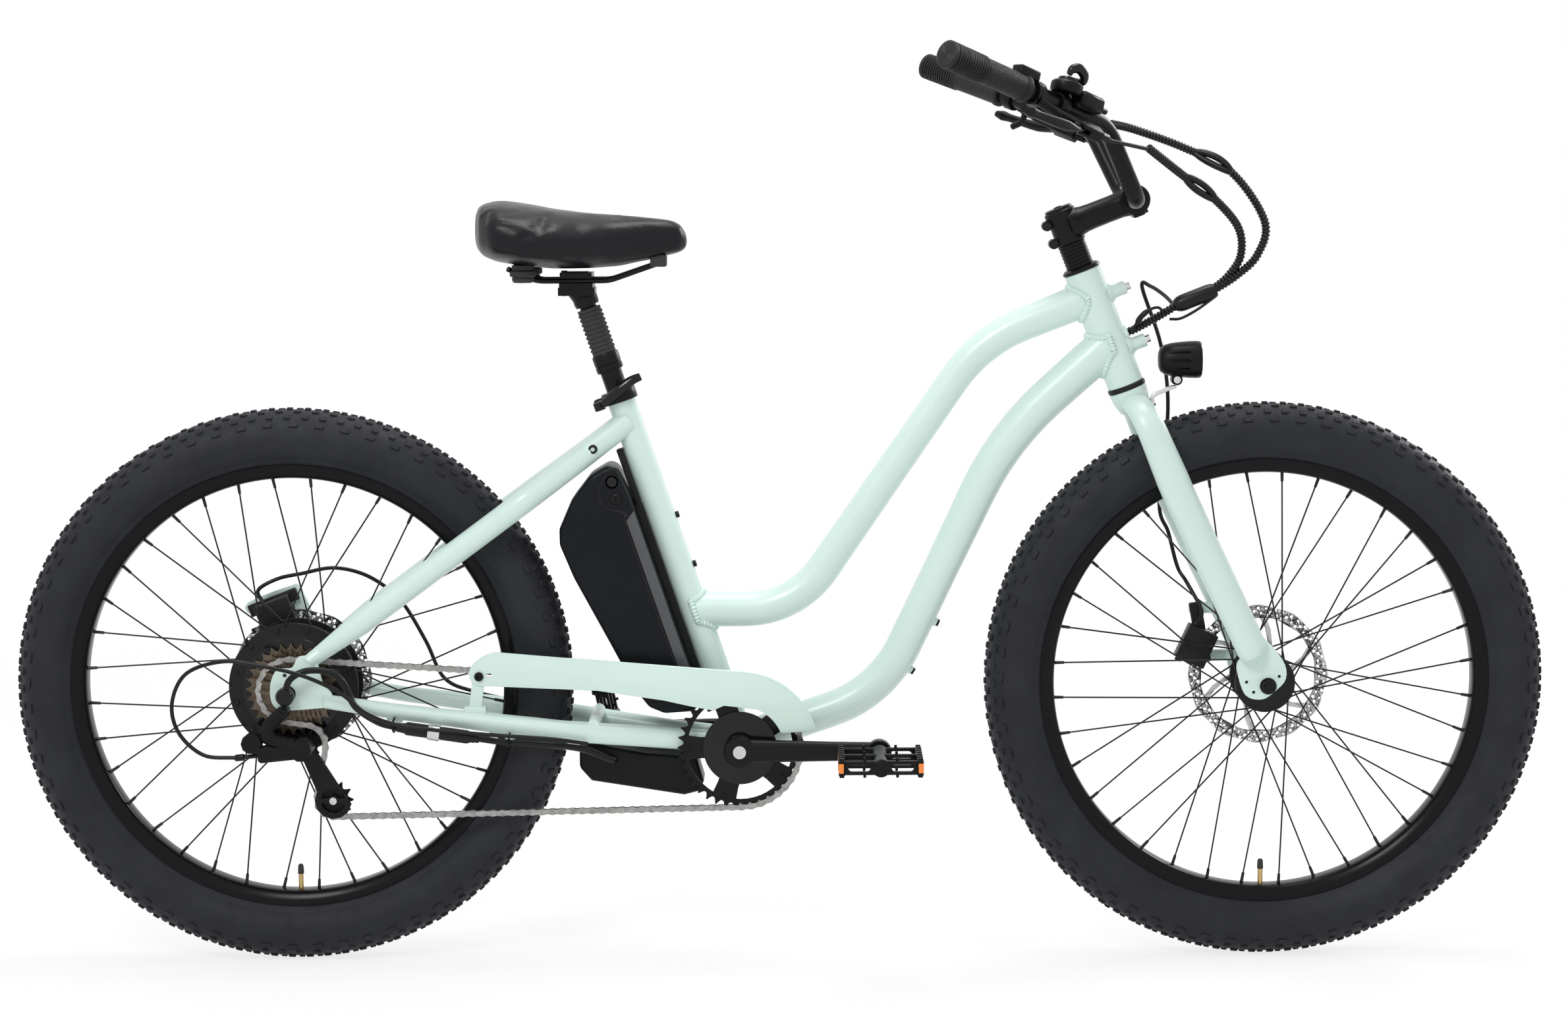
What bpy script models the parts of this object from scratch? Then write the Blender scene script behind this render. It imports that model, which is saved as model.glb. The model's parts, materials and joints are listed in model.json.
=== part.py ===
"""Electric beach cruiser, modelled as separate pieces on their working axes.

Axes: +X points ahead, -Y is the drive side, +Z is up, all in metres.  The origin lies on
the ground, midway between the axles and in the middle plane.
"""

import math

import bmesh
import bpy
from mathutils import Matrix, Vector

# Wheels
WHEEL_RADIUS = 0.3555
HALF_BASE = 0.6164
WHEEL_FACETS = 32
TYRE_WIDTH = 0.076
TREAD_FLAT = 0.022
TYRE_DEPTH = 0.0725
RIM_RADIUS = WHEEL_RADIUS - TYRE_DEPTH
RIM_DEPTH = 0.0170
RIM_WIDTH = 0.042
RIM_WALL = 0.0030
SPOKE_COUNT = 36
SPOKE_RADIUS = 0.0014
FRONT_AXLE_WIDTH = 0.100
REAR_AXLE_WIDTH = 0.136
AXLE_RADIUS = 0.0060
AXLE_NUT_RADIUS = 0.0100
FRONT_FLANGE_RADIUS = 0.038
FRONT_FLANGE_OFFSET = 0.027
FRONT_HUB_RADIUS = 0.017
MOTOR_RADIUS = 0.0825
MOTOR_FLANGE_OFFSET = 0.022
FLANGE_THICKNESS = 0.004
FRONT_FLANGE_THICKNESS = 0.0066
FRONT_SPOKE_LEAN = 55.0
REAR_SPOKE_LEAN = 22.0

# Brakes
ROTOR_RADIUS = 0.090
ROTOR_BAND = 0.016
ROTOR_HUB_RADIUS = 0.030
ROTOR_THICKNESS = 0.002
ROTOR_ARMS = 6
FRONT_ROTOR_Y = 0.0395
REAR_ROTOR_Y = 0.0520
ROTOR_GAP = 0.0012
CALIPER_HALF = 0.0118
FRONT_CALIPER_ANGLE = 155.0
REAR_CALIPER_ANGLE = 111.0
FRONT_MOUNT_Y = 0.0540
FRONT_EARS = ((-0.079, 0.084), (-0.068, 0.022))
REAR_EARS = ((-0.0135, 0.1063), (-0.0611, 0.0879))

# Frame
BB_X = -0.049
BB_DROP = 0.0755
BB_SHELL_RADIUS = 0.0205
BB_SHELL_WIDTH = 0.068
BB_BORE_RADIUS = 0.0160
SPINDLE_RADIUS = 0.0085
SEAT_TUBE_ANGLE = 71.3
SEAT_TUBE_LENGTH = 0.473
STAY_BELOW_TOP = 0.039
SEAT_TUBE_RADIUS = 0.0176
SEATPOST_RADIUS = 0.0136
TOP_TUBE_RADIUS = 0.0205
DOWN_TUBE_RADIUS = 0.0225
SEAT_STAY_RADIUS = 0.0150
CHAIN_STAY_RADIUS = 0.0135
STAY_OFFSET = 0.0640
DROPOUT_THICKNESS = 0.006
HEAD_X = 0.4408
HEAD_HEIGHT = 0.3775
HEAD_ANGLE = 68.8
HEAD_LENGTH = 0.154
HEAD_RADIUS = 0.0230
HEAD_WALL = 0.0045
STEERER_RADIUS = 0.0143
HEAD_CUP_HEIGHT = 0.006

# Fork
FORK_OFFSET = 0.027
FORK_LEG_OFFSET = 0.062
FORK_LEG_DEPTH = 0.0220
FORK_LEG_SQUASH = 0.75
FORK_PLATE = 0.006

# Steering
SPACER_COUNT = 7
SPACER_HEIGHT = 0.0045
SPACER_RADIUS = 0.0175
STEM_HEIGHT = 0.043
STEM_REACH = 0.0925
BAR_RADIUS = 0.0111
SLEEVE = 0.0012
BAR_RISE = 0.091
BAR_HALF_WIDTH = 0.300
GRIP_RADIUS = 0.0165
GRIP_LENGTH = 0.138
GRIP_RIBS = 3
GRIP_RIB_PITCH = 0.0125
LEVER_PLACE = 0.014
LEVER_INBOARD = 0.066
LEVER_REACH = 0.036
LEVER_DROP = 40.0
SHIFTER_PLACE = 0.058
THROTTLE_PLACE = 0.050

# Drive train
CHAIN_PITCH = 0.0127
CHAIN_LINE = -0.050
CHAIN_HALF_WIDTH = 0.0035
CHAIN_HALF_HEIGHT = 0.0042
CHAIN_SLOT = 0.0017
CHAIN_TURN = 14.0
RING_TEETH = 38
COG_TEETH = (28, 24, 22, 20, 18, 16, 14)
COG_STEP = 0.0050
COG_THICKNESS = 0.0018
FREEWHEEL_BORE = 0.0120
CHAIN_COG = 3
PULLEY_TEETH = 11
TOOTH_HEIGHT = 0.0028
PULLEY_BOLT = 0.0030
CRANK_LENGTH = 0.175
PEDAL_LENGTH = 0.105
PEDAL_WIDTH = 0.098
PEDAL_HEIGHT = 0.024

# Seat
SEATPOST_EXPOSED = 0.051
SEATPOST_INSERT = 0.170
SEAT_BORE_SPARE = 0.041
POST_CAP_HEIGHT = 0.023
POST_CAP_RADIUS = 0.0172
SLIDER_RADIUS = 0.0108
BELLOWS_LENGTH = 0.060
BELLOWS_RIBS = 9
BELLOWS_RADIUS = 0.0160
BELLOWS_ROOT = 0.0128
CAM_RADIUS = 0.0075
SADDLE_LENGTH = 0.262
SADDLE_BACK = -0.1250
RAIL_RADIUS = 0.0036
RAIL_OFFSET = 0.0220

# Battery
BATTERY_GAP = 0.0095
BATTERY_HALF_WIDTH = 0.0420

# General
CLEAR = 0.0003
CABLE_RADIUS = 0.0025
LOOM_RADIUS = 0.0052
LOOM_RIB_PITCH = 0.0240
FRAME_COLOUR = (0.60, 0.79, 0.72)
BLACK = (0.018, 0.018, 0.019)
GREY = (0.23, 0.235, 0.24)
STEEL = (0.55, 0.56, 0.57)

# Anchors, worked out from the sizes above
AXLE_Z = WHEEL_RADIUS
REAR = Vector((-HALF_BASE, 0.0, AXLE_Z))
FRONT = Vector((HALF_BASE, 0.0, AXLE_Z))
BB = Vector((BB_X, 0.0, AXLE_Z - BB_DROP))
HEAD_FOOT = Vector((HEAD_X, 0.0, AXLE_Z + HEAD_HEIGHT))
SEAT_UP = Vector((-math.cos(math.radians(SEAT_TUBE_ANGLE)), 0.0, math.sin(math.radians(SEAT_TUBE_ANGLE))))
SEAT_BACK = Vector((-SEAT_UP.z, 0.0, SEAT_UP.x))
HEAD_UP = Vector((-math.cos(math.radians(HEAD_ANGLE)), 0.0, math.sin(math.radians(HEAD_ANGLE))))
HEAD_AHEAD = Vector((HEAD_UP.z, 0.0, -HEAD_UP.x))
SIDE = Vector((0.0, 1.0, 0.0))
ALONG = Vector((1.0, 0.0, 0.0))
UP = Vector((0.0, 0.0, 1.0))
RIGHT = -1
LEFT = 1

PIECES = {}
CARRIED = []


def near(anchor, x, y, z):
    """The point at an offset from an anchor."""
    return anchor + Vector((x, y, z))


def at_head(ahead, side, up):
    """A point of the steering assembly: ahead of, beside and up along the steering axis."""
    return HEAD_FOOT + HEAD_AHEAD * ahead + SIDE * side + HEAD_UP * up


def at_seat(back, side, up):
    """A point behind, beside and up along the seat tube's axis."""
    return BB + SEAT_BACK * back + SIDE * side + SEAT_UP * up


def pitch_radius(teeth):
    """The radius on which the chain's pins run round a toothed wheel."""
    return teeth * CHAIN_PITCH / (2.0 * math.pi)


def finished(shape, mesh):
    """Turn a closed shape's faces outward and keep it in a mesh."""
    bmesh.ops.recalc_face_normals(shape, faces=shape.faces)
    if shape.calc_volume(signed=True) < 0.0:
        bmesh.ops.reverse_faces(shape, faces=shape.faces)
    shape.to_mesh(mesh)
    shape.free()
    return mesh


def mesh_of(vertices, faces):
    """A mesh from points and faces, with its faces turned outward."""
    mesh = bpy.data.meshes.new("shape")
    mesh.from_pydata([tuple(v) for v in vertices], [], faces)
    shape = bmesh.new()
    shape.from_mesh(mesh)
    bmesh.ops.remove_doubles(shape, verts=shape.verts, dist=1e-6)
    return finished(shape, mesh)


def rounded(corners, radii, turn=18.0):
    """A path through corners, each inner one rounded with an arc of its radius."""
    path = [corners[0].copy()]
    for before, corner, after, radius in zip(corners, corners[1:], corners[2:], radii):
        back = (before - corner).normalized()
        ahead = (after - corner).normalized()
        bend = math.pi - back.angle(ahead)
        if radius <= 0.0 or bend < 1e-3:
            path.append(corner.copy())
            continue
        reach = radius * math.tan(bend / 2.0)
        centre = corner + (back + ahead).normalized() * (radius / math.cos(bend / 2.0))
        start = corner + back * reach - centre
        axis = start.cross(corner + ahead * reach - centre).normalized()
        steps = max(1, math.ceil(math.degrees(bend) / turn))
        for step in range(steps + 1):
            path.append(centre + Matrix.Rotation(bend * step / steps, 3, axis) @ start)
    path.append(corners[-1].copy())
    return path


def smooth_path(points, parts):
    """A Catmull-Rom curve through the points, with a number of parts per stretch."""
    ends = [points[0] * 2.0 - points[1]] + list(points) + [points[-1] * 2.0 - points[-2]]
    path = []
    for a, b, c, d in zip(ends, ends[1:], ends[2:], ends[3:]):
        for part in range(parts):
            t = part / parts
            path.append(0.5 * (2.0 * b + (c - a) * t + (2.0 * a - 5.0 * b + 4.0 * c - d) * t * t
                               + (3.0 * b - a - 3.0 * c + d) * t * t * t))
    path.append(points[-1].copy())
    return path


def resampled(path, count):
    """The path again, as a number of equal steps along its length."""
    lengths = [0.0]
    for a, b in zip(path, path[1:]):
        lengths.append(lengths[-1] + (b - a).length)
    points = []
    index = 0
    for step in range(count + 1):
        target = lengths[-1] * step / count
        while index < len(path) - 2 and lengths[index + 1] < target:
            index += 1
        span = lengths[index + 1] - lengths[index]
        points.append(path[index].lerp(path[index + 1], (target - lengths[index]) / span))
    return points


def blend_radii(path, stops):
    """A radius for each point of a path, blended evenly along it from a few stops."""
    lengths = [0.0]
    for a, b in zip(path, path[1:]):
        lengths.append(lengths[-1] + (b - a).length)
    radii = []
    for length in lengths:
        place = length / lengths[-1] * (len(stops) - 1)
        index = min(int(place), len(stops) - 2)
        radii.append(stops[index] + (stops[index + 1] - stops[index]) * (place - index))
    return radii


def tube(path, radius, sides=12, squash=1.0):
    """A solid swept along a path: a round section, or an oval one squashed sideways."""
    radii = radius if isinstance(radius, list) else [radius] * len(path)
    tangents = []
    for index in range(len(path)):
        before = path[max(index - 1, 0)]
        after = path[min(index + 1, len(path) - 1)]
        tangents.append((after - before).normalized())
    across = SIDE if abs(tangents[0].dot(SIDE)) < 0.95 else UP
    across = (across - tangents[0] * across.dot(tangents[0])).normalized()
    vertices = []
    for index, point in enumerate(path):
        if index:
            turn = tangents[index - 1].rotation_difference(tangents[index])
            across = turn @ across
        upward = across.cross(tangents[index]).normalized()
        for side in range(sides):
            angle = 2.0 * math.pi * (side + 0.5) / sides
            offset = upward * math.cos(angle) + across * (squash * math.sin(angle))
            vertices.append(point + offset * radii[index])
    faces = []
    for ring in range(len(path) - 1):
        for side in range(sides):
            following = (side + 1) % sides
            faces.append((ring * sides + side, ring * sides + following,
                          (ring + 1) * sides + following, (ring + 1) * sides + side))
    last = (len(path) - 1) * sides
    faces.append(tuple(reversed(range(sides))))
    faces.append(tuple(range(last, last + sides)))
    return mesh_of(vertices, faces)


def lathe(profile, centre, axis, sides=20, closed=False):
    """A turned solid from (radius, height) pairs; a closed profile goes round a bore."""
    axis = axis.normalized()
    first = (SIDE if abs(axis.dot(SIDE)) < 0.9 else UP)
    first = (first - axis * first.dot(axis)).normalized()
    second = axis.cross(first)
    vertices = []
    rings = []
    for radius, height in profile:
        ring = []
        if radius < 1e-7:
            vertices.append(centre + axis * height)
            ring = [len(vertices) - 1] * sides
        else:
            for side in range(sides):
                angle = 2.0 * math.pi * (side + 0.5) / sides
                vertices.append(centre + axis * height
                                + (first * math.cos(angle) + second * math.sin(angle)) * radius)
                ring.append(len(vertices) - 1)
        rings.append(ring)
    faces = []
    pairs = list(zip(rings, rings[1:]))
    if closed:
        pairs.append((rings[-1], rings[0]))
    for lower, upper in pairs:
        for side in range(sides):
            following = (side + 1) % sides
            corners = []
            for corner in (lower[side], lower[following], upper[following], upper[side]):
                if corner not in corners:
                    corners.append(corner)
            if len(corners) > 2:
                faces.append(tuple(corners))
    if not closed:
        for ring in (rings[0], rings[-1]):
            if ring[0] != ring[1]:
                faces.append(tuple(ring))
    return mesh_of(vertices, faces)


def bore_radius(radius, sides):
    """The corner radius of a faceted bore whose flats clear a round piece in it."""
    return (radius + CLEAR) / math.cos(math.pi / sides)


def rod(start, end, radius, sides=10):
    """A straight round bar between two points."""
    return lathe([(radius, 0.0), (radius, (end - start).length)], start, end - start, sides)


def pipe(start, end, outer, inner, sides=14):
    """A straight open tube between two points."""
    length = (end - start).length
    profile = [(inner, 0.0), (outer, 0.0), (outer, length), (inner, length)]
    return lathe(profile, start, end - start, sides, closed=True)


def prism(outline, low, high):
    """An outline of (x, z) points in the middle plane, drawn out sideways from low to high."""
    vertices = [Vector((x, low, z)) for x, z in outline] + [Vector((x, high, z)) for x, z in outline]
    count = len(outline)
    faces = [tuple(range(count)), tuple(range(count, 2 * count))]
    for index in range(count):
        following = (index + 1) % count
        faces.append((index, following, count + following, count + index))
    return mesh_of(vertices, faces)


def block(centre, size, along=ALONG, up=UP, bevel=0.0):
    """A box about its centre, turned to a direction, with its edges cut by a bevel."""
    along = along.normalized()
    across = up.cross(along).normalized()
    upward = along.cross(across)
    shape = bmesh.new()
    bmesh.ops.create_cube(shape, size=1.0)
    for vertex in shape.verts:
        x, y, z = vertex.co
        vertex.co = centre + along * (x * size[0]) + across * (y * size[1]) + upward * (z * size[2])
    if bevel > 0.0:
        bmesh.ops.bevel(shape, geom=shape.edges[:], offset=bevel, segments=1, affect="EDGES")
    return finished(shape, bpy.data.meshes.new("shape"))


def outline_arc(centre, radius, start, end, steps):
    """Points of an arc in the middle plane, between two angles in degrees."""
    points = []
    for step in range(steps + 1):
        angle = math.radians(start + (end - start) * step / steps)
        points.append((centre[0] + radius * math.cos(angle), centre[1] + radius * math.sin(angle)))
    return points


def boolean(base, others, operation):
    """The mesh that one exact Boolean leaves of a base and several other meshes."""
    carrier = bpy.data.objects.new("carrier", base)
    bpy.context.scene.collection.objects.link(carrier)
    group = bpy.data.collections.new("operands")
    bpy.context.scene.collection.children.link(group)
    operands = []
    for other in others:
        operand = bpy.data.objects.new("operand", other)
        group.objects.link(operand)
        operands.append(operand)
    modifier = carrier.modifiers.new("boolean", "BOOLEAN")
    modifier.solver = "EXACT"
    modifier.operation = operation
    modifier.operand_type = "COLLECTION"
    modifier.collection = group
    bpy.context.view_layer.update()
    graph = bpy.context.evaluated_depsgraph_get()
    result = bpy.data.meshes.new_from_object(carrier.evaluated_get(graph))
    for used in [carrier] + operands:
        bpy.data.objects.remove(used)
    bpy.data.collections.remove(group)
    return cleaned(result)


def cleaned(mesh):
    """The mesh without slivers: near-equal points merged and flat faces joined."""
    shape = bmesh.new()
    shape.from_mesh(mesh)
    bmesh.ops.remove_doubles(shape, verts=shape.verts, dist=2e-6)
    bmesh.ops.dissolve_degenerate(shape, edges=shape.edges, dist=2e-6)
    bmesh.ops.dissolve_limit(shape, angle_limit=math.radians(0.2), verts=shape.verts, edges=shape.edges)
    return finished(shape, mesh)


def fused(*shapes):
    """Several overlapping shapes as one solid."""
    return boolean(shapes[0], shapes[1:], "UNION")


def cut(base, *cutters):
    """A solid with the cutters' space taken out."""
    return boolean(base, cutters, "DIFFERENCE")


def piece(name, mesh, origin, colour, metallic=0.0, roughness=0.5):
    """A named object with its origin at a point of the bicycle and its own material."""
    mesh.transform(Matrix.Translation(-origin))
    mesh.name = name
    mesh.shade_smooth()
    mesh.set_sharp_from_angle(angle=math.radians(35.0))
    material = bpy.data.materials.new(name)
    material.use_nodes = True
    surface = material.node_tree.nodes["Principled BSDF"]
    surface.inputs["Base Color"].default_value = (*colour, 1.0)
    surface.inputs["Metallic"].default_value = metallic
    surface.inputs["Roughness"].default_value = roughness
    mesh.materials.clear()
    mesh.materials.append(material)
    item = bpy.data.objects.new(name, mesh)
    item.location = origin
    bpy.context.scene.collection.objects.link(item)
    PIECES[name] = item
    return item


def axis_empty(name, place, carrier=None, turn=None):
    """An empty on a joint's axis, which carries the pieces that turn about it."""
    item = bpy.data.objects.new(name, None)
    item.empty_display_size = 0.05
    item.location = place
    if turn is not None:
        item.rotation_euler = turn
    bpy.context.scene.collection.objects.link(item)
    if carrier is not None:
        CARRIED.append((item, carrier))
    return item


def carry(carrier, *names):
    """Hang named pieces from an empty."""
    for name in names:
        CARRIED.append((PIECES[name], carrier))


def settle_parents():
    """Parent what is carried, with every piece left where it was modelled."""
    bpy.context.view_layer.update()
    places = {item: item.matrix_world.copy() for item, carrier in CARRIED}
    carriers = {carrier: carrier.matrix_world.copy() for item, carrier in CARRIED}
    for item, carrier in CARRIED:
        item.parent = carrier
        item.matrix_parent_inverse = carriers[carrier].inverted()
    bpy.context.view_layer.update()
    for item, place in places.items():
        item.matrix_world = place


def toothed_outline(centre, teeth, tip, phase=0.0):
    """A chain wheel's outline: each tooth has a root and two flanks that meet in its tip."""
    pitch = pitch_radius(teeth)
    root = pitch - CHAIN_HALF_HEIGHT - CLEAR
    outline = []
    step = 2.0 * math.pi / teeth
    for tooth in range(teeth):
        middle = phase + tooth * step
        for share, radius in ((-0.30, root), (0.0, tip), (0.30, root)):
            angle = middle + share * step
            outline.append((centre.x + radius * math.cos(angle), centre.z + radius * math.sin(angle)))
    return outline


def stay_dropout(side):
    """A rear dropout plate, its outline round the axle, with its eyelet."""
    inner = REAR_AXLE_WIDTH / 2.0
    outline = [(0.0530, -0.0175), (0.0560, -0.0020), (0.0440, 0.0150), (0.0360, 0.0440),
               (0.0150, 0.0470), (0.0060, 0.0330), (-0.0120, 0.0310), (-0.0210, 0.0140),
               (-0.0210, -0.0080), (-0.0130, -0.0190), (0.0050, -0.0210)]
    points = [(REAR.x + x, REAR.z + z) for x, z in outline]
    low, high = sorted((side * inner, side * (inner + DROPOUT_THICKNESS)))
    return prism(points, low, high)


def make_frame():
    """The welded frame: tubes, bottom bracket shell, stays, dropouts and bosses."""
    corner_low = near(BB, 0.071, 0.0, 0.1695)
    corner_high = near(BB, 0.3066, 0.0, 0.5088)
    top_path = rounded([at_seat(0.0, 0.0, 0.179), corner_low, corner_high, at_head(0.0, 0.0, 0.119)],
                       [0.119, 0.190])
    top_radii = blend_radii(top_path, [TOP_TUBE_RADIUS * 1.1, TOP_TUBE_RADIUS, TOP_TUBE_RADIUS * 0.95,
                                       TOP_TUBE_RADIUS * 1.07])
    down_path = rounded([BB, near(BB, 0.180, 0.0, 0.0613), near(BB, 0.3362, 0.0, 0.3873),
                         at_head(0.0, 0.0, 0.057)], [0.160, 0.390])
    down_radii = blend_radii(down_path, [DOWN_TUBE_RADIUS, DOWN_TUBE_RADIUS * 0.98, DOWN_TUBE_RADIUS * 1.13])
    shapes = [rod(at_head(0.0, 0.0, 0.0), at_head(0.0, 0.0, HEAD_LENGTH), HEAD_RADIUS, 18),
              tube(top_path, top_radii, 10),
              tube(down_path, down_radii, 10),
              rod(at_seat(0.0, 0.0, 0.0), at_seat(0.0, 0.0, SEAT_TUBE_LENGTH), SEAT_TUBE_RADIUS, 14),
              rod(near(BB, 0.0, -BB_SHELL_WIDTH / 2.0, 0.0), near(BB, 0.0, BB_SHELL_WIDTH / 2.0, 0.0),
                  BB_SHELL_RADIUS, 16)]
    for side in (RIGHT, LEFT):
        offset = side * STAY_OFFSET
        plate = side * (REAR_AXLE_WIDTH + DROPOUT_THICKNESS) / 2.0
        seat_stay = rounded([at_seat(0.0, side * 0.008, SEAT_TUBE_LENGTH - STAY_BELOW_TOP),
                             near(REAR, 0.375, side * 0.026, 0.2955), near(REAR, 0.300, offset, 0.2404),
                             near(REAR, 0.0414, offset, 0.0500), near(REAR, 0.0260, plate, 0.0390)], [0.0, 0.06, 0.0])
        shapes.append(tube(seat_stay, blend_radii(seat_stay, [SEAT_STAY_RADIUS] * 6 + [0.009]), 8))
        chain_stay = rounded([near(BB, -0.004, side * 0.018, 0.0005), near(BB, -0.088, side * 0.029, 0.0085),
                              near(REAR, 0.340, offset, -0.0505), near(REAR, 0.1334, offset, -0.0245),
                              near(REAR, 0.0464, plate, -0.0100)], [0.0, 0.0, 0.0])
        shapes.append(tube(chain_stay, blend_radii(chain_stay, [CHAIN_STAY_RADIUS] * 3 + [0.0105, 0.0090]), 8))
        shapes.append(stay_dropout(side))
    shapes.append(rod(near(REAR, 0.383, -0.060, -0.045), near(REAR, 0.383, 0.060, -0.045), 0.008, 12))
    for up, length in ((0.1285, 0.0395), (0.0440, 0.0395)):
        shapes.append(rod(at_head(0.0, 0.0, up), at_head(length, 0.0, up), 0.0085, 10))
    shapes.append(rod(at_head(0.0, 0.0, 0.061), at_head(HEAD_RADIUS + 0.003, 0.0, 0.061), 0.009, 10))
    shapes.append(block(near(REAR, 0.2515, -STAY_OFFSET, -0.0370 + CHAIN_STAY_RADIUS),
                        (0.018, 0.010, 0.010)))
    tab = prism([(REAR.x + x, REAR.z + z) for x, z in
                 ((0.012, 0.030), (0.022, 0.050), (-0.002, 0.114), (-0.018, 0.117), (-0.072, 0.096),
                  (-0.066, 0.080), (-0.024, 0.084), (-0.012, 0.040))],
                REAR_AXLE_WIDTH / 2.0, REAR_AXLE_WIDTH / 2.0 + DROPOUT_THICKNESS)
    shapes.append(tab)
    cutters = [rod(at_head(0.0, 0.0, -0.01), at_head(0.0, 0.0, HEAD_LENGTH + 0.01),
                   HEAD_RADIUS - HEAD_WALL, 12),
               rod(at_seat(0.0, 0.0, SEAT_TUBE_LENGTH - SEATPOST_INSERT - SEAT_BORE_SPARE),
                   at_seat(0.0, 0.0, SEAT_TUBE_LENGTH + 0.01), bore_radius(SEATPOST_RADIUS, 12), 12),
               rod(near(BB, 0.0, -BB_SHELL_WIDTH, 0.0), near(BB, 0.0, BB_SHELL_WIDTH, 0.0), BB_BORE_RADIUS, 12)]
    for side in (RIGHT, LEFT):
        cutters.append(rod(near(REAR, 0.0, side * 0.060, 0.0), near(REAR, 0.0, side * 0.090, 0.0),
                           bore_radius(AXLE_RADIUS, 10), 10))
    piece("frame", cut(fused(*shapes), *cutters), BB, FRAME_COLOUR, 0.0, 0.42)


def make_bottom_bracket():
    """The bottom bracket cartridge, a sleeve between the shell's bore and the spindle."""
    half = BB_SHELL_WIDTH / 2.0 + 0.001
    sleeve = pipe(near(BB, 0.0, -half, 0.0), near(BB, 0.0, half, 0.0), BB_BORE_RADIUS - 3.0 * CLEAR,
                  bore_radius(SPINDLE_RADIUS, 12), 12)
    piece("bottom_bracket", sleeve, BB, GREY, 0.8, 0.4)


def make_headset():
    """The lower race ring, and the top cover with its spacer rings up to the stem."""
    bore = bore_radius(STEERER_RADIUS, 10)
    sleeve = HEAD_RADIUS - HEAD_WALL - CLEAR
    lower = [(bore, -HEAD_CUP_HEIGHT), (HEAD_RADIUS + 0.0015, -HEAD_CUP_HEIGHT),
             (HEAD_RADIUS + 0.0015, -CLEAR), (sleeve, -CLEAR), (sleeve, 0.012), (bore, 0.012)]
    piece("headset_lower_cup", lathe(lower, HEAD_FOOT, HEAD_UP, 12, closed=True), HEAD_FOOT, BLACK, 0.5, 0.35)
    start = HEAD_LENGTH + CLEAR
    rise = HEAD_CUP_HEIGHT
    profile = [(bore, start), (HEAD_RADIUS + 0.0015, start), (HEAD_RADIUS + 0.0005, start + rise)]
    profile.append((SPACER_RADIUS - 0.0010, start + rise))
    for ring in range(SPACER_COUNT):
        foot = start + rise + ring * SPACER_HEIGHT
        profile.append((SPACER_RADIUS, foot + SPACER_HEIGHT * 0.5))
        profile.append((SPACER_RADIUS - 0.0010, foot + SPACER_HEIGHT))
    profile.append((bore, start + rise + SPACER_COUNT * SPACER_HEIGHT))
    piece("headset_spacers", lathe(profile, HEAD_FOOT, HEAD_UP, 10, closed=True), HEAD_FOOT, BLACK, 0.4, 0.4)


def stem_foot():
    """How far up the steering axis the stem begins."""
    return HEAD_LENGTH + HEAD_CUP_HEIGHT + SPACER_COUNT * SPACER_HEIGHT + 2.0 * CLEAR


def stem_middle():
    """How far up the steering axis the middle of the stem lies."""
    return stem_foot() + STEM_HEIGHT / 2.0


def make_fork():
    """The fork: steerer, curved crown, two oval legs, dropout plates and the brake's lugs."""
    crown = -HEAD_CUP_HEIGHT - CLEAR
    shapes = [rod(at_head(0.0, 0.0, crown - 0.012), at_head(0.0, 0.0, stem_foot() + STEM_HEIGHT - 0.002),
                  STEERER_RADIUS, 12),
              lathe([(STEERER_RADIUS, crown - 0.020), (HEAD_RADIUS + 0.001, crown - 0.014),
                     (HEAD_RADIUS + 0.001, crown)], HEAD_FOOT, HEAD_UP, 16)]
    for side in (RIGHT, LEFT):
        offset = side * FORK_LEG_OFFSET
        path = rounded([at_head(0.001, side * 0.008, crown - 0.018),
                        at_head(0.006, side * 0.052, crown - 0.030),
                        near(FRONT, -0.1148, offset, 0.2445), near(FRONT, -0.0175, offset, 0.0395)],
                       [0.040, 0.300])
        radii = blend_radii(path, [FORK_LEG_DEPTH * share for share in (0.80, 1.0, 0.97, 0.94)])
        shapes.append(tube(path, radii, 10, FORK_LEG_SQUASH))
        inner = FRONT_AXLE_WIDTH / 2.0
        outline = [(-0.0390, 0.0300), (-0.0388, 0.0180), (-0.0286, -0.0113), (-0.0079, -0.0173),
                   (0.0086, -0.0073), (0.0225, 0.0094), (0.0180, 0.0330), (-0.0100, 0.0600)]
        low, high = sorted((side * inner, side * (inner + FORK_PLATE)))
        shapes.append(prism([(FRONT.x + x, FRONT.z + z) for x, z in outline], low, high))
    for (x, z), reach in zip(FRONT_EARS, (0.040, 0.046)):
        middle = near(FRONT, x + reach / 2.0 - 0.008, FRONT_MOUNT_Y + 0.004, z)
        shapes.append(block(middle, (reach, 0.008, 0.014)))
    cutters = [rod(near(FRONT, 0.0, side * 0.040, 0.0), near(FRONT, 0.0, side * 0.070, 0.0),
                   bore_radius(AXLE_RADIUS, 10), 10) for side in (RIGHT, LEFT)]
    piece("fork", cut(fused(*shapes), *cutters), HEAD_FOOT, FRAME_COLOUR, 0.0, 0.42)


def bar_centre():
    """The middle of the handlebar's clamped part."""
    return at_head(STEM_REACH, 0.0, stem_middle())


def bar_path(side):
    """Half of the handlebar: across from the stem, up the riser and back to the grip."""
    centre = bar_centre()
    return rounded([centre, near(centre, -0.004, side * 0.077, 0.0005),
                    near(centre, -0.045, side * 0.114, BAR_RISE),
                    near(centre, -0.2459, side * BAR_HALF_WIDTH, BAR_RISE + 0.083)], [0.030, 0.055])


def grip_line(side):
    """The grip's inner end, the bar's end and the direction between them."""
    end = bar_path(side)[-1]
    back = (bar_path(side)[-2] - end).normalized()
    return end + back * GRIP_LENGTH, end, back


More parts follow.
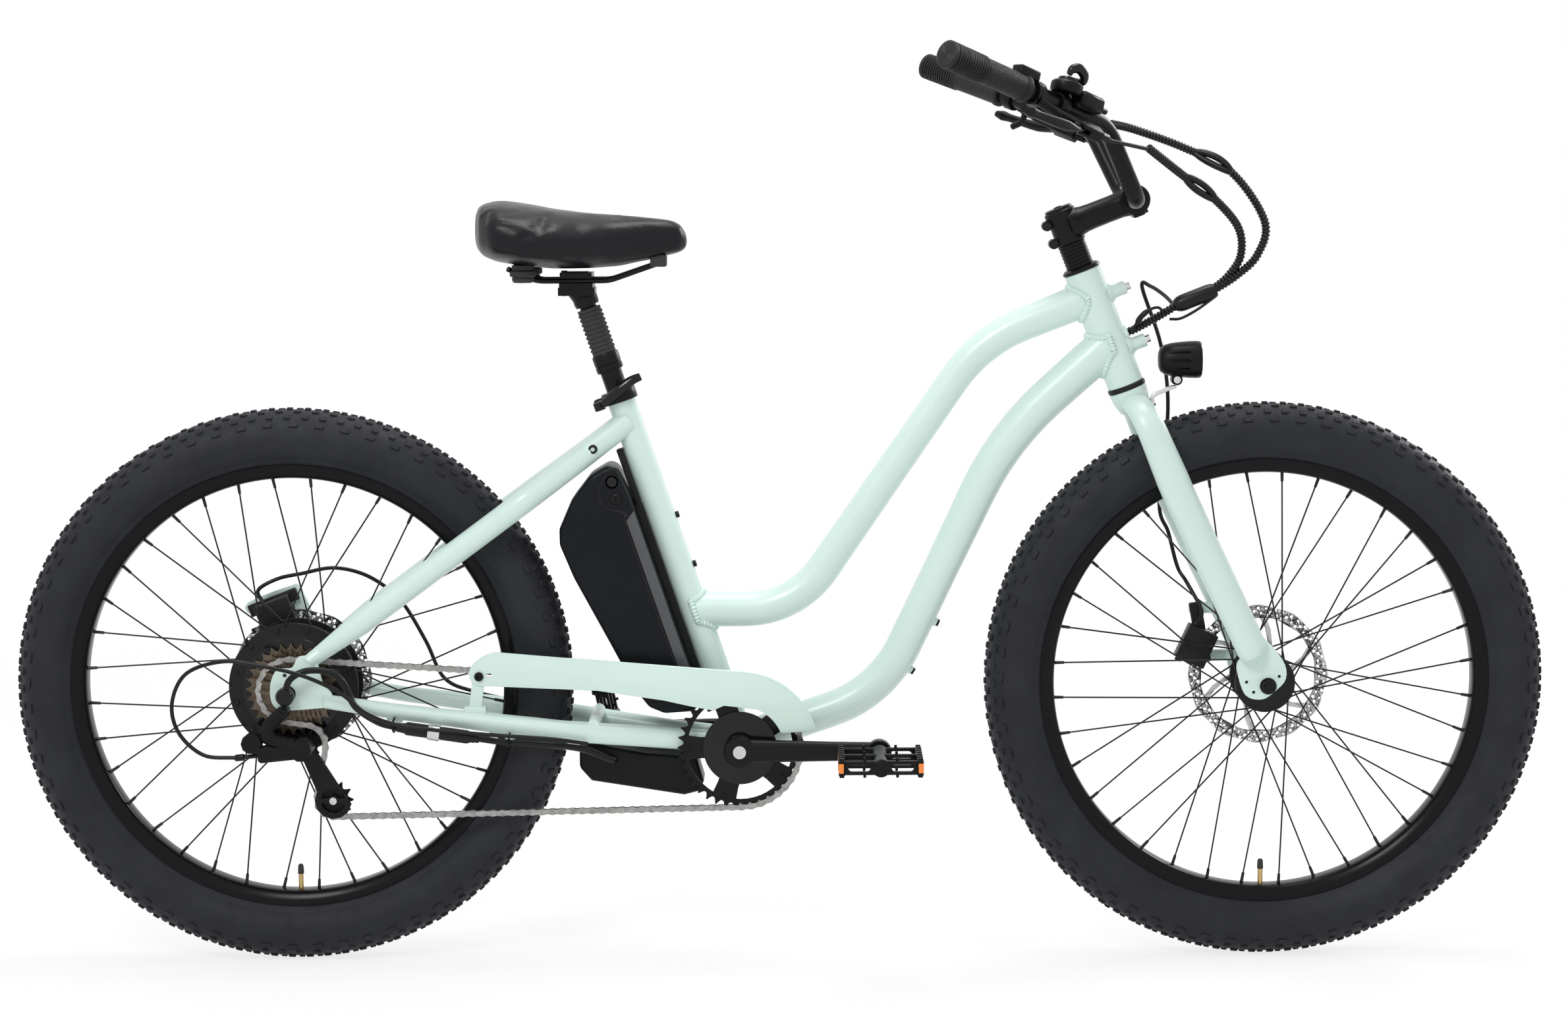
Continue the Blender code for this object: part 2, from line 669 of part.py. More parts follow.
def make_stem():
    """The stem: steerer clamp, short oval tube, bar clamp and the pinch bolts' bosses."""
    middle = stem_middle()
    foot = stem_foot()
    clamp = rod(at_head(0.0, 0.0, foot), at_head(0.0, 0.0, foot + STEM_HEIGHT), 0.0195, 14)
    body = tube([at_head(0.010, 0.0, middle), at_head(STEM_REACH - 0.004, 0.0, middle)], 0.0165, 10, 0.95)
    top = foot + STEM_HEIGHT
    cap = rod(at_head(0.0, 0.0, top - 0.001), at_head(0.0, 0.0, top + 0.004), 0.0175, 14)
    head = rod(near(bar_centre(), 0.0, -0.022, 0.0), near(bar_centre(), 0.0, 0.022, 0.0), 0.0190, 14)
    ears = block(at_head(-0.020, 0.0, middle), (0.014, 0.020, STEM_HEIGHT * 0.8), HEAD_AHEAD, HEAD_UP)
    bore = rod(at_head(0.0, 0.0, foot - 0.01), at_head(0.0, 0.0, top), bore_radius(STEERER_RADIUS, 12), 12)
    bar_bore = rod(near(bar_centre(), 0.0, -0.03, 0.0), near(bar_centre(), 0.0, 0.03, 0.0),
                   bore_radius(BAR_RADIUS + SLEEVE, 14), 14)
    slit = block(at_head(-0.024, 0.0, middle), (0.020, 0.0016, STEM_HEIGHT * 1.2), HEAD_AHEAD, HEAD_UP)
    piece("stem", cut(fused(clamp, body, cap, head, ears), bore, bar_bore, slit), at_head(0.0, 0.0, middle),
          BLACK, 0.3, 0.4)


def make_handlebar():
    """The riser handlebar, one bent tube with a thicker clamped middle."""
    left = bar_path(LEFT)
    path = list(reversed(bar_path(RIGHT)))[:-1] + left
    centre = bar_centre()
    sleeve = rod(near(centre, 0.0, -0.024, 0.0), near(centre, 0.0, 0.024, 0.0), BAR_RADIUS + SLEEVE, 14)
    piece("handlebar", fused(tube(path, BAR_RADIUS, 8), sleeve), bar_centre(), BLACK, 0.4, 0.35)


def make_grip(name, side):
    """A rubber grip: a plain inner stretch, a ribbed outer stretch and an end flange."""
    inner, end, back = grip_line(side)
    length = GRIP_LENGTH
    start = end - back * 0.004
    bore = bore_radius(BAR_RADIUS, 10)
    profile = [(0.0, 0.0), (GRIP_RADIUS, 0.0), (GRIP_RADIUS + 0.0015, 0.0020), (GRIP_RADIUS + 0.0015, 0.0055),
               (GRIP_RADIUS, 0.0065)]
    for rib in range(GRIP_RIBS):
        place = 0.011 + rib * GRIP_RIB_PITCH
        profile.append((GRIP_RADIUS - 0.0012, place))
        profile.append((GRIP_RADIUS + 0.0004, place + GRIP_RIB_PITCH / 2.0))
    profile += [(GRIP_RADIUS, 0.052), (GRIP_RADIUS, length - 0.006), (GRIP_RADIUS - 0.003, length),
                (bore, length), (bore, 0.004 - CLEAR), (0.0, 0.004 - CLEAR)]
    piece(name, lathe(profile, start, back, 10), end, BLACK, 0.0, 0.8)


def bar_frame(side, distance):
    """A place on the straight part of the bar, in from the grip, with its own directions."""
    inner, end, back = grip_line(side)
    forward = UP.cross(back) * side
    forward.normalize()
    above = forward.cross(back) * side
    above.normalize()
    if above.z < 0.0:
        above = -above
    return inner + back * distance, back, forward, above


def bar_clamp(side, distance, width, radius):
    """The disc round the handlebar that becomes a control's clamp once its bore is cut."""
    place, back, forward, above = bar_frame(side, distance)
    return rod(place - back * (width / 2.0), place + back * (width / 2.0), radius, 14)


def bar_cutter(side, distance):
    """The bore that a control on the bar needs."""
    place, back, forward, above = bar_frame(side, distance)
    return rod(place - back * 0.06, place + back * 0.06, bore_radius(BAR_RADIUS, 12), 12)


def lever_frame(side):
    """A brake lever's clamp and pivot, and its own directions, which drop ahead of the bar."""
    place, back, forward, above = bar_frame(side, LEVER_PLACE)
    drop = math.radians(LEVER_DROP)
    ahead = forward * math.cos(drop) - above * math.sin(drop)
    upward = above * math.cos(drop) + forward * math.sin(drop)
    return place, place + back * LEVER_INBOARD + ahead * LEVER_REACH, back, ahead, upward


def make_lever(side, mount_name, lever_name):
    """A brake lever's mount on the bar and the lever blade that turns in its fork."""
    place, pivot, back, ahead, upward = lever_frame(side)
    ring = bar_clamp(side, LEVER_PLACE, 0.013, BAR_RADIUS + 0.0045)
    path = [place + ahead * 0.014, place + back * 0.026 + ahead * 0.026, pivot + back * 0.012]
    arm = tube(smooth_path(path, 2), 0.0060, 8)
    housing = block(pivot + back * 0.0115, (0.0150, 0.0370, 0.0146), ahead, upward, 0.0015)
    cup = rod(pivot + back * 0.026, pivot + back * 0.044, 0.0055, 8)
    slot = block(pivot - back * 0.0030 + ahead * 0.002, (0.0230, 0.0220, 0.0062), ahead, upward)
    notch = block(pivot - back * 0.0240 + ahead * 0.005, (0.0180, 0.0280, 0.0062), ahead, upward)
    body = cut(fused(ring, arm, housing, cup), slot, notch, bar_cutter(side, LEVER_PLACE))
    piece(mount_name, body, place, BLACK, 0.3, 0.4)
    hub = rod(pivot - upward * 0.0026, pivot + upward * 0.0026, 0.0055, 12)
    blade = smooth_path([pivot, pivot + ahead * 0.010 - back * 0.022, pivot + ahead * 0.016 - back * 0.060,
                         pivot + ahead * 0.020 - back * 0.100, pivot + ahead * 0.021 - back * 0.122], 2)
    lever = fused(hub, tube(blade, blend_radii(blade, [0.0052, 0.0045, 0.0045, 0.0055]), 8, 1.0))
    floor = block(pivot - upward * 0.0226, (0.3, 0.3, 0.04), ahead, upward)
    roof = block(pivot + upward * 0.0226, (0.3, 0.3, 0.04), ahead, upward)
    piece(lever_name, cut(lever, floor, roof), pivot, BLACK, 0.4, 0.35)


def make_shifter():
    """The shifter on the right of the bar: drum, cable pod and looped thumb lever on top."""
    place, back, forward, above = bar_frame(RIGHT, SHIFTER_PLACE)
    ring = bar_clamp(RIGHT, SHIFTER_PLACE, 0.014, BAR_RADIUS + 0.0045)
    centre = place + forward * 0.008 + above * 0.0205
    drum = lathe([(0.0, -0.007), (0.018, -0.007), (0.020, -0.004), (0.020, 0.004), (0.017, 0.007), (0.0, 0.007)],
                 centre, above, 12)
    pod = block(place + back * 0.034 + forward * 0.014 + above * 0.0120, (0.026, 0.040, 0.020), forward, above, 0.004)
    outlet = rod(pod_end(0.030), pod_end(0.064), 0.0040, 8)
    piece("shifter_body", cut(fused(ring, drum, pod, outlet), bar_cutter(RIGHT, SHIFTER_PLACE)), place, BLACK,
          0.0, 0.45)
    top = centre + above * (0.007 + CLEAR)
    disc = rod(top, top + above * 0.004, 0.012, 10)
    arm = rounded([top + above * 0.0036, top + above * 0.006 - forward * 0.018 + back * 0.004,
                   top + above * 0.016 - forward * 0.026 - back * 0.004], [0.008])
    piece("shift_lever", fused(disc, tube(arm, 0.0028, 6)), top, BLACK, 0.0, 0.45)


def pod_end(distance):
    """A point on the shifter's cable outlet, a distance in from its clamp."""
    place, back, forward, above = bar_frame(RIGHT, SHIFTER_PLACE)
    return place + back * distance + forward * 0.018 + above * 0.0100


def make_throttle():
    """The thumb throttle by the left grip, a ring with a paddle below it on the rider's side."""
    place, back, forward, above = bar_frame(LEFT, THROTTLE_PLACE)
    ring = bar_clamp(LEFT, THROTTLE_PLACE, 0.016, BAR_RADIUS + 0.0060)
    paddle = rounded([place - forward * 0.012 - above * 0.010, place - forward * 0.016 - above * 0.023,
                      place - forward * 0.018 - above * 0.032 - back * 0.012], [0.008])
    piece("throttle", cut(fused(ring, tube(paddle, 0.0042, 8)), bar_cutter(LEFT, THROTTLE_PLACE)), place, BLACK,
          0.0, 0.5)


def make_headlight():
    """The headlight and the bent strip that holds it on the fork's crown bolt."""
    pivot = near(HEAD_FOOT, 0.0640, 0.0, 0.0060)
    strip = rounded([near(HEAD_FOOT, 0.0288, 0.0, -0.0236), near(HEAD_FOOT, 0.0360, 0.0, -0.0130),
                     near(HEAD_FOOT, 0.0635, 0.0, -0.0020)], [0.010])
    blade = tube(strip, 0.0030, 4, 3.0)
    piece("headlight_bracket", cut(blade, rod(pivot - SIDE * 0.03, pivot + SIDE * 0.03, 0.0078, 12)),
          HEAD_FOOT, BLACK, 0.5, 0.5)
    hinge = rod(pivot - SIDE * 0.010, pivot + SIDE * 0.010, 0.0072, 12)
    centre = near(pivot, 0.0040, 0.0, 0.0250)
    shell = lathe([(0.0, -0.027), (0.012, -0.026), (0.019, -0.018), (0.0225, 0.000), (0.0235, 0.022), (0.0215, 0.026),
                   (0.0195, 0.024), (0.0, 0.024)], centre, ALONG, 12)
    neck = block(near(pivot, 0.001, 0.0, 0.007), (0.012, 0.012, 0.010))
    piece("headlight", fused(shell, neck, hinge), pivot, BLACK, 0.0, 0.35)


def wheel_tyre(name, axle):
    """A balloon tyre: a round section with a flat tread, seated between the rim's flanges."""
    half = TYRE_WIDTH / 2.0
    middle = WHEEL_RADIUS - half
    stretch = 1.0 / math.cos(math.pi / WHEEL_FACETS)
    bead = RIM_WIDTH / 2.0 - RIM_WALL - CLEAR
    seat = RIM_RADIUS - 0.0040
    side_line = [(WHEEL_RADIUS * stretch, TREAD_FLAT / 2.0)]
    for angle in (76.0, 116.0):
        turn = math.radians(angle)
        side_line.append((middle + half * math.cos(turn), half * math.sin(turn)))
    side_line += [(RIM_RADIUS + 0.0010, half * 0.50), (seat, bead)]
    profile = side_line + [(radius, -offset) for radius, offset in reversed(side_line)]
    piece(name, lathe(profile, axle, SIDE, WHEEL_FACETS, closed=True), axle, BLACK, 0.0, 0.85)


def rim_shape(axle):
    """A double-wall rim: a shallow box with two flanges for the tyre."""
    half = RIM_WIDTH / 2.0
    floor = RIM_RADIUS - 0.0050
    inner = RIM_RADIUS - RIM_DEPTH
    profile = [(RIM_RADIUS, half), (floor, half - RIM_WALL), (floor, RIM_WALL - half), (RIM_RADIUS, -half),
               (inner, -half * 0.6), (inner, half * 0.6)]
    return lathe(profile, axle, SIDE, WHEEL_FACETS, closed=True)


def spokes(axle, hub_radius, flange_offset, lean, lift):
    """The spokes, leaning by turns ahead and back from either flange, beside its faces."""
    shapes = []
    rim = RIM_RADIUS - RIM_DEPTH + 0.003
    step = 360.0 / SPOKE_COUNT
    for index in range(SPOKE_COUNT):
        side = RIGHT if index % 2 else LEFT
        ahead = 1.0 if (index // 2) % 2 else -1.0
        rim_angle = math.radians((index + 0.5) * step)
        hub_angle = rim_angle + math.radians(ahead * lean)
        depth = side * (flange_offset + ahead * lift)
        start = near(axle, hub_radius * math.cos(hub_angle), depth, hub_radius * math.sin(hub_angle))
        end = near(axle, rim * math.cos(rim_angle), side * 0.004 + ahead * 0.0017, rim * math.sin(rim_angle))
        shapes.append(tube([start, end], SPOKE_RADIUS, 3))
    return shapes


def make_front_wheel():
    """The front wheel: hub with high flanges, crossed spokes and rim, with its tyre."""
    bore = bore_radius(AXLE_RADIUS, 12)
    flange = FRONT_FLANGE_OFFSET
    thick = FRONT_FLANGE_THICKNESS / 2.0
    half = FRONT_AXLE_WIDTH / 2.0 - CLEAR
    seat = FRONT_ROTOR_Y - ROTOR_THICKNESS / 2.0 - CLEAR
    profile = [(bore, -half), (0.011, -half), (FRONT_HUB_RADIUS, -flange - 0.005),
               (FRONT_FLANGE_RADIUS, -flange - thick), (FRONT_FLANGE_RADIUS, -flange + thick),
               (FRONT_HUB_RADIUS, -flange + 0.005), (FRONT_HUB_RADIUS, flange - 0.005),
               (FRONT_FLANGE_RADIUS, flange - thick), (FRONT_FLANGE_RADIUS, flange + thick),
               (0.0260, flange + thick + 0.001), (0.0260, seat), (0.0157, seat), (0.0150, half), (bore, half)]
    hub = lathe(profile, FRONT, SIDE, 12, closed=True)
    lacing = spokes(FRONT, FRONT_FLANGE_RADIUS - 0.004, FRONT_FLANGE_OFFSET, FRONT_SPOKE_LEAN, 0.0017)
    piece("front_wheel_rim", fused(rim_shape(FRONT), hub, *lacing), FRONT, BLACK, 0.3, 0.4)
    wheel_tyre("front_tyre", FRONT)


def make_rear_wheel():
    """The rear wheel: motor hub, rim with its spokes, and tyre."""
    bore = bore_radius(AXLE_RADIUS, 12)
    flange = MOTOR_FLANGE_OFFSET
    thick = FLANGE_THICKNESS / 2.0
    drum = MOTOR_RADIUS - 0.006
    seat = REAR_ROTOR_Y - ROTOR_THICKNESS / 2.0 - CLEAR
    profile = [(bore, -0.0300), (0.045, -0.0285), (0.071, -flange - thick), (MOTOR_RADIUS, -flange - thick),
               (MOTOR_RADIUS, -flange + thick), (drum, -flange + thick),
               (drum, flange - thick), (MOTOR_RADIUS, flange - thick), (MOTOR_RADIUS, flange + thick),
               (0.071, flange + thick), (0.066, flange + 0.007), (0.027, flange + 0.018), (0.027, seat),
               (0.0160, seat), (0.0160, REAR_ROTOR_Y + 0.004), (bore, REAR_ROTOR_Y + 0.004)]
    piece("rear_hub_motor", lathe(profile, REAR, SIDE, 18, closed=True), REAR, BLACK, 0.3, 0.45)
    gap = FLANGE_THICKNESS / 2.0 + SPOKE_RADIUS + 2.0 * CLEAR
    lacing = spokes(REAR, MOTOR_RADIUS - 0.0030, MOTOR_FLANGE_OFFSET, REAR_SPOKE_LEAN, gap)
    piece("rear_wheel_rim", fused(rim_shape(REAR), *lacing), REAR, BLACK, 0.3, 0.4)
    wheel_tyre("rear_tyre", REAR)


def make_rotor(name, axle, offset):
    """A brake disc: an outer band, curved arms and the ring that seats on the hub."""
    half = ROTOR_THICKNESS / 2.0
    low = near(axle, 0.0, offset - half, 0.0)
    high = near(axle, 0.0, offset + half, 0.0)
    shapes = [pipe(low, high, ROTOR_RADIUS, ROTOR_RADIUS - ROTOR_BAND, 20),
              pipe(low, high, ROTOR_HUB_RADIUS, bore_radius(0.0160, 12), 12)]
    for arm in range(ROTOR_ARMS):
        turn = 2.0 * math.pi * arm / ROTOR_ARMS
        outline = []
        for radius, angle in ((ROTOR_HUB_RADIUS - 0.004, -0.16), (ROTOR_RADIUS - 0.010, 0.42),
                              (ROTOR_RADIUS - 0.010, 0.56), (ROTOR_HUB_RADIUS - 0.004, 0.20)):
            outline.append((axle.x + radius * math.cos(turn + angle), axle.z + radius * math.sin(turn + angle)))
        shapes.append(prism(outline, offset - half, offset + half))
    piece(name, fused(*shapes), axle, STEEL, 1.0, 0.3)


def make_axles():
    """The wheel axles with their nuts; the rear one has a long end for the motor cable."""
    reach = FRONT_AXLE_WIDTH / 2.0 + FORK_PLATE
    shapes = [rod(near(FRONT, 0.0, -reach - 0.012, 0.0), near(FRONT, 0.0, reach + 0.012, 0.0), AXLE_RADIUS, 10)]
    for side in (RIGHT, LEFT):
        face = side * (reach + CLEAR)
        shapes.append(rod(near(FRONT, 0.0, face, 0.0), near(FRONT, 0.0, face + side * 0.008, 0.0), AXLE_NUT_RADIUS, 6))
    piece("front_axle", fused(*shapes), FRONT, STEEL, 0.9, 0.35)
    reach = REAR_AXLE_WIDTH / 2.0 + DROPOUT_THICKNESS
    shapes = [rod(near(REAR, 0.0, -reach - 0.014, 0.0), near(REAR, 0.0, reach + 0.012, 0.0), AXLE_RADIUS, 10)]
    for side in (RIGHT, LEFT):
        face = side * (reach + CLEAR)
        shapes.append(rod(near(REAR, 0.0, face, 0.0), near(REAR, 0.0, face + side * 0.009, 0.0),
                          AXLE_NUT_RADIUS + 0.001, 6))
    piece("rear_axle", fused(*shapes), REAR, BLACK, 0.5, 0.5)


def make_caliper(name, axle, rotor_y, angle, mount_y, ears):
    """A disc caliper with its slot over the rotor and the bar that bolts to its mount."""
    turn = math.radians(angle)
    outward = Vector((math.cos(turn), 0.0, math.sin(turn)))
    along = Vector((-math.sin(turn), 0.0, math.cos(turn)))
    inner = rotor_y - CALIPER_HALF
    outer = rotor_y + CALIPER_HALF
    centre = axle + outward * (ROTOR_RADIUS - 0.002)
    body = block(centre + SIDE * rotor_y, (0.046, 2.0 * CALIPER_HALF, 0.040), along, outward)
    high, low = (near(axle, x, 0.0, z) for x, z in ears)
    face = mount_y - CLEAR
    depth = face - outer + 0.004
    bar = block((high + low) / 2.0 + SIDE * (face - depth / 2.0), ((high - low).length + 0.016, depth, 0.016),
                high - low, (high - low).cross(SIDE))
    slot = pipe(axle + SIDE * (rotor_y - ROTOR_THICKNESS / 2.0 - ROTOR_GAP),
                axle + SIDE * (rotor_y + ROTOR_THICKNESS / 2.0 + ROTOR_GAP), ROTOR_RADIUS + 2.0 * ROTOR_GAP, 0.040, 40)
    piece(name, cut(fused(body, bar), slot), centre + SIDE * rotor_y, BLACK, 0.3, 0.45)
    return centre + SIDE * inner, outward, along


def make_front_brake():
    """The front caliper behind the left fork leg, with its arm."""
    face, outward, along = make_caliper("front_caliper", FRONT, FRONT_ROTOR_Y, FRONT_CALIPER_ANGLE, FRONT_MOUNT_Y,
                                        FRONT_EARS)
    outer = face + SIDE * 2.0 * CALIPER_HALF + outward * 0.011
    make_caliper_arm("front_caliper_arm", outer, SIDE, outward, along)


def make_rear_brake():
    """The rear caliper above the left dropout, with its arm."""
    face, outward, along = make_caliper("rear_caliper", REAR, REAR_ROTOR_Y, REAR_CALIPER_ANGLE,
                                        REAR_AXLE_WIDTH / 2.0, REAR_EARS)
    outer = face + SIDE * 2.0 * CALIPER_HALF - outward * 0.010 + along * 0.012
    make_caliper_arm("rear_caliper_arm", outer, SIDE, outward, along)


def make_caliper_arm(name, face, side, outward, along):
    """The lever on the caliper's outer side that the brake cable pulls."""
    foot = face + side * CLEAR
    disc = rod(foot, foot + side * 0.005, 0.0085, 12)
    arm = block(foot + side * 0.0025 + along * 0.014, (0.030, 0.005, 0.008), along, outward)
    piece(name, fused(disc, arm), foot, BLACK, 0.5, 0.4)


def chain_wheels():
    """The wheels that the chain runs round: centre, path radius and whether it turns left."""
    cog = COG_TEETH[CHAIN_COG]
    level = SIDE * CHAIN_LINE
    return [(BB + level, pitch_radius(RING_TEETH), True),
            (REAR + level, pitch_radius(cog), True),
            (guide_centre(), guide_path_radius(), False),
            (tension_centre(), pitch_radius(PULLEY_TEETH), True)]


def guide_centre():
    """The middle of the upper pulley, behind and below the cogs."""
    return near(REAR, 0.0175, CHAIN_LINE, -0.0690)


def tension_centre():
    """The middle of the lower pulley, at the foot of the cage."""
    return near(REAR, 0.0523, CHAIN_LINE, -0.1399)


def guide_path_radius():
    """The chain's radius round the upper pulley, whose teeth meet its outer face."""
    return pitch_radius(PULLEY_TEETH) + 0.0035


def tangent_ends(first, second):
    """Where the chain leaves one wheel and meets the next, as angles in the middle plane."""
    (a, ra, a_left), (b, rb, b_left) = first, second
    gap = Vector((b.x - a.x, b.z - a.z))
    heading = math.atan2(gap.y, gap.x)
    signed_a = ra if a_left else -ra
    signed_b = rb if b_left else -rb
    lean = math.asin((signed_a - signed_b) / gap.length)
    direction = heading + lean
    leave = direction - math.pi / 2.0 if a_left else direction + math.pi / 2.0
    meet = direction - math.pi / 2.0 if b_left else direction + math.pi / 2.0
    return leave, meet


def chain_path():
    """The chain's closed path round its four wheels, in even steps on each stretch."""
    wheels = chain_wheels()
    count = len(wheels)
    ends = [tangent_ends(wheels[i], wheels[(i + 1) % count]) for i in range(count)]
    points = []
    for index, (centre, radius, left) in enumerate(wheels):
        meet = ends[index - 1][1]
        leave = ends[index][0]
        sweep = (leave - meet) % (2.0 * math.pi) if left else -((meet - leave) % (2.0 * math.pi))
        steps = max(3, round(abs(sweep) / math.radians(CHAIN_TURN)))
        corner = radius / math.cos(sweep / steps / 2.0)
        for step in range(steps + 1):
            angle = meet + sweep * step / steps
            points.append(centre + Vector((math.cos(angle), 0.0, math.sin(angle))) * corner)
        following = wheels[(index + 1) % count]
        target = following[0] + Vector((math.cos(ends[index][1]), 0.0, math.sin(ends[index][1]))) * following[1]
        start = points[-1].copy()
        links = max(1, round((target - start).length / CHAIN_PITCH / 4.0))
        for step in range(1, links):
            points.append(start.lerp(target, step / links))
    return points


def make_chain():
    """The chain: two rows of link plates joined on the outer side, open toward the teeth."""
    path = chain_path()
    count = len(path)
    vertices = []
    web = TOOTH_HEIGHT + 2.0 * CLEAR
    for index, point in enumerate(path):
        tangent = (path[(index + 1) % count] - path[index - 1]).normalized()
        outward = SIDE.cross(tangent)
        waist = 1.0 if index % 2 else 0.86
        high = CHAIN_HALF_HEIGHT * waist
        wide = CHAIN_HALF_WIDTH if index % 4 < 2 else CHAIN_HALF_WIDTH * 0.86
        for across, height in ((-wide, -high), (-wide, high), (wide, high), (wide, -high),
                               (CHAIN_SLOT, -high), (CHAIN_SLOT, web), (-CHAIN_SLOT, web), (-CHAIN_SLOT, -high)):
            vertices.append(point + SIDE * across + outward * height)
    faces = []
    for index in range(count):
        following = (index + 1) % count
        for corner in range(8):
            after = (corner + 1) % 8
            faces.append((index * 8 + corner, index * 8 + after, following * 8 + after, following * 8 + corner))
    piece("chain", mesh_of(vertices, faces), BB, STEEL, 1.0, 0.35)


def make_chainring():
    """The toothed ring with its slots, fused with the round guard disc outside it."""
    centre = BB + SIDE * CHAIN_LINE
    half = COG_THICKNESS / 2.0
    tip = pitch_radius(RING_TEETH) + TOOTH_HEIGHT - CLEAR
    outline = toothed_outline(centre, RING_TEETH, tip)
    ring = prism(outline, CHAIN_LINE - half, CHAIN_LINE + half)
    boss = rod(near(BB, 0.0, CHAIN_LINE - 0.012, 0.0), near(BB, 0.0, CHAIN_LINE + half + 0.006, 0.0), 0.024, 12)
    disc = lathe([(0.0, half), (0.0440, half), (0.0465, half + 0.003), (0.0440, half + 0.006), (0.0, half + 0.007)],
                 centre, -SIDE, 12)
    slots = []
    for slot in range(5):
        middle = 360.0 * slot / 5.0
        arc = outline_arc((centre.x, centre.z), 0.0655, middle - 24.0, middle + 24.0, 2)
        arc += outline_arc((centre.x, centre.z), 0.0510, middle + 22.0, middle - 22.0, 2)
        slots.append(prism(arc, CHAIN_LINE - 0.01, CHAIN_LINE + 0.01))
    bore = rod(near(BB, 0.0, -0.1, 0.0), near(BB, 0.0, 0.0, 0.0), bore_radius(0.0150, 12), 12)
    piece("chainring", cut(fused(ring, boss, disc), bore, *slots), BB, BLACK, 0.4, 0.35)


def make_freewheel():
    """The freewheel: seven cogs on one body, the one that the chain runs on with teeth."""
    half = COG_THICKNESS / 2.0
    first = CHAIN_LINE + CHAIN_COG * COG_STEP
    profile = [(FREEWHEEL_BORE, -first - half)]
    for index, teeth in enumerate(COG_TEETH):
        level = index * COG_STEP - first
        radius = pitch_radius(teeth) if index != CHAIN_COG else pitch_radius(teeth) - 0.006
        profile += [(radius, level - half), (radius, level + half)]
        if index < len(COG_TEETH) - 1:
            profile.append((pitch_radius(COG_TEETH[index + 1]) - 0.008, level + half + CLEAR))
    profile.append((FREEWHEEL_BORE, profile[-1][1]))
    stack = lathe(profile, REAR, -SIDE, 12, closed=True)
    centre = REAR + SIDE * CHAIN_LINE
    tip = pitch_radius(COG_TEETH[CHAIN_COG]) + TOOTH_HEIGHT - CLEAR
    half += 0.0001
    toothed = prism(toothed_outline(centre, COG_TEETH[CHAIN_COG], tip), CHAIN_LINE - half, CHAIN_LINE + half)
    hole = rod(near(REAR, 0.0, CHAIN_LINE - 0.005, 0.0), near(REAR, 0.0, CHAIN_LINE + 0.005, 0.0),
               pitch_radius(COG_TEETH[CHAIN_COG]) - 0.012, 12)
    piece("freewheel", fused(stack, cut(toothed, hole)), REAR, STEEL, 1.0, 0.35)


def make_cranks():
    """The cranks: the left one carries the spindle, and the right one seats on its end."""
    end = CHAIN_LINE - 0.016
    boss = rod(near(BB, 0.0, end - 0.020, 0.0), near(BB, 0.0, end, 0.0), 0.0200, 12)
    path = [near(BB, 0.006, end - 0.0100, 0.0), near(BB, 0.060, end - 0.0125, 0.0),
            near(BB, CRANK_LENGTH, end - 0.0180, 0.0)]
    arm = tube(path, [0.0150, 0.0135, 0.0125], 8, 0.62)
    eye = rod(near(BB, CRANK_LENGTH, end - 0.026, 0.0), near(BB, CRANK_LENGTH, end - 0.011, 0.0), 0.0155, 10)
    pedal_bore = rod(near(BB, CRANK_LENGTH, -0.2, 0.0), near(BB, CRANK_LENGTH, 0.0, 0.0), 0.0075, 12)
    bore = rod(near(BB, 0.0, end + 0.01, 0.0), near(BB, 0.0, end - 0.0120, 0.0), bore_radius(SPINDLE_RADIUS, 12), 12)
    snout = rod(near(BB, 0.0, end - 0.002, 0.0), near(BB, 0.0, -BB_SHELL_WIDTH / 2.0 - 0.003, 0.0), 0.0150, 12)
    snout_bore = rod(near(BB, 0.0, end, 0.0), near(BB, 0.0, 0.0, 0.0), bore_radius(SPINDLE_RADIUS, 12), 12)
    piece("crank_right", cut(fused(boss, arm, eye, snout), pedal_bore, bore, snout_bore), BB, BLACK, 0.5, 0.35)
    left = -end
    boss = rod(near(BB, 0.0, BB_SHELL_WIDTH / 2.0 + 0.003, 0.0), near(BB, 0.0, left + 0.020, 0.0), 0.0180, 12)
    path = [near(BB, -0.006, left + 0.0100, 0.0), near(BB, -0.060, left + 0.0125, 0.0),
            near(BB, -CRANK_LENGTH, left + 0.0180, 0.0)]
    arm = tube(path, [0.0150, 0.0135, 0.0125], 8, 0.62)
    eye = rod(near(BB, -CRANK_LENGTH, left + 0.011, 0.0), near(BB, -CRANK_LENGTH, left + 0.026, 0.0), 0.0155, 10)
    pedal_bore = rod(near(BB, -CRANK_LENGTH, 0.0, 0.0), near(BB, -CRANK_LENGTH, 0.2, 0.0), 0.0075, 12)
    spindle = rod(near(BB, 0.0, end - 0.0110, 0.0), near(BB, 0.0, left + 0.002, 0.0), SPINDLE_RADIUS, 12)
    piece("crank_left", cut(fused(boss, arm, eye, spindle), pedal_bore), BB, BLACK, 0.5, 0.35)


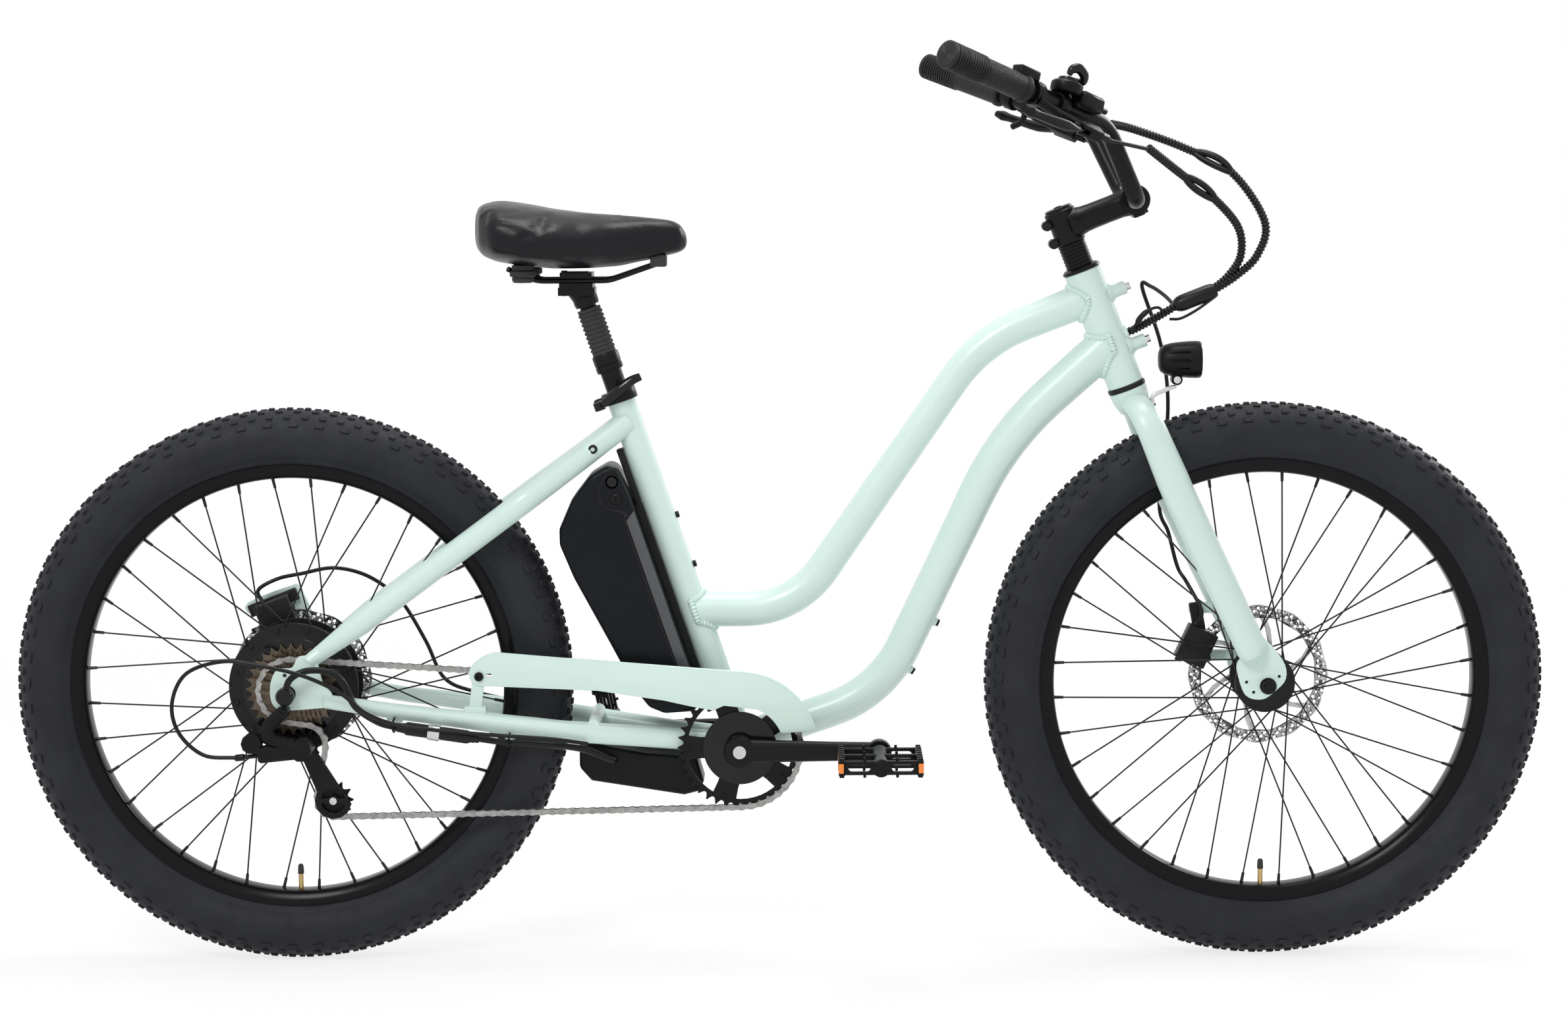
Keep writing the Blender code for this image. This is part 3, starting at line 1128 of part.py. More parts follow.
def make_pedal(name, side, lean):
    """A platform pedal: its axle, core and open cage with reflector bars, at a lean."""
    eye = near(BB, -side * CRANK_LENGTH, side * (-CHAIN_LINE + 0.016 + 0.027), 0.0)
    start = eye - SIDE * (side * 0.014)
    turn = math.radians(lean)
    along = Vector((math.cos(turn), 0.0, math.sin(turn)))
    up = Vector((-math.sin(turn), 0.0, math.cos(turn)))
    inner = eye + SIDE * (side * 0.006)
    middle = inner + SIDE * (side * PEDAL_WIDTH / 2.0)
    spindle = rod(start, inner + SIDE * (side * 0.010), 0.0070, 12)
    core = rod(inner, inner + SIDE * (side * PEDAL_WIDTH), 0.0115, 10)
    shapes = [core, spindle]
    for share in (-1.0, 1.0):
        shapes.append(block(middle + along * (share * (PEDAL_LENGTH / 2.0 - 0.006)),
                            (0.012, PEDAL_WIDTH, PEDAL_HEIGHT), along, up))
    for place in (0.006, PEDAL_WIDTH / 2.0, PEDAL_WIDTH - 0.006):
        size = (PEDAL_LENGTH - 0.008, 0.009, PEDAL_HEIGHT * 0.72)
        shapes.append(block(inner + SIDE * (side * place), size, along, up))
    piece(name, fused(*shapes), eye, BLACK, 0.0, 0.6)


def make_pulley(name, centre, tip):
    """A derailleur pulley: a toothed disc with a bore for its bolt."""
    half = 0.0010
    body = prism(toothed_outline(centre, PULLEY_TEETH, tip), centre.y - half, centre.y + half)
    bore = rod(centre - SIDE * 0.01, centre + SIDE * 0.01, bore_radius(PULLEY_BOLT, 8), 8)
    piece(name, cut(body, bore), centre, BLACK, 0.0, 0.6)


def cage_plate(low, high, slim):
    """One plate of the derailleur's cage: a pointed oval that holds both pulleys."""
    upper, lower = guide_centre(), tension_centre()
    top = outline_arc((upper.x, upper.z), 0.0125 * slim, -20.0, 160.0, 5)
    bottom = outline_arc((lower.x, lower.z), 0.0235 * slim, 150.0, 350.0, 7)
    return prism(top + bottom, low, high)


def make_derailleur():
    """The derailleur: body with its hanger bolt, and the cage with two plates and bolts."""
    upper, lower = guide_centre(), tension_centre()
    outer = CHAIN_LINE - 0.0068
    inner = CHAIN_LINE + 0.0055
    shapes = [cage_plate(outer - 0.0018, outer, 1.0), cage_plate(inner, inner + 0.0014, 0.8)]
    for centre in (upper, lower):
        shapes.append(rod(Vector((centre.x, outer - 0.0018, centre.z)), Vector((centre.x, inner + 0.003, centre.z)),
                          PULLEY_BOLT, 8))
    window = outline_arc((lower.x, lower.z), 0.0160, 0.0, 324.0, 9)
    window_cut = cut(prism(window, outer - 0.004, outer + 0.002),
                     rod(Vector((lower.x, outer - 0.01, lower.z)), Vector((lower.x, outer + 0.01, lower.z)), 0.0070, 10),
                     block(near(lower, 0.0, outer - lower.y, 0.0), (0.05, 0.02, 0.006)))
    piece("derailleur_cage", cut(fused(*shapes), window_cut), upper, STEEL, 0.9, 0.35)
    plate = outer - 0.0018 - CLEAR
    hanger = near(REAR, -0.0048, -(REAR_AXLE_WIDTH / 2.0 + DROPOUT_THICKNESS), -0.0215)
    bolt = rod(hanger - SIDE * CLEAR, hanger - SIDE * 0.020, 0.0085, 10)
    arm = rounded([near(hanger, 0.0, -0.0150, 0.0), near(hanger, -0.030, -0.0200, -0.0270),
                   Vector((upper.x - 0.012, -0.0850, upper.z + 0.004))], [0.012])
    box = block(Vector((REAR.x - 0.006, -0.0850, REAR.z - 0.0720)), (0.062, 0.020, 0.020),
                Vector((1.0, 0.0, 0.10)), UP, 0.003)
    knuckle = rod(Vector((upper.x, plate, upper.z)), Vector((upper.x, -0.0950, upper.z)), 0.0140, 10)
    drum = rod(Vector((REAR.x - 0.044, -0.0940, REAR.z - 0.0600)), Vector((REAR.x - 0.044, -0.0760, REAR.z - 0.0600)),
               0.0130, 10)
    piece("derailleur_body", fused(bolt, tube(arm, 0.0090, 8), box, knuckle, drum), hanger, BLACK, 0.4, 0.4)
    make_pulley("guide_pulley", upper, pitch_radius(PULLEY_TEETH) - 0.0015)
    make_pulley("tension_pulley", lower, pitch_radius(PULLEY_TEETH) + TOOTH_HEIGHT - CLEAR)


def make_chain_guard():
    """The guard over the chain: a curved strip with a rim, its rear bolt boss and its post."""
    low = -STAY_OFFSET - 0.0020
    top = [(0.2272, 0.0205), (0.2425, 0.0413), (0.2592, 0.0471), (0.3420, 0.0416), (0.4000, 0.0371),
           (0.5159, 0.0272), (0.5748, 0.0226)]
    ring = (BB.x - REAR.x, BB.z - REAR.z)
    curve = outline_arc(ring, 0.0980, 82.0, 14.0, 8)
    under = outline_arc(ring, 0.0560, 22.0, 68.0, 5)
    bottom = [(0.5480, -0.0190), (0.5345, -0.0250), (0.4732, -0.0121), (0.3887, 0.0010), (0.2311, 0.0078)]
    outline = [(REAR.x + x, REAR.z + z) for x, z in top + curve + under + bottom]
    skin = prism(outline, low - 0.0030, low)
    bolt = rod(near(REAR, 0.2500, low + 0.001, 0.0245), near(REAR, 0.2500, low - 0.0065, 0.0245), 0.0065, 14)
    slot = block(near(REAR, 0.2660, low, 0.0260), (0.014, 0.02, 0.0045), Vector((1.0, 0.0, -0.1)))
    post_top = near(REAR, 0.2500, low + 0.0005, 0.0140)
    post = tube([post_top, near(REAR, 0.2515, low + 0.0005, -0.0177)], 0.0050, 8, 0.6)
    piece("chain_guard", cut(fused(skin, bolt, post), slot), near(REAR, 0.25, low, 0.02), FRAME_COLOUR, 0.0, 0.42)


def seatpost_top():
    """How far up the seat tube's axis the fixed part of the post ends."""
    return SEAT_TUBE_LENGTH + SEATPOST_EXPOSED + BELLOWS_LENGTH * 0.45


def make_seat_collar():
    """The collar that pinches the seat tube's top, with its bolt, and its cam lever."""
    foot = SEAT_TUBE_LENGTH - 0.020
    level = foot + 0.0110
    lug_back = SEAT_TUBE_RADIUS + 0.0094
    half = 0.0090
    ring = pipe(at_seat(0.0, 0.0, foot), at_seat(0.0, 0.0, SEAT_TUBE_LENGTH + 0.002), SEAT_TUBE_RADIUS + 0.004,
                bore_radius(SEAT_TUBE_RADIUS, 14), 14)
    lug = block(at_seat(lug_back, 0.0, level), (0.014, 2.0 * half, 0.014), SEAT_BACK, SEAT_UP)
    slit = block(at_seat(lug_back - 0.001, 0.0, level), (0.022, 0.0018, 0.040), SEAT_BACK, SEAT_UP)
    bolt = rod(at_seat(lug_back, -half + 0.001, level), at_seat(lug_back, half + 0.001, level), 0.0030, 8)
    nut = rod(at_seat(lug_back, half - 0.001, level), at_seat(lug_back, half + 0.005, level), 0.0060, 10)
    piece("seat_collar", fused(cut(fused(ring, lug), slit), bolt, nut), at_seat(0.0, 0.0, foot), BLACK, 0.4, 0.4)
    pivot = at_seat(lug_back, -half - CLEAR - CAM_RADIUS, level)
    cam = rod(pivot - SEAT_UP * 0.0065, pivot + SEAT_UP * 0.0065, CAM_RADIUS, 12)
    path = smooth_path([pivot, pivot - SEAT_BACK * 0.010 - SIDE * 0.0100 + SEAT_UP * 0.004,
                        pivot - SEAT_BACK * 0.028 - SIDE * 0.0140 + SEAT_UP * 0.013,
                        pivot - SEAT_BACK * 0.059 - SIDE * 0.0120 + SEAT_UP * 0.022], 2)
    piece("seat_collar_lever", fused(cam, tube(path, 0.0045, 6, 1.3)), pivot, STEEL, 0.9, 0.25)


def make_seatpost():
    """The lower post, a tube closed at its foot, with a knurled cap where the head slides in."""
    foot = SEAT_TUBE_LENGTH - SEATPOST_INSERT
    top = SEAT_TUBE_LENGTH + SEATPOST_EXPOSED
    cap = top - POST_CAP_HEIGHT
    bore = SLIDER_RADIUS + CLEAR
    profile = [(0.0, foot), (SEATPOST_RADIUS, foot), (SEATPOST_RADIUS, cap), (POST_CAP_RADIUS - 0.0007, cap),
               (POST_CAP_RADIUS, cap + 0.0030), (POST_CAP_RADIUS, top - 0.0030), (POST_CAP_RADIUS - 0.0007, top),
               (bore, top), (bore, foot + 0.008), (0.0, foot + 0.008)]
    piece("seatpost", lathe(profile, BB, SEAT_UP, 12), at_seat(0.0, 0.0, foot), BLACK, 0.6, 0.3)


def make_seatpost_head():
    """The sliding upper post with the clamp that grips the saddle's rails."""
    foot = SEAT_TUBE_LENGTH - 0.060
    under = SEAT_TUBE_LENGTH + SEATPOST_EXPOSED + BELLOWS_LENGTH + 0.004
    stem = lathe([(0.0, foot), (SLIDER_RADIUS, foot), (SLIDER_RADIUS, under), (0.0150, under), (0.0160, under + 0.004),
                  (0.0160, under + 0.012), (0.0, under + 0.012)], BB, SEAT_UP, 12)
    seat = rail_middle()
    base = block(near(seat, -0.0020, 0.0, -0.0140), (0.046, 0.040, 0.010), ALONG, UP)
    neck = tube([at_seat(0.0, 0.0, under + 0.006), near(seat, -0.002, 0.0, -0.0120)], 0.0140, 10)
    upper = block(near(seat, -0.0020, 0.0, 0.0065), (0.040, 0.052, 0.007), ALONG, UP)
    lower = block(near(seat, -0.0020, 0.0, -0.0065), (0.042, 0.052, 0.007), ALONG, UP)
    bolt = rod(near(seat, -0.018, 0.0, -0.020), near(seat, -0.018, 0.0, 0.012), 0.0040, 10)
    column = block(near(seat, -0.002, 0.0, 0.0), (0.030, 0.020, 0.022), ALONG, UP)
    head = fused(stem, neck, base, upper, lower, bolt, column)
    channels = []
    for side in (RIGHT, LEFT):
        offset = side * RAIL_OFFSET
        channels.append(rod(near(seat, -0.06, offset, 0.0), near(seat, 0.06, offset, 0.0), RAIL_RADIUS + CLEAR, 10))
    piece("seatpost_head", cut(head, *channels), at_seat(0.0, 0.0, under), BLACK, 0.5, 0.35)


def rail_middle():
    """The middle of the rails where the post's clamp grips them."""
    under = SEAT_TUBE_LENGTH + SEATPOST_EXPOSED + BELLOWS_LENGTH
    return at_seat(0.0, 0.0, under + 0.0380)


def make_bellows():
    """The rubber bellows round the sliding post: a straight ring at each end, ribs between."""
    foot = SEAT_TUBE_LENGTH + SEATPOST_EXPOSED + CLEAR
    length = BELLOWS_LENGTH
    cuff = 0.004
    pitch = (length - 2.0 * cuff) / BELLOWS_RIBS
    profile = [(BELLOWS_ROOT - 0.0007, foot), (BELLOWS_RADIUS * 0.93, foot), (BELLOWS_RADIUS * 0.93, foot + cuff)]
    for rib in range(BELLOWS_RIBS):
        place = foot + cuff + rib * pitch
        profile.append((BELLOWS_ROOT + 0.0006, place + pitch * 0.05))
        profile.append((BELLOWS_RADIUS, place + pitch * 0.5))
    profile += [(BELLOWS_ROOT + 0.0006, foot + length - cuff), (BELLOWS_RADIUS * 0.93, foot + length - cuff),
                (BELLOWS_RADIUS * 0.93, foot + length), (BELLOWS_ROOT - 0.0007, foot + length)]
    piece("seatpost_bellows", lathe(profile, BB, SEAT_UP, 10, closed=True), at_seat(0.0, 0.0, foot), BLACK, 0.0, 0.7)


def make_saddle():
    """The saddle cushion: a lofted form with a crown, a drawn-in skirt and a narrow nose."""
    seat = rail_middle()
    stations = 15
    sides = 16
    vertices = []
    for station in range(stations):
        share = station / (stations - 1)
        x = SADDLE_BACK + SADDLE_LENGTH * share
        half, top, foot, round_off = saddle_section(share)
        for side in range(sides):
            angle = 2.0 * math.pi * (side + 0.5) / sides
            across = math.copysign(abs(math.cos(angle)) ** 0.75, math.cos(angle))
            rise = math.sin(angle)
            if rise >= 0.0:
                height = (top - foot) * 0.45 + (top - foot) * 0.55 * rise ** 0.7
                width = half * across
            else:
                height = (top - foot) * 0.45 * (1.0 - (-rise) ** 0.6)
                width = half * across * (1.0 - 0.10 * (-rise))
            dip = 0.0035 * math.exp(-(width / 0.012) ** 2) * (1.0 if rise > 0.0 else 0.0) * round_off
            vertices.append(near(seat, x, width, foot + height - dip))
    faces = []
    for ring in range(stations - 1):
        for side in range(sides):
            following = (side + 1) % sides
            faces.append((ring * sides + side, ring * sides + following,
                          (ring + 1) * sides + following, (ring + 1) * sides + side))
    faces.append(tuple(reversed(range(sides))))
    faces.append(tuple(range((stations - 1) * sides, stations * sides)))
    piece("saddle", mesh_of(vertices, faces), seat, BLACK, 0.0, 0.6)


def saddle_section(share):
    """Half width, top, underside and crown of the saddle at a share of its length."""
    stops = ((0.0, 0.050, 0.092, 0.040, 0.0), (0.035, 0.082, 0.098, 0.030, 0.2), (0.10, 0.103, 0.0985, 0.0240, 0.6),
             (0.22, 0.110, 0.0915, 0.0185, 1.0), (0.38, 0.104, 0.0840, 0.0150, 1.0), (0.52, 0.076, 0.0800, 0.0150, 1.0),
             (0.66, 0.046, 0.0790, 0.0170, 1.0), (0.80, 0.031, 0.0790, 0.0240, 0.8), (0.92, 0.025, 0.0760, 0.0310, 0.3),
             (0.98, 0.018, 0.0680, 0.0350, 0.0), (1.0, 0.008, 0.0560, 0.0400, 0.0))
    for low, high in zip(stops, stops[1:]):
        if share <= high[0]:
            mix = (share - low[0]) / (high[0] - low[0])
            return [a + (b - a) * mix for a, b in zip(low[1:], high[1:])]
    return list(stops[-1][1:])


def make_saddle_rails():
    """The saddle's two rails, joined at the nose, with the rubber bumpers at the back."""
    seat = rail_middle()
    shapes = []
    for side in (RIGHT, LEFT):
        path = rounded([near(seat, -0.085, side * 0.045, 0.0160), near(seat, -0.052, side * RAIL_OFFSET, 0.0),
                        near(seat, 0.040, side * RAIL_OFFSET, 0.0), near(seat, 0.100, side * 0.010, 0.0205)],
                       [0.03, 0.04])
        shapes.append(tube(path, RAIL_RADIUS, 6))
        bumper = [(0.0, 0.0), (0.013, 0.0), (0.0165, 0.006), (0.0165, 0.0147), (0.012, 0.0197), (0.0, 0.0197)]
        shapes.append(lathe(bumper, near(seat, -0.066, side * 0.048, -0.0010), UP, 10))
    shapes.append(block(near(seat, 0.101, 0.0, 0.0205), (0.020, 0.034, 0.008), ALONG, UP))
    piece("saddle_rails", fused(*shapes), seat, BLACK, 0.5, 0.4)


def battery_outline():
    """The battery's side outline, behind the seat tube, as places back from and up its axis."""
    face = SEAT_TUBE_RADIUS + BATTERY_GAP
    return [(face, 0.072), (face, 0.352), (face + 0.004, 0.382), (face + 0.012, 0.392), (face + 0.040, 0.386),
            (face + 0.070, 0.366), (face + 0.098, 0.335), (face + 0.104, 0.316), (face + 0.101, 0.270),
            (face + 0.086, 0.180), (face + 0.075, 0.110), (face + 0.066, 0.084), (face + 0.050, 0.070),
            (face + 0.012, 0.060)]


def seat_prism(outline, half):
    """An outline of places back from and up the seat tube's axis, drawn out to both sides."""
    points = [at_seat(back, 0.0, up) for back, up in outline]
    return prism([(point.x, point.z) for point in points], -half, half)


def bevelled(mesh, width, segments=1, angle=40.0):
    """The mesh with its sharper edges cut by a bevel."""
    shape = bmesh.new()
    shape.from_mesh(mesh)
    edges = [edge for edge in shape.edges if edge.calc_face_angle(0.0) > math.radians(angle)]
    bmesh.ops.bevel(shape, geom=edges, offset=width, segments=segments, affect="EDGES", clamp_overlap=True)
    return finished(shape, mesh)


def make_battery():
    """The battery's case behind the seat tube, with the rail that it slides on."""
    case = bevelled(seat_prism(battery_outline(), BATTERY_HALF_WIDTH), 0.007)
    groove = block(at_seat(SEAT_TUBE_RADIUS + BATTERY_GAP + 0.002, 0.0, 0.19), (0.012, 0.0206, 0.30),
                   SEAT_BACK, SEAT_UP)
    holes = [rod(near(switch_place(), 0.0, -0.02, 0.0), near(switch_place(), 0.0, 0.0105, 0.0), 0.0083, 16),
             rod(near(lock_place(), 0.0, -0.02, 0.0), near(lock_place(), 0.0, 0.0105, 0.0), 0.0078, 16)]
    piece("battery", cut(case, groove, *holes), at_seat(0.0, 0.0, 0.2), BLACK, 0.0, 0.5)
    rail = block(at_seat(SEAT_TUBE_RADIUS + 0.0046, 0.0, 0.19), (0.0083, 0.019, 0.28), SEAT_BACK, SEAT_UP, 0.001)
    piece("battery_dock", rail, at_seat(SEAT_TUBE_RADIUS, 0.0, 0.19), GREY, 0.7, 0.4)
    rocker = lathe([(0.0, 0.0), (0.0066, 0.0), (0.0077, 0.0035), (0.0077, 0.0050), (0.0060, 0.0082), (0.0, 0.0082)],
                   near(switch_place(), 0.0, 0.0080, 0.0), -SIDE, 12)
    piece("power_switch", rocker, near(switch_place(), 0.0, 0.004, 0.0), BLACK, 0.0, 0.4)
    barrel = lathe([(0.0, 0.0), (0.0075, 0.0), (0.0075, 0.0105), (0.0060, 0.0115), (0.0, 0.0115)],
                   near(lock_place(), 0.0, 0.0100, 0.0), -SIDE, 16)
    slot = block(near(lock_place(), 0.0, -0.0015, 0.0), (0.0014, 0.006, 0.0070))
    piece("battery_lock", cut(barrel, slot), near(lock_place(), 0.0, 0.005, 0.0), STEEL, 0.9, 0.3)


def switch_place():
    """The middle of the power switch on the battery's drive side."""
    return at_seat(SEAT_TUBE_RADIUS + BATTERY_GAP + 0.0150, -BATTERY_HALF_WIDTH, 0.3700)


def lock_place():
    """The middle of the battery's lock, below the switch."""
    return at_seat(SEAT_TUBE_RADIUS + BATTERY_GAP + 0.0170, -BATTERY_HALF_WIDTH, 0.3480)


def make_controller():
    """The controller's finned box under the bottom bracket, hung from the chain stays."""
    outline = [(-0.2050, 0.0050), (-0.2050, -0.0300), (-0.1900, -0.0470), (-0.1050, -0.0610), (-0.0720, -0.0660),
               (-0.0516, -0.0609), (-0.0470, -0.0480), (-0.0560, -0.0170), (-0.1200, -0.0120)]
    case = bevelled(prism([(BB.x + x, BB.z + z) for x, z in outline], -0.026, 0.026), 0.003)
    tongue = block(near(BB, -0.0460, 0.0, -0.0150), (0.0600, 0.022, 0.0050))
    piece("controller_box", fused(case, tongue), near(BB, -0.12, 0.0, -0.03), BLACK, 0.2, 0.5)


def cable(points, parts, radius, sides=5):
    """A cable through hand-picked points."""
    return tube(smooth_path(points, parts), radius, sides)


def make_cables():
    """The cables that the frame and the fork hold all the way."""
    rear_axle_end = near(REAR, 0.0, -REAR_AXLE_WIDTH / 2.0 - DROPOUT_THICKNESS - 0.0145, 0.0)
    cap = lathe([(0.0, 0.0), (0.0115, 0.0), (0.0115, 0.010), (0.0, 0.014)], rear_axle_end, -SIDE, 10)
    route = [near(rear_axle_end, 0.0, -0.006, 0.004), near(REAR, 0.0075, -0.096, 0.0222),
             near(REAR, 0.0275, -0.092, 0.0321), near(REAR, 0.0555, -0.086, 0.0294),
             near(REAR, 0.0720, -0.0840, 0.0150), near(REAR, 0.0864, -0.0840, -0.0147),
             near(REAR, 0.1141, -0.0820, -0.0350), near(REAR, 0.1400, -0.0830, -0.0420)]
    lead = cable(route, 2, 0.0042)
    plug_start = near(REAR, 0.1370, -0.0840, -0.0410)
    plug_end = near(REAR, 0.2410, -0.0855, -0.0560)
    plug = lathe([(0.0, 0.0), (0.0065, 0.0), (0.0085, 0.008), (0.0085, 0.040), (0.0100, 0.041), (0.0100, 0.056),
                  (0.0085, 0.057), (0.0085, 0.092), (0.0060, 0.105), (0.0, 0.105)],
                 plug_start, plug_end - plug_start, 8)
    tail = cable([near(REAR, 0.2390, -0.0855, -0.0558), near(REAR, 0.2789, -0.0850, -0.0616),
                  near(REAR, 0.3300, -0.0810, -0.0655), near(REAR, 0.3700, -0.0560, -0.0760),
                  near(REAR, 0.4040, -0.0400, -0.0930), near(REAR, 0.4040, -0.0290, -0.0930)], 2, 0.0042)
    piece("motor_cable", fused(cap, lead, plug, tail), rear_axle_end, BLACK, 0.0, 0.5)
    derailleur = cable([near(REAR, 0.1000, -0.0985, -0.0200), near(REAR, 0.0700, -0.1030, 0.0060),
                        near(REAR, 0.0250, -0.1100, 0.0290), near(REAR, -0.0263, -0.1120, 0.0419),
                        near(REAR, -0.0741, -0.1080, 0.0472), near(REAR, -0.1216, -0.1000, 0.0308),
                        near(REAR, -0.1417, -0.0930, -0.0075), near(REAR, -0.1353, -0.0880, -0.0461),
                        near(REAR, -0.1055, -0.0860, -0.0748), near(REAR, -0.0640, -0.0850, -0.0790)], 2, CABLE_RADIUS)
    front_part = cable([near(REAR, 0.1000, -0.0985, -0.0200), near(REAR, 0.1350, -0.0950, -0.0350),
                        near(REAR, 0.1800, -0.0960, -0.0420), near(REAR, 0.2600, -0.0950, -0.0500),
                        near(REAR, 0.3300, -0.0905, -0.0560), near(REAR, 0.3760, -0.0720, -0.0660)], 2, CABLE_RADIUS)
    piece("derailleur_cable", fused(derailleur, front_part), near(REAR, 0.1, -0.0985, -0.02), BLACK, 0.0, 0.5)
    rear_brake = cable([near(REAR, -0.0481, 0.0500, 0.0980), near(REAR, -0.0545, 0.0500, 0.1150),
                        near(REAR, -0.0300, 0.0540, 0.1290), near(REAR, 0.0005, 0.0640, 0.1345),
                        near(REAR, 0.0391, 0.0760, 0.1400), near(REAR, 0.0773, 0.0860, 0.1300),
                        near(REAR, 0.1110, 0.0920, 0.1075), near(REAR, 0.1311, 0.0910, 0.0850),
                        near(REAR, 0.1567, 0.0890, 0.0400), near(REAR, 0.1798, 0.0850, -0.0070),
                        near(REAR, 0.2200, 0.0830, -0.0250), near(REAR, 0.2800, 0.0815, -0.0380),
                        near(REAR, 0.3300, 0.0800, -0.0450)], 2, CABLE_RADIUS)
    piece("rear_brake_cable", rear_brake, near(REAR, 0.0, 0.08, 0.14), BLACK, 0.0, 0.5)
    front_brake = cable([at_head(0.070, 0.0860, 0.100), at_head(0.066, 0.0890, 0.020), at_head(0.045, 0.0900, -0.060),
                         near(FRONT, -0.1228, 0.0870, 0.2186), near(FRONT, -0.1107, 0.0860, 0.1783),
                         near(FRONT, -0.1000, 0.0760, 0.1353), near(FRONT, -0.0900, 0.0560, 0.1170),
                         near(FRONT, -0.0730, 0.0365, 0.0823), near(FRONT, -0.0804, 0.0360, 0.0642)], 2,
                        CABLE_RADIUS)
    piece("front_brake_cable", front_brake, at_head(0.07, 0.086, 0.10), BLACK, 0.0, 0.5)


def loom(points, radius):
    """A spiral-wrapped loom: ribs by turns of two radii, with straight ends."""
    path = smooth_path(points, 8)
    length = sum((b - a).length for a, b in zip(path, path[1:]))
    ribs = round(length / LOOM_RIB_PITCH)
    path = resampled(path, 2 * ribs)
    radii = [radius * (1.0 if index % 2 else 0.80) for index in range(len(path))]
    for index in (0, 1, -2, -1):
        radii[index] = radius * 0.80
    return tube(path, radii, 8)


def make_looms():
    """The two wrapped looms from the controls, joined at the barrel before the head tube."""
    left = loom([near(bar_centre(), -0.0180, 0.1140, 0.0950), near(bar_centre(), 0.0100, 0.0800, 0.0870),
                 near(bar_centre(), 0.0680, 0.0450, 0.0640), near(bar_centre(), 0.1250, 0.0200, 0.0330),
                 near(bar_centre(), 0.1650, 0.0040, -0.0280), near(bar_centre(), 0.1560, 0.0, -0.0700),
                 near(bar_centre(), 0.1300, 0.0, -0.0960), near(bar_centre(), 0.0990, 0.0, -0.1160)], LOOM_RADIUS)
    right = loom([near(bar_centre(), 0.0080, -0.1000, 0.0640), near(bar_centre(), 0.0550, -0.0600, 0.0300),
                  near(bar_centre(), 0.0960, -0.0280, 0.0020), near(bar_centre(), 0.1300, -0.0080, -0.0350),
                  near(bar_centre(), 0.1350, 0.0, -0.0700), near(bar_centre(), 0.1200, 0.0, -0.0960),
                  near(bar_centre(), 0.0970, 0.0, -0.1160)], LOOM_RADIUS)
    leads = []
    for side, ahead, level, rise in ((RIGHT, 0.0110, -0.0975, 0.0620), (LEFT, -0.0155, 0.1110, 0.0940)):
        pivot, back = lever_frame(side)[1:3]
        mouth = pivot + back * (0.044 + 2.0 * CLEAR)
        join = near(bar_centre(), ahead, level, rise)
        leads.append(tube([mouth, mouth + back * 0.010, join], CABLE_RADIUS, 5))
    start = near(bar_centre(), 0.1040, 0.0, -0.1140)
    barrel_end = near(bar_centre(), 0.0520, 0.0, -0.1340)
    barrel = lathe([(0.0, 0.0), (0.0110, 0.0), (0.0130, 0.006), (0.0130, 0.048), (0.0110, 0.055), (0.0, 0.055)],
                   start, barrel_end - start, 10)
    entry = at_head(HEAD_RADIUS + 0.0030 + 2.0 * CLEAR, 0.0, 0.061)
    lead = cable([near(bar_centre(), 0.0560, 0.0, -0.1325), near(bar_centre(), 0.0300, 0.0, -0.1480),
                  entry + HEAD_AHEAD * 0.010, entry], 2, 0.0060, 8)
    piece("control_loom", fused(right, left, barrel, lead, *leads), entry, BLACK, 0.0, 0.6)


def hang_everything():
    """The joints' axes as empties, and each piece on the empty that moves it."""
    root = axis_empty("bicycle", Vector((0.0, 0.0, 0.0)))
    steering = axis_empty("steering_axis", HEAD_FOOT, root, (0.0, math.radians(HEAD_ANGLE - 90.0), 0.0))
    front_wheel = axis_empty("front_wheel_axis", FRONT, steering)
    rear_wheel = axis_empty("rear_wheel_axis", REAR, root)
    freewheel = axis_empty("freewheel_axis", REAR, root)
    crank = axis_empty("crank_axis", BB, root)
    post = axis_empty("seatpost_axis", at_seat(0.0, 0.0, SEAT_TUBE_LENGTH), root,
                      (0.0, math.radians(SEAT_TUBE_ANGLE - 90.0), 0.0))
    head = axis_empty("suspension_axis", at_seat(0.0, 0.0, seatpost_top()), post)
    battery = axis_empty("battery_axis", at_seat(0.0, 0.0, 0.2), root)
    derailleur = axis_empty("derailleur_axis", PIECES["derailleur_body"].location, root)
    cage = axis_empty("cage_axis", guide_centre(), derailleur)
    carry(root, "frame", "bottom_bracket", "headset_lower_cup", "chain_guard", "controller_box", "battery_dock",
          "rear_axle", "rear_caliper", "rear_caliper_arm", "seat_collar", "seat_collar_lever", "chain",
          "motor_cable", "derailleur_cable", "rear_brake_cable", "control_loom")
    carry(steering, "fork", "headset_spacers", "stem", "handlebar", "grip_right", "grip_left",
          "lever_mount_right", "lever_mount_left", "brake_lever_right", "brake_lever_left", "shifter_body",
          "shift_lever", "throttle", "headlight_bracket", "headlight", "front_axle", "front_caliper",
          "front_caliper_arm", "front_brake_cable")
    carry(front_wheel, "front_wheel_rim", "front_tyre", "front_rotor")
    carry(rear_wheel, "rear_hub_motor", "rear_wheel_rim", "rear_tyre", "rear_rotor")
    carry(freewheel, "freewheel")
    carry(crank, "crank_right", "crank_left", "chainring", "pedal_right", "pedal_left")
    carry(post, "seatpost", "seatpost_bellows")
    carry(head, "seatpost_head", "saddle_rails", "saddle")
    carry(battery, "battery", "power_switch", "battery_lock")
    carry(derailleur, "derailleur_body")
    carry(cage, "derailleur_cage", "guide_pulley", "tension_pulley")
    settle_parents()


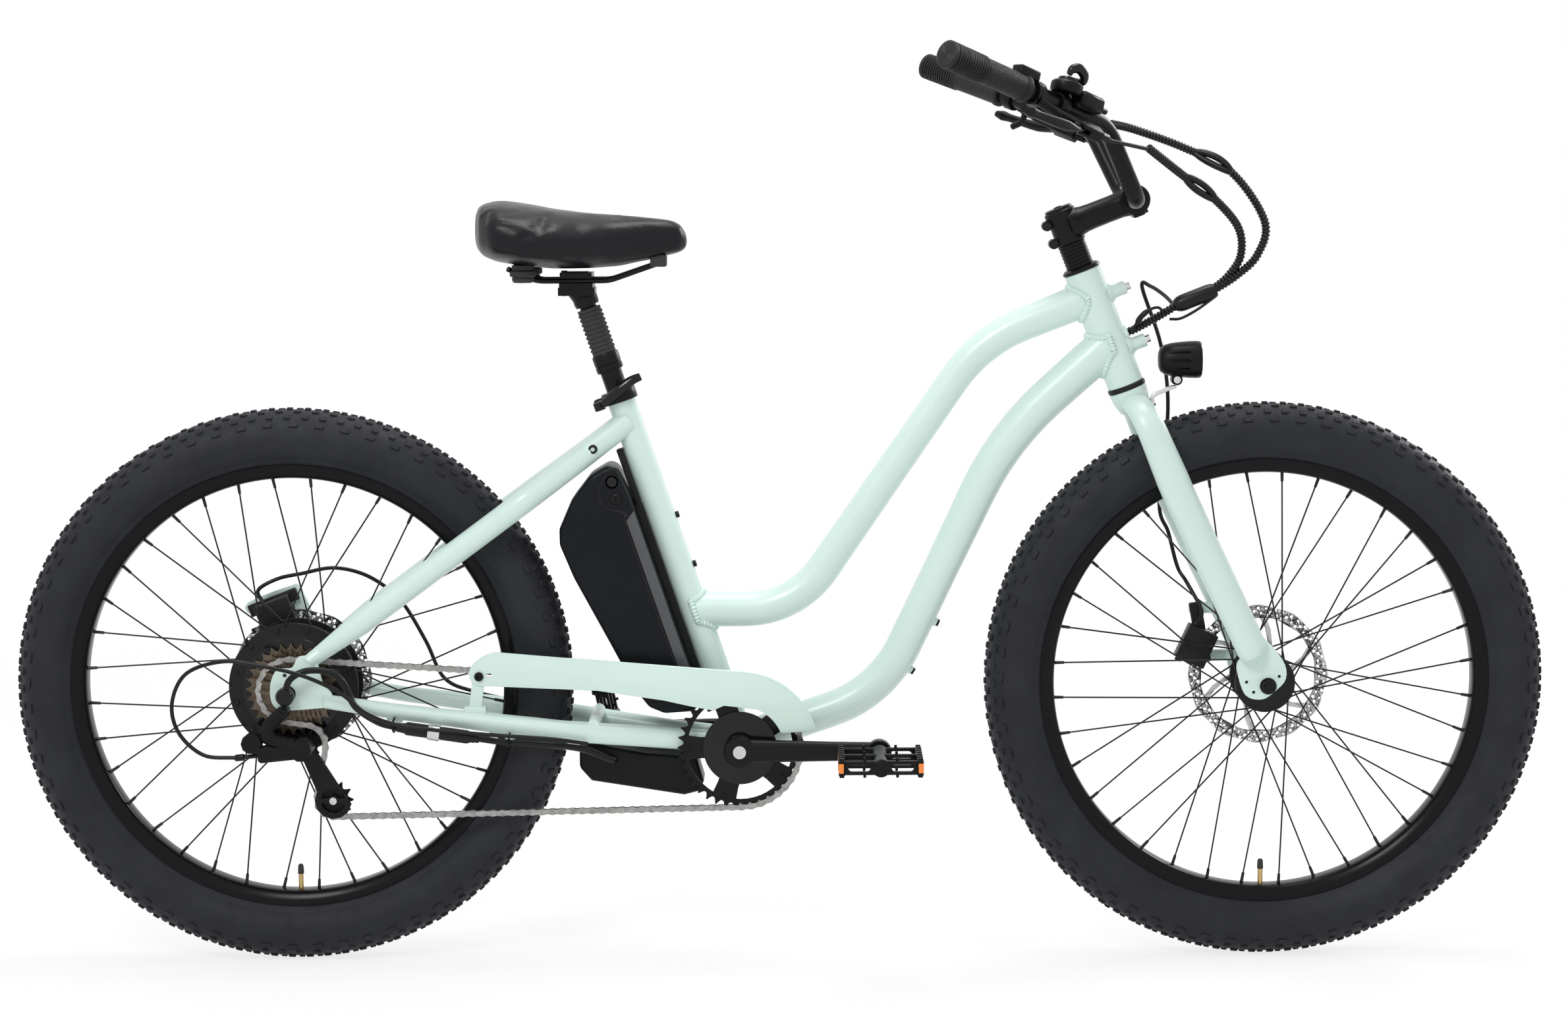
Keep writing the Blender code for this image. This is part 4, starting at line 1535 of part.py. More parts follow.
def main():
    """Clear the scene, model every piece and hang it on its axis."""
    for item in list(bpy.data.objects):
        bpy.data.objects.remove(item)
    make_frame()
    make_bottom_bracket()
    make_headset()
    make_fork()
    make_stem()
    make_handlebar()
    make_grip("grip_right", RIGHT)
    make_grip("grip_left", LEFT)
    make_lever(RIGHT, "lever_mount_right", "brake_lever_right")
    make_lever(LEFT, "lever_mount_left", "brake_lever_left")
    make_shifter()
    make_throttle()
    make_headlight()
    make_front_wheel()
    make_rear_wheel()
    make_rotor("front_rotor", FRONT, FRONT_ROTOR_Y)
    make_rotor("rear_rotor", REAR, REAR_ROTOR_Y)
    make_axles()
    make_front_brake()
    make_rear_brake()
    make_chain()
    make_chainring()
    make_freewheel()
    make_cranks()
    make_pedal("pedal_right", RIGHT, 0.0)
    make_pedal("pedal_left", LEFT, 78.0)
    make_derailleur()
    make_chain_guard()
    make_seat_collar()
    make_seatpost()
    make_seatpost_head()
    make_bellows()
    make_saddle_rails()
    make_saddle()
    make_battery()
    make_controller()
    make_cables()
    make_looms()
    hang_everything()


main()
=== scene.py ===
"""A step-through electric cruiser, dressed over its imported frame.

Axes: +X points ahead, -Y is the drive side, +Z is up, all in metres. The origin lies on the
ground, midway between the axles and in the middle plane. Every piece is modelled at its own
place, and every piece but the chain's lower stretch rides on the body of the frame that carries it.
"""

import json
import logging
import math
from dataclasses import dataclass, field
from enum import Enum
from typing import Callable, Optional, Sequence

import bmesh
import bpy
from mathutils import Matrix, Vector

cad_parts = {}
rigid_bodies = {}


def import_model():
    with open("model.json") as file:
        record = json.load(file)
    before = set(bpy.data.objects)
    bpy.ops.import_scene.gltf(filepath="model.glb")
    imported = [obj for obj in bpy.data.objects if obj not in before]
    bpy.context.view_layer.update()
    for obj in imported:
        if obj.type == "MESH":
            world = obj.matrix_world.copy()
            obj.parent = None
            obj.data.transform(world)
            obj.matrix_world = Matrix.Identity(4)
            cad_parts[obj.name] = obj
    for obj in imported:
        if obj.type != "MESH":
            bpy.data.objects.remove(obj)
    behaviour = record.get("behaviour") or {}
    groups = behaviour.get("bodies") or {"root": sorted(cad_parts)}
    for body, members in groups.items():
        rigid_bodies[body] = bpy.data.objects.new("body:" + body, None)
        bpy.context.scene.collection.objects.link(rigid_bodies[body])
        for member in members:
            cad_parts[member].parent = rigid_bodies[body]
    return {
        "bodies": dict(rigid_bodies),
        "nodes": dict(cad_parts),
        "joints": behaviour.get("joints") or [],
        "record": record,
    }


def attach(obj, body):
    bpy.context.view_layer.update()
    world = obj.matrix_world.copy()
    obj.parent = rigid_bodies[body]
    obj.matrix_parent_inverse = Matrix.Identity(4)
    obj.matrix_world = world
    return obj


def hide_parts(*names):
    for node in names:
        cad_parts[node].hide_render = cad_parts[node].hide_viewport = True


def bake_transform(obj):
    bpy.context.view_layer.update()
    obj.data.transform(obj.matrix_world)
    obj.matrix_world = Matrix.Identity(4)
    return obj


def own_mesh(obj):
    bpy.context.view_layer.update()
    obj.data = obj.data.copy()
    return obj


LOG = logging.getLogger("cruiser")

Point = Vector
Profile = Sequence[tuple[float, float]]
Colour = tuple[float, float, float]

RIGHT, LEFT = -1, 1
ALONG = Vector((1.0, 0.0, 0.0))
SIDE = Vector((0.0, 1.0, 0.0))
UP = Vector((0.0, 0.0, 1.0))
WHEEL_RADIUS = 0.3555
REAR = Vector((-0.6164, 0.0, WHEEL_RADIUS))
FRONT = Vector((0.6164, 0.0, WHEEL_RADIUS))
BB = Vector((-0.049, 0.0, 0.28))
HEAD_FOOT = Vector((0.4408, 0.0, 0.733))
HEAD_UP = Vector((-0.361625, 0.0, 0.932324))
HEAD_AHEAD = Vector((0.932324, 0.0, 0.361625))
SEAT_UP = Vector((-0.320613, 0.0, 0.94721))
SEAT_BACK = Vector((-0.94721, 0.0, -0.320613))
CHAIN_LINE = -0.050
CHAIN_PITCH = 0.0127


def near(anchor: Point, x: float, y: float, z: float) -> Point:
    """The point at an offset from an anchor."""
    return anchor + Vector((x, y, z))


def at_head(ahead: float, side: float, up: float) -> Point:
    """A point ahead of, beside and up along the steering axis."""
    return HEAD_FOOT + HEAD_AHEAD * ahead + SIDE * side + HEAD_UP * up


def at_seat(back: float, side: float, up: float) -> Point:
    """A point behind, beside and up along the seat tube's axis."""
    return BB + SEAT_BACK * back + SIDE * side + SEAT_UP * up


def around(centre: Point, radius: float, degrees: float, y: float = 0.0) -> Point:
    """A point on a circle in a plane across the width of the bicycle."""
    turn = math.radians(degrees)
    return centre + Vector((radius * math.cos(turn), y, radius * math.sin(turn)))


def rounded(corners: Sequence[Point], radii: Sequence[float], turn: float = 4.0) -> list[Point]:
    """A path through corners, each inner one rounded with an arc.

    Args:
        corners: The corners, ends included.
        radii: The arc's radius at each inner corner.
        turn: The angle in degrees that one step of an arc takes.

    Returns:
        The points of the path.
    """
    path = [corners[0].copy()]
    for before, corner, after, radius in zip(corners, corners[1:], corners[2:], radii):
        back = (before - corner).normalized()
        ahead = (after - corner).normalized()
        bend = math.pi - back.angle(ahead)
        if radius <= 0.0 or bend < 0.001:
            path.append(corner.copy())
            continue
        reach = radius * math.tan(bend / 2.0)
        centre = corner + (back + ahead).normalized() * (radius / math.cos(bend / 2.0))
        start = corner + back * reach - centre
        axis = start.cross(corner + ahead * reach - centre).normalized()
        steps = max(2, math.ceil(math.degrees(bend) / turn))
        path += [centre + Matrix.Rotation(bend * step / steps, 3, axis) @ start for step in range(steps + 1)]
    path.append(corners[-1].copy())
    return path


def flowing(points: Sequence[Point], parts: int = 8) -> list[Point]:
    """A Catmull-Rom curve through the points, with a number of parts per stretch."""
    ends = [points[0] * 2.0 - points[1]] + list(points) + [points[-1] * 2.0 - points[-2]]
    path = []
    for a, b, c, d in zip(ends, ends[1:], ends[2:], ends[3:]):
        for part in range(parts):
            t = part / parts
            path.append(0.5 * (2.0 * b + (c - a) * t + (2.0 * a - 5.0 * b + 4.0 * c - d) * t * t
                + (3.0 * b - a - 3.0 * c + d) * t * t * t))
    path.append(points[-1].copy())
    return path


def stepped(path: Sequence[Point], step: float) -> list[Point]:
    """The path again in even steps of about the given length."""
    lengths = [0.0]
    for a, b in zip(path, path[1:]):
        lengths.append(lengths[-1] + (b - a).length)
    count = max(2, round(lengths[-1] / step))
    points, index = [], 0
    for place in range(count + 1):
        target = lengths[-1] * place / count
        while index < len(path) - 2 and lengths[index + 1] < target:
            index += 1
        span = max(lengths[index + 1] - lengths[index], 1e-09)
        points.append(path[index].lerp(path[index + 1], (target - lengths[index]) / span))
    return points


def graded(path: Sequence[Point], stops: Sequence[float]) -> list[float]:
    """A value for each point of a path, blended along its length from a few stops."""
    lengths = [0.0]
    for a, b in zip(path, path[1:]):
        lengths.append(lengths[-1] + (b - a).length)
    values = []
    for length in lengths:
        place = length / lengths[-1] * (len(stops) - 1)
        index = min(int(place), len(stops) - 2)
        values.append(stops[index] + (stops[index + 1] - stops[index]) * (place - index))
    return values


class Body(Enum):
    """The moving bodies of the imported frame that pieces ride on."""

    FRAME = "frame_body"
    STEERING = "steering_body"
    FRONT_WHEEL = "front_wheel_body"
    REAR_WHEEL = "rear_wheel_body"
    FREEWHEEL = "freewheel_body"
    CRANKS = "crank_body"
    PEDAL_RIGHT = "pedal_right_body"
    PEDAL_LEFT = "pedal_left_body"
    CAGE = "cage_body"
    GUIDE_PULLEY = "guide_pulley_body"
    TENSION_PULLEY = "tension_pulley_body"
    SEATPOST = "seatpost_body"
    SEAT = "seat_body"
    COLLAR_LEVER = "collar_lever_body"
    LEVER_RIGHT = "brake_lever_right_body"
    LEVER_LEFT = "brake_lever_left_body"
    SHIFT_LEVER = "shift_lever_body"
    THROTTLE = "throttle_body"
    HEADLIGHT = "headlight_body"
    FRONT_ARM = "front_caliper_arm_body"
    REAR_ARM = "rear_caliper_arm_body"
    BATTERY = "battery_body"
    SWITCH = "power_switch_body"
    LOCK = "battery_lock_body"


class Pattern(Enum):
    """The relief that a finish carries."""

    GRAIN = "grain"
    LEATHER = "leather"
    BRUSHED = "brushed"
    KNURL = "knurl"
    RINGS = "rings"


@dataclass(frozen=True)
class Finish:
    """One surface finish, built as a node material on Object coordinates."""

    name: str
    slot: str
    colour: Colour
    roughness: float
    metallic: float = 0.0
    coat: float = 0.0
    specular: float = 0.5
    mottle: float = 0.08
    mottle_scale: float = 14.0
    relief: float = 0.12
    relief_scale: float = 900.0
    pattern: Pattern = Pattern.GRAIN
    centre: tuple[float, float, float] = 0.0, 0.0, 0.0
    axis: tuple[float, float, float] = 0.0, 1.0, 0.0
    transmission: float = 0.0

    def material(self) -> bpy.types.Material:
        """Build the material once and hand it out again after that.

        Returns:
            The node material of this finish.
        """
        found = bpy.data.materials.get(self.name)
        if found:
            return found
        material = bpy.data.materials.new(self.name)
        material.use_nodes = True
        tree = material.node_tree
        shader = tree.nodes["Principled BSDF"]
        shader.inputs["Metallic"].default_value = self.metallic
        shader.inputs["Specular IOR Level"].default_value = self.specular
        shader.inputs["Coat Weight"].default_value = self.coat
        shader.inputs["Coat Roughness"].default_value = 0.08
        if self.transmission:
            shader.inputs["Transmission Weight"].default_value = self.transmission
            shader.inputs["IOR"].default_value = 1.47
        place = tree.nodes.new("ShaderNodeTexCoord").outputs["Object"]
        self._tint(tree, shader, place)
        self._polish(tree, shader, place)
        height, distance = self._height(tree, place)
        bump = tree.nodes.new("ShaderNodeBump")
        bump.inputs["Strength"].default_value = self.relief
        bump.inputs["Distance"].default_value = distance
        tree.links.new(height, bump.inputs["Height"])
        tree.links.new(bump.outputs["Normal"], shader.inputs["Normal"])
        return material

    def _noise(self, tree: bpy.types.NodeTree, place: bpy.types.NodeSocket, scale: float,
            detail: float = 3.0) -> bpy.types.NodeSocket:
        """A noise at a scale, in features per metre."""
        noise = tree.nodes.new("ShaderNodeTexNoise")
        noise.inputs["Scale"].default_value = scale
        noise.inputs["Detail"].default_value = detail
        tree.links.new(place, noise.inputs["Vector"])
        return noise.outputs["Fac"]

    def _tint(self, tree: bpy.types.NodeTree, shader: bpy.types.Node, place: bpy.types.NodeSocket) -> None:
        """Vary the colour softly over the surface."""
        ramp = tree.nodes.new("ShaderNodeValToRGB")
        dark = [channel * (1.0 - self.mottle) for channel in self.colour]
        light = [min(1.0, channel * (1.0 + self.mottle)) for channel in self.colour]
        ramp.color_ramp.elements[0].position = 0.3
        ramp.color_ramp.elements[0].color = (*dark, 1.0)
        ramp.color_ramp.elements[1].position = 0.7
        ramp.color_ramp.elements[1].color = (*light, 1.0)
        tree.links.new(self._noise(tree, place, self.mottle_scale), ramp.inputs["Fac"])
        tree.links.new(ramp.outputs["Color"], shader.inputs["Base Color"])

    def _polish(self, tree: bpy.types.NodeTree, shader: bpy.types.Node, place: bpy.types.NodeSocket) -> None:
        """Vary the roughness a little, as handling does."""
        spread = tree.nodes.new("ShaderNodeMapRange")
        spread.inputs["From Min"].default_value = 0.3
        spread.inputs["From Max"].default_value = 0.7
        spread.inputs["To Min"].default_value = max(0.02, self.roughness * 0.88)
        spread.inputs["To Max"].default_value = min(1.0, self.roughness * 1.12)
        tree.links.new(self._noise(tree, place, self.mottle_scale * 3.0), spread.inputs["Value"])
        tree.links.new(spread.outputs["Result"], shader.inputs["Roughness"])

    def _turned_place(self, tree: bpy.types.NodeTree, place: bpy.types.NodeSocket) -> bpy.types.NodeSocket:
        """Coordinates about this finish's centre, with its axis as Z."""
        centred = tree.nodes.new("ShaderNodeVectorMath")
        centred.operation = "SUBTRACT"
        centred.inputs[1].default_value = self.centre
        tree.links.new(place, centred.inputs[0])
        turned = tree.nodes.new("ShaderNodeVectorRotate")
        turned.rotation_type = "EULER_XYZ"
        turned.invert = True
        turned.inputs["Rotation"].default_value = Vector(self.axis).to_track_quat("Z", "Y").to_euler()
        tree.links.new(centred.outputs["Vector"], turned.inputs["Vector"])
        return turned.outputs["Vector"]

    def _math(self, tree: bpy.types.NodeTree, operation: str, first: object,
            second: object = 0.0) -> bpy.types.NodeSocket:
        """One step of arithmetic on sockets or numbers."""
        node = tree.nodes.new("ShaderNodeMath")
        node.operation = operation
        for slot, value in enumerate((first, second)):
            if isinstance(value, bpy.types.NodeSocket):
                tree.links.new(value, node.inputs[slot])
            else:
                node.inputs[slot].default_value = value
        return node.outputs["Value"]

    def _height(self, tree: bpy.types.NodeTree, place: bpy.types.NodeSocket) -> tuple[bpy.types.NodeSocket,
            float]:
        """The relief's height socket and its depth in metres."""
        fine = self._noise(tree, place, self.relief_scale, 2.0)
        if self.pattern is Pattern.LEATHER:
            cells = tree.nodes.new("ShaderNodeTexVoronoi")
            cells.inputs["Scale"].default_value = self.relief_scale
            tree.links.new(place, cells.inputs["Vector"])
            return self._math(tree, "ADD", cells.outputs["Distance"], fine), 0.0006
        if self.pattern is Pattern.GRAIN:
            return fine, 0.0004
        split = tree.nodes.new("ShaderNodeSeparateXYZ")
        tree.links.new(self._turned_place(tree, place), split.inputs["Vector"])
        across, beside, depth = split.outputs
        if self.pattern is Pattern.KNURL:
            angle = self._math(tree, "MULTIPLY", self._math(tree, "ARCTAN2", beside, across), 26.0)
            climb = self._math(tree, "MULTIPLY", depth, 26.0 / 0.0165)
            one = self._math(tree, "SINE", self._math(tree, "ADD", angle, climb))
            other = self._math(tree, "SINE", self._math(tree, "SUBTRACT", angle, climb))
            return self._math(tree, "MULTIPLY", one, other), 0.0009
        squares = [self._math(tree, "POWER", socket, 2.0) for socket in (across, beside)]
        radius = self._math(tree, "SQRT", self._math(tree, "ADD", *squares))
        wave = self._math(tree, "SINE", self._math(tree, "MULTIPLY", radius, self.relief_scale))
        if self.pattern is Pattern.RINGS:
            return self._math(tree, "ADD", wave, self._math(tree, "MULTIPLY", fine, 0.6)), 0.0004
        rows = self._noise(tree, radius, self.relief_scale, 2.0)
        return self._math(tree, "ADD", rows, self._math(tree, "MULTIPLY", fine, 0.3)), 0.0002


class Finishes:
    """Every finish on the bicycle."""

    MINT = Finish("mint_satin_paint", "frame_paint", (0.612, 0.768, 0.706), 0.34, coat=0.15, mottle=0.012,
        relief=0.02, relief_scale=1400.0)
    BLACK_PAINT = Finish("black_satin_paint", "black_paint", (0.005, 0.005, 0.006), 0.3, specular=0.17,
        relief=0.06, relief_scale=1200.0)
    BLACK_GLOSS = Finish("black_gloss", "gloss_black", (0.004, 0.004, 0.005), 0.12, specular=0.3, relief=0.02)
    ALLOY = Finish("black_cast_alloy", "dark_alloy", (0.011, 0.011, 0.012), 0.42, specular=0.18, relief=0.12,
        relief_scale=700.0)
    RIM = Finish("black_rim", "rim_black", (0.004, 0.004, 0.005), 0.22, specular=0.13, relief=0.03)
    SPOKE = Finish("black_spoke", "black_paint", (0.006, 0.006, 0.006), 0.35, specular=0.3, relief=0.02)
    CHAIN = Finish("oiled_chain_steel", "chain_steel", (0.34, 0.33, 0.32), 0.34, metallic=1.0, mottle=0.25,
        mottle_scale=160.0, relief=0.1)
    COG = Finish("browned_cog_steel", "chain_steel", (0.105, 0.082, 0.06), 0.36, metallic=0.9, mottle=0.35,
        mottle_scale=60.0, relief=0.1)
    BOLT = Finish("silver_bolt", "bolt_silver", (0.62, 0.62, 0.63), 0.22, metallic=1.0, relief=0.05)
    BRASS = Finish("brass_valve", "bolt_silver", (0.5, 0.36, 0.16), 0.3, metallic=1.0, relief=0.05)
    RAIL = Finish("grey_rail", "rail_grey", (0.085, 0.087, 0.092), 0.42, metallic=0.6, relief=0.1)
    DOCK = Finish("black_dock", "rail_grey", (0.012, 0.012, 0.013), 0.4, specular=0.16, relief=0.1)
    RUBBER = Finish("black_rubber", "black_rubber", (0.007, 0.007, 0.008), 0.58, specular=0.15, relief=0.15,
        relief_scale=1500.0)
    CABLE = Finish("cable_sheath", "cable_black", (0.005, 0.005, 0.006), 0.3, specular=0.25, relief=0.05,
        relief_scale=1600.0)
    WRAP = Finish("spiral_wrap", "cable_black", (0.006, 0.006, 0.007), 0.3, specular=0.3, relief=0.08,
        relief_scale=1200.0)
    PLASTIC = Finish("moulded_black_plastic", "black_plastic", (0.0045, 0.0045, 0.005), 0.36, specular=0.16,
        relief=0.14, relief_scale=1800.0)
    CASE = Finish("satin_battery_case", "black_plastic", (0.006, 0.007, 0.009), 0.36, specular=0.13,
        relief=0.06, relief_scale=2200.0)
    SADDLE = Finish("saddle_vinyl", "saddle_cover", (0.005, 0.005, 0.007), 0.32, specular=0.22, relief=0.22,
        relief_scale=620.0, pattern=Pattern.LEATHER)
    AMBER = Finish("amber_reflector", "amber", (0.8, 0.22, 0.015), 0.16, coat=0.5, relief=0.3,
        relief_scale=500.0)
    LENS = Finish("headlight_lens", "clear_lens", (0.9, 0.93, 0.95), 0.05, transmission=0.85, relief=0.25,
        relief_scale=300.0)
    REFLECTOR = Finish("headlight_bowl", "bolt_silver", (0.85, 0.86, 0.88), 0.12, metallic=1.0, relief=0.03)

    @staticmethod
    def tyre(name: str, axle: Point) -> Finish:
        """The tyre's rubber, with fine moulded rings about its axle."""
        return Finish(name, "tyre_black", (0.017, 0.018, 0.022), 0.56, specular=0.2, mottle=0.16,
            mottle_scale=22.0, relief=0.22, relief_scale=2300.0, pattern=Pattern.RINGS, centre=tuple(axle))

    @staticmethod
    def rotor(name: str, axle: Point) -> Finish:
        """A rotor's ground steel, brushed about its axle."""
        return Finish(name, "bright_steel", (0.5, 0.5, 0.51), 0.27, metallic=1.0, relief=0.25,
            relief_scale=900.0, pattern=Pattern.BRUSHED, centre=tuple(axle))

    @staticmethod
    def knurl(name: str, start: Point, axis: Vector) -> Finish:
        """A grip's rubber with a diamond knurl round its axis."""
        return Finish(name, "black_rubber", (0.017, 0.017, 0.019), 0.52, specular=0.28, relief=0.75,
            pattern=Pattern.KNURL, centre=tuple(start), axis=tuple(axis))


class Bench:
    """The shop's mesh tools: each makes or changes one piece, at its own place."""

    smooth_angle: float = math.radians(38.0)

    @staticmethod
    def clear() -> None:
        """Leave edit mode and deselect everything."""
        if bpy.context.mode != "OBJECT":
            bpy.ops.object.mode_set(mode="OBJECT")
        bpy.ops.object.select_all(action="DESELECT")

    @staticmethod
    def take(piece: bpy.types.Object) -> None:
        """Select one piece and make it active."""
        Bench.clear()
        piece.select_set(True)
        bpy.context.view_layer.objects.active = piece

    @staticmethod
    def settle(piece: bpy.types.Object) -> bpy.types.Object:
        """Put a piece's place into its mesh and leave its object at the origin."""
        Bench.take(piece)
        bpy.ops.object.transform_apply(location=True, rotation=True, scale=True)
        return piece

    @staticmethod
    def modify(piece: bpy.types.Object, kind: str, **settings: object) -> bpy.types.Object:
        """Add a modifier with its settings and apply it."""
        Bench.take(piece)
        modifier = piece.modifiers.new(kind.lower(), kind)
        for key, value in settings.items():
            setattr(modifier, key, value)
        bpy.ops.object.modifier_apply(modifier=modifier.name)
        return piece

    @staticmethod
    def tidy(piece: bpy.types.Object, distance: float = 1e-6) -> bpy.types.Object:
        """Merge doubled points and turn the faces outward."""
        Bench.take(piece)
        bpy.ops.object.mode_set(mode="EDIT")
        bpy.ops.mesh.select_all(action="SELECT")
        bpy.ops.mesh.remove_doubles(threshold=distance)
        bpy.ops.mesh.normals_make_consistent(inside=False)
        bpy.ops.object.mode_set(mode="OBJECT")
        return piece

    @staticmethod
    def shade(piece: bpy.types.Object, angle: Optional[float] = None) -> bpy.types.Object:
        """Shade a piece smooth up to an angle."""
        Bench.take(piece)
        bpy.ops.object.shade_smooth_by_angle(angle=Bench.smooth_angle if angle is None else angle)
        return piece

    @staticmethod
    def soften(piece: bpy.types.Object, width: float, segments: int = 2,
            angle: float = 32.0) -> bpy.types.Object:
        """Bevel a piece's sharp edges."""
        return Bench.modify(piece, "BEVEL", width=width, segments=segments, limit_method="ANGLE",
            angle_limit=math.radians(angle), harden_normals=False)

    @staticmethod
    def lay(piece: bpy.types.Object, origin: Point, z_axis: Vector,
            x_axis: Optional[Vector] = None) -> bpy.types.Object:
        """Place a piece that was made about the origin.

        Args:
            piece: The piece, made with its axis along Z.
            origin: Where its origin goes.
            z_axis: Where its Z axis points.
            x_axis: Where its X axis points, as nearly as its Z axis lets it.

        Returns:
            The piece, with its place in its mesh.
        """
        z = z_axis.normalized()
        guide = x_axis if x_axis is not None else ALONG if abs(z.dot(ALONG)) < 0.9 else SIDE
        x = (guide - z * guide.dot(z)).normalized()
        y = z.cross(x)
        frame = Matrix((x, y, z)).transposed().to_4x4()
        piece.matrix_world = Matrix.Translation(origin) @ frame
        return Bench.settle(piece)

    @staticmethod
    def line(name: str, points: Profile) -> bpy.types.Object:
        """Draw an open line in the XZ plane, point by point."""
        Bench.clear()
        bpy.ops.mesh.primitive_circle_add(vertices=len(points), radius=1.0)
        piece = bpy.context.object
        piece.name = name
        bpy.ops.object.mode_set(mode="EDIT")
        shape = bmesh.from_edit_mesh(piece.data)
        shape.verts.ensure_lookup_table()
        for corner, (radius, height) in zip(shape.verts, points):
            corner.co = (radius, 0.0, height)
        bmesh.ops.delete(shape,
            geom=[edge for edge in shape.edges if {vert.index for vert in edge.verts} == {0,
            len(points) - 1}], context="EDGES_FACES")
        bmesh.update_edit_mesh(piece.data)
        bpy.ops.object.mode_set(mode="OBJECT")
        return piece

    @staticmethod
    def turned(name: str, profile: Profile, origin: Point, axis: Vector, steps: int = 48,
            closed: bool = False) -> bpy.types.Object:
        """Turn a profile of (radius, height) pairs round an axis, as on a lathe.

        Args:
            name: The piece's name.
            profile: The profile from one end to the other.
            origin: Where height zero lies.
            axis: Where the heights point.
            steps: The number of sides.
            closed: Whether the profile closes on itself, as a ring's does.

        Returns:
            The turned piece.
        """
        points = list(profile) + ([profile[0]] if closed else [])
        piece = Bench.line(name, points)
        Bench.modify(piece, "SCREW", axis="Z", angle=2.0 * math.pi, steps=steps, render_steps=steps,
            use_merge_vertices=True, merge_threshold=1e-6)
        Bench.tidy(piece)
        Bench.lay(piece, origin, axis)
        return Bench.shade(piece)

    @staticmethod
    def rod(name: str, start: Point, end: Point, radius: float, sides: int = 24,
            edge: float = 0.0) -> bpy.types.Object:
        """A round bar between two points, with its rims bevelled."""
        Bench.clear()
        bpy.ops.mesh.primitive_cylinder_add(vertices=sides, radius=radius, depth=(end - start).length)
        piece = bpy.context.object
        piece.name = name
        if edge:
            Bench.soften(piece, edge)
        Bench.lay(piece, (start + end) / 2.0, end - start)
        return Bench.shade(piece)

    @staticmethod
    def brick(name: str, centre: Point, size: tuple[float, float, float], x_axis: Vector = ALONG,
            z_axis: Vector = UP, edge: float = 0.001, segments: int = 2) -> bpy.types.Object:
        """A box with rounded edges, set along two directions."""
        Bench.clear()
        bpy.ops.mesh.primitive_cube_add(size=1.0)
        piece = bpy.context.object
        piece.name = name
        bpy.ops.transform.resize(value=size)
        Bench.settle(piece)
        if edge:
            Bench.soften(piece, edge, segments)
        Bench.lay(piece, centre, z_axis, x_axis)
        return Bench.shade(piece)

    @staticmethod
    def plate(name: str, outline: Profile, low: float, high: float, edge: float = 0.0) -> bpy.types.Object:
        """A flat plate in the bicycle's long plane, between two depths across its width.

        Args:
            name: The piece's name.
            outline: The outline's (x, z) points.
            low: The depth of the side nearest the drive side.
            high: The depth of the other side.
            edge: The bevel on its rims.

        Returns:
            The plate.
        """
        Bench.clear()
        bpy.ops.mesh.primitive_circle_add(vertices=len(outline), radius=1.0, fill_type="NGON")
        piece = bpy.context.object
        piece.name = name
        for corner, (x, z) in zip(piece.data.vertices, outline):
            corner.co = (x, low, z)
        Bench.modify(piece, "SOLIDIFY", thickness=high - low, offset=1.0, use_even_offset=False)
        Bench.tidy(piece)
        depths = [corner.co.y for corner in piece.data.vertices]
        shift = low - min(depths)
        for corner in piece.data.vertices:
            corner.co.y += shift
        if edge:
            Bench.soften(piece, edge)
        return Bench.shade(piece)

    @staticmethod
    def runs(name: str, paths: Sequence[Sequence[Point]], radii: object, sides: int = 12) -> bpy.types.Object:
        """Round tubes along one or more paths, drawn as one bevelled curve and made a mesh.

        Args:
            name: The piece's name.
            paths: The points of each tube's path.
            radii: One radius, or a list of radii for each path.
            sides: The number of sides, four or more.

        Returns:
            The tubes as one mesh.
        """
        Bench.clear()
        bpy.ops.curve.primitive_bezier_curve_add()
        piece = bpy.context.object
        piece.name = name
        drawn = piece.data
        drawn.splines.clear()
        drawn.dimensions = "3D"
        drawn.bevel_depth = 0.01
        drawn.bevel_resolution = max(0, (sides - 4) // 2)
        drawn.use_fill_caps = True
        for index, path in enumerate(paths):
            spline = drawn.splines.new("POLY")
            spline.points.add(len(path) - 1)
            for place, (corner, point) in enumerate(zip(spline.points, path)):
                corner.co = (*point, 1.0)
                radius = radii if isinstance(radii, float) else radii[index][place]
                corner.radius = radius / drawn.bevel_depth
        bpy.ops.object.convert(target="MESH")
        piece = bpy.context.object
        piece.name = name
        Bench.tidy(Bench.settle(piece), 1e-07)
        return Bench.shade(piece)

    @staticmethod
    def swept(name: str, path: Sequence[Point], section: Callable[[float, float], float], sides: int = 24,
            squash: float = 1.0, width: Vector = SIDE) -> bpy.types.Object:
        """A form swept along a path, whose radius follows the distance and the angle.

        Args:
            name: The piece's name.
            path: The points of the path.
            section: The radius at a distance along the path and an angle round it.
            sides: The number of sides.
            squash: How wide the section is, beside its depth.
            width: The direction of the section's width at the path's start.

        Returns:
            The swept piece.
        """
        across = width
        rings, distance = [], 0.0
        tangents = [(path[min(i + 1, len(path) - 1)] - path[max(i - 1, 0)]).normalized()
            for i in range(len(path))]
        if abs(tangents[0].dot(width)) > 0.95:
            across = UP
        across = (across - tangents[0] * across.dot(tangents[0])).normalized()
        for index, point in enumerate(path):
            if index:
                across = tangents[index - 1].rotation_difference(tangents[index]) @ across
                distance += (point - path[index - 1]).length
            upward = across.cross(tangents[index]).normalized()
            ring = []
            for side in range(sides):
                angle = 2.0 * math.pi * side / sides
                radius = section(distance, angle)
                ring.append(point + across * (radius * squash * math.cos(angle)) + upward
                    * (radius * math.sin(angle)))
            rings.append(ring)
        return Bench.skinned(name, rings)

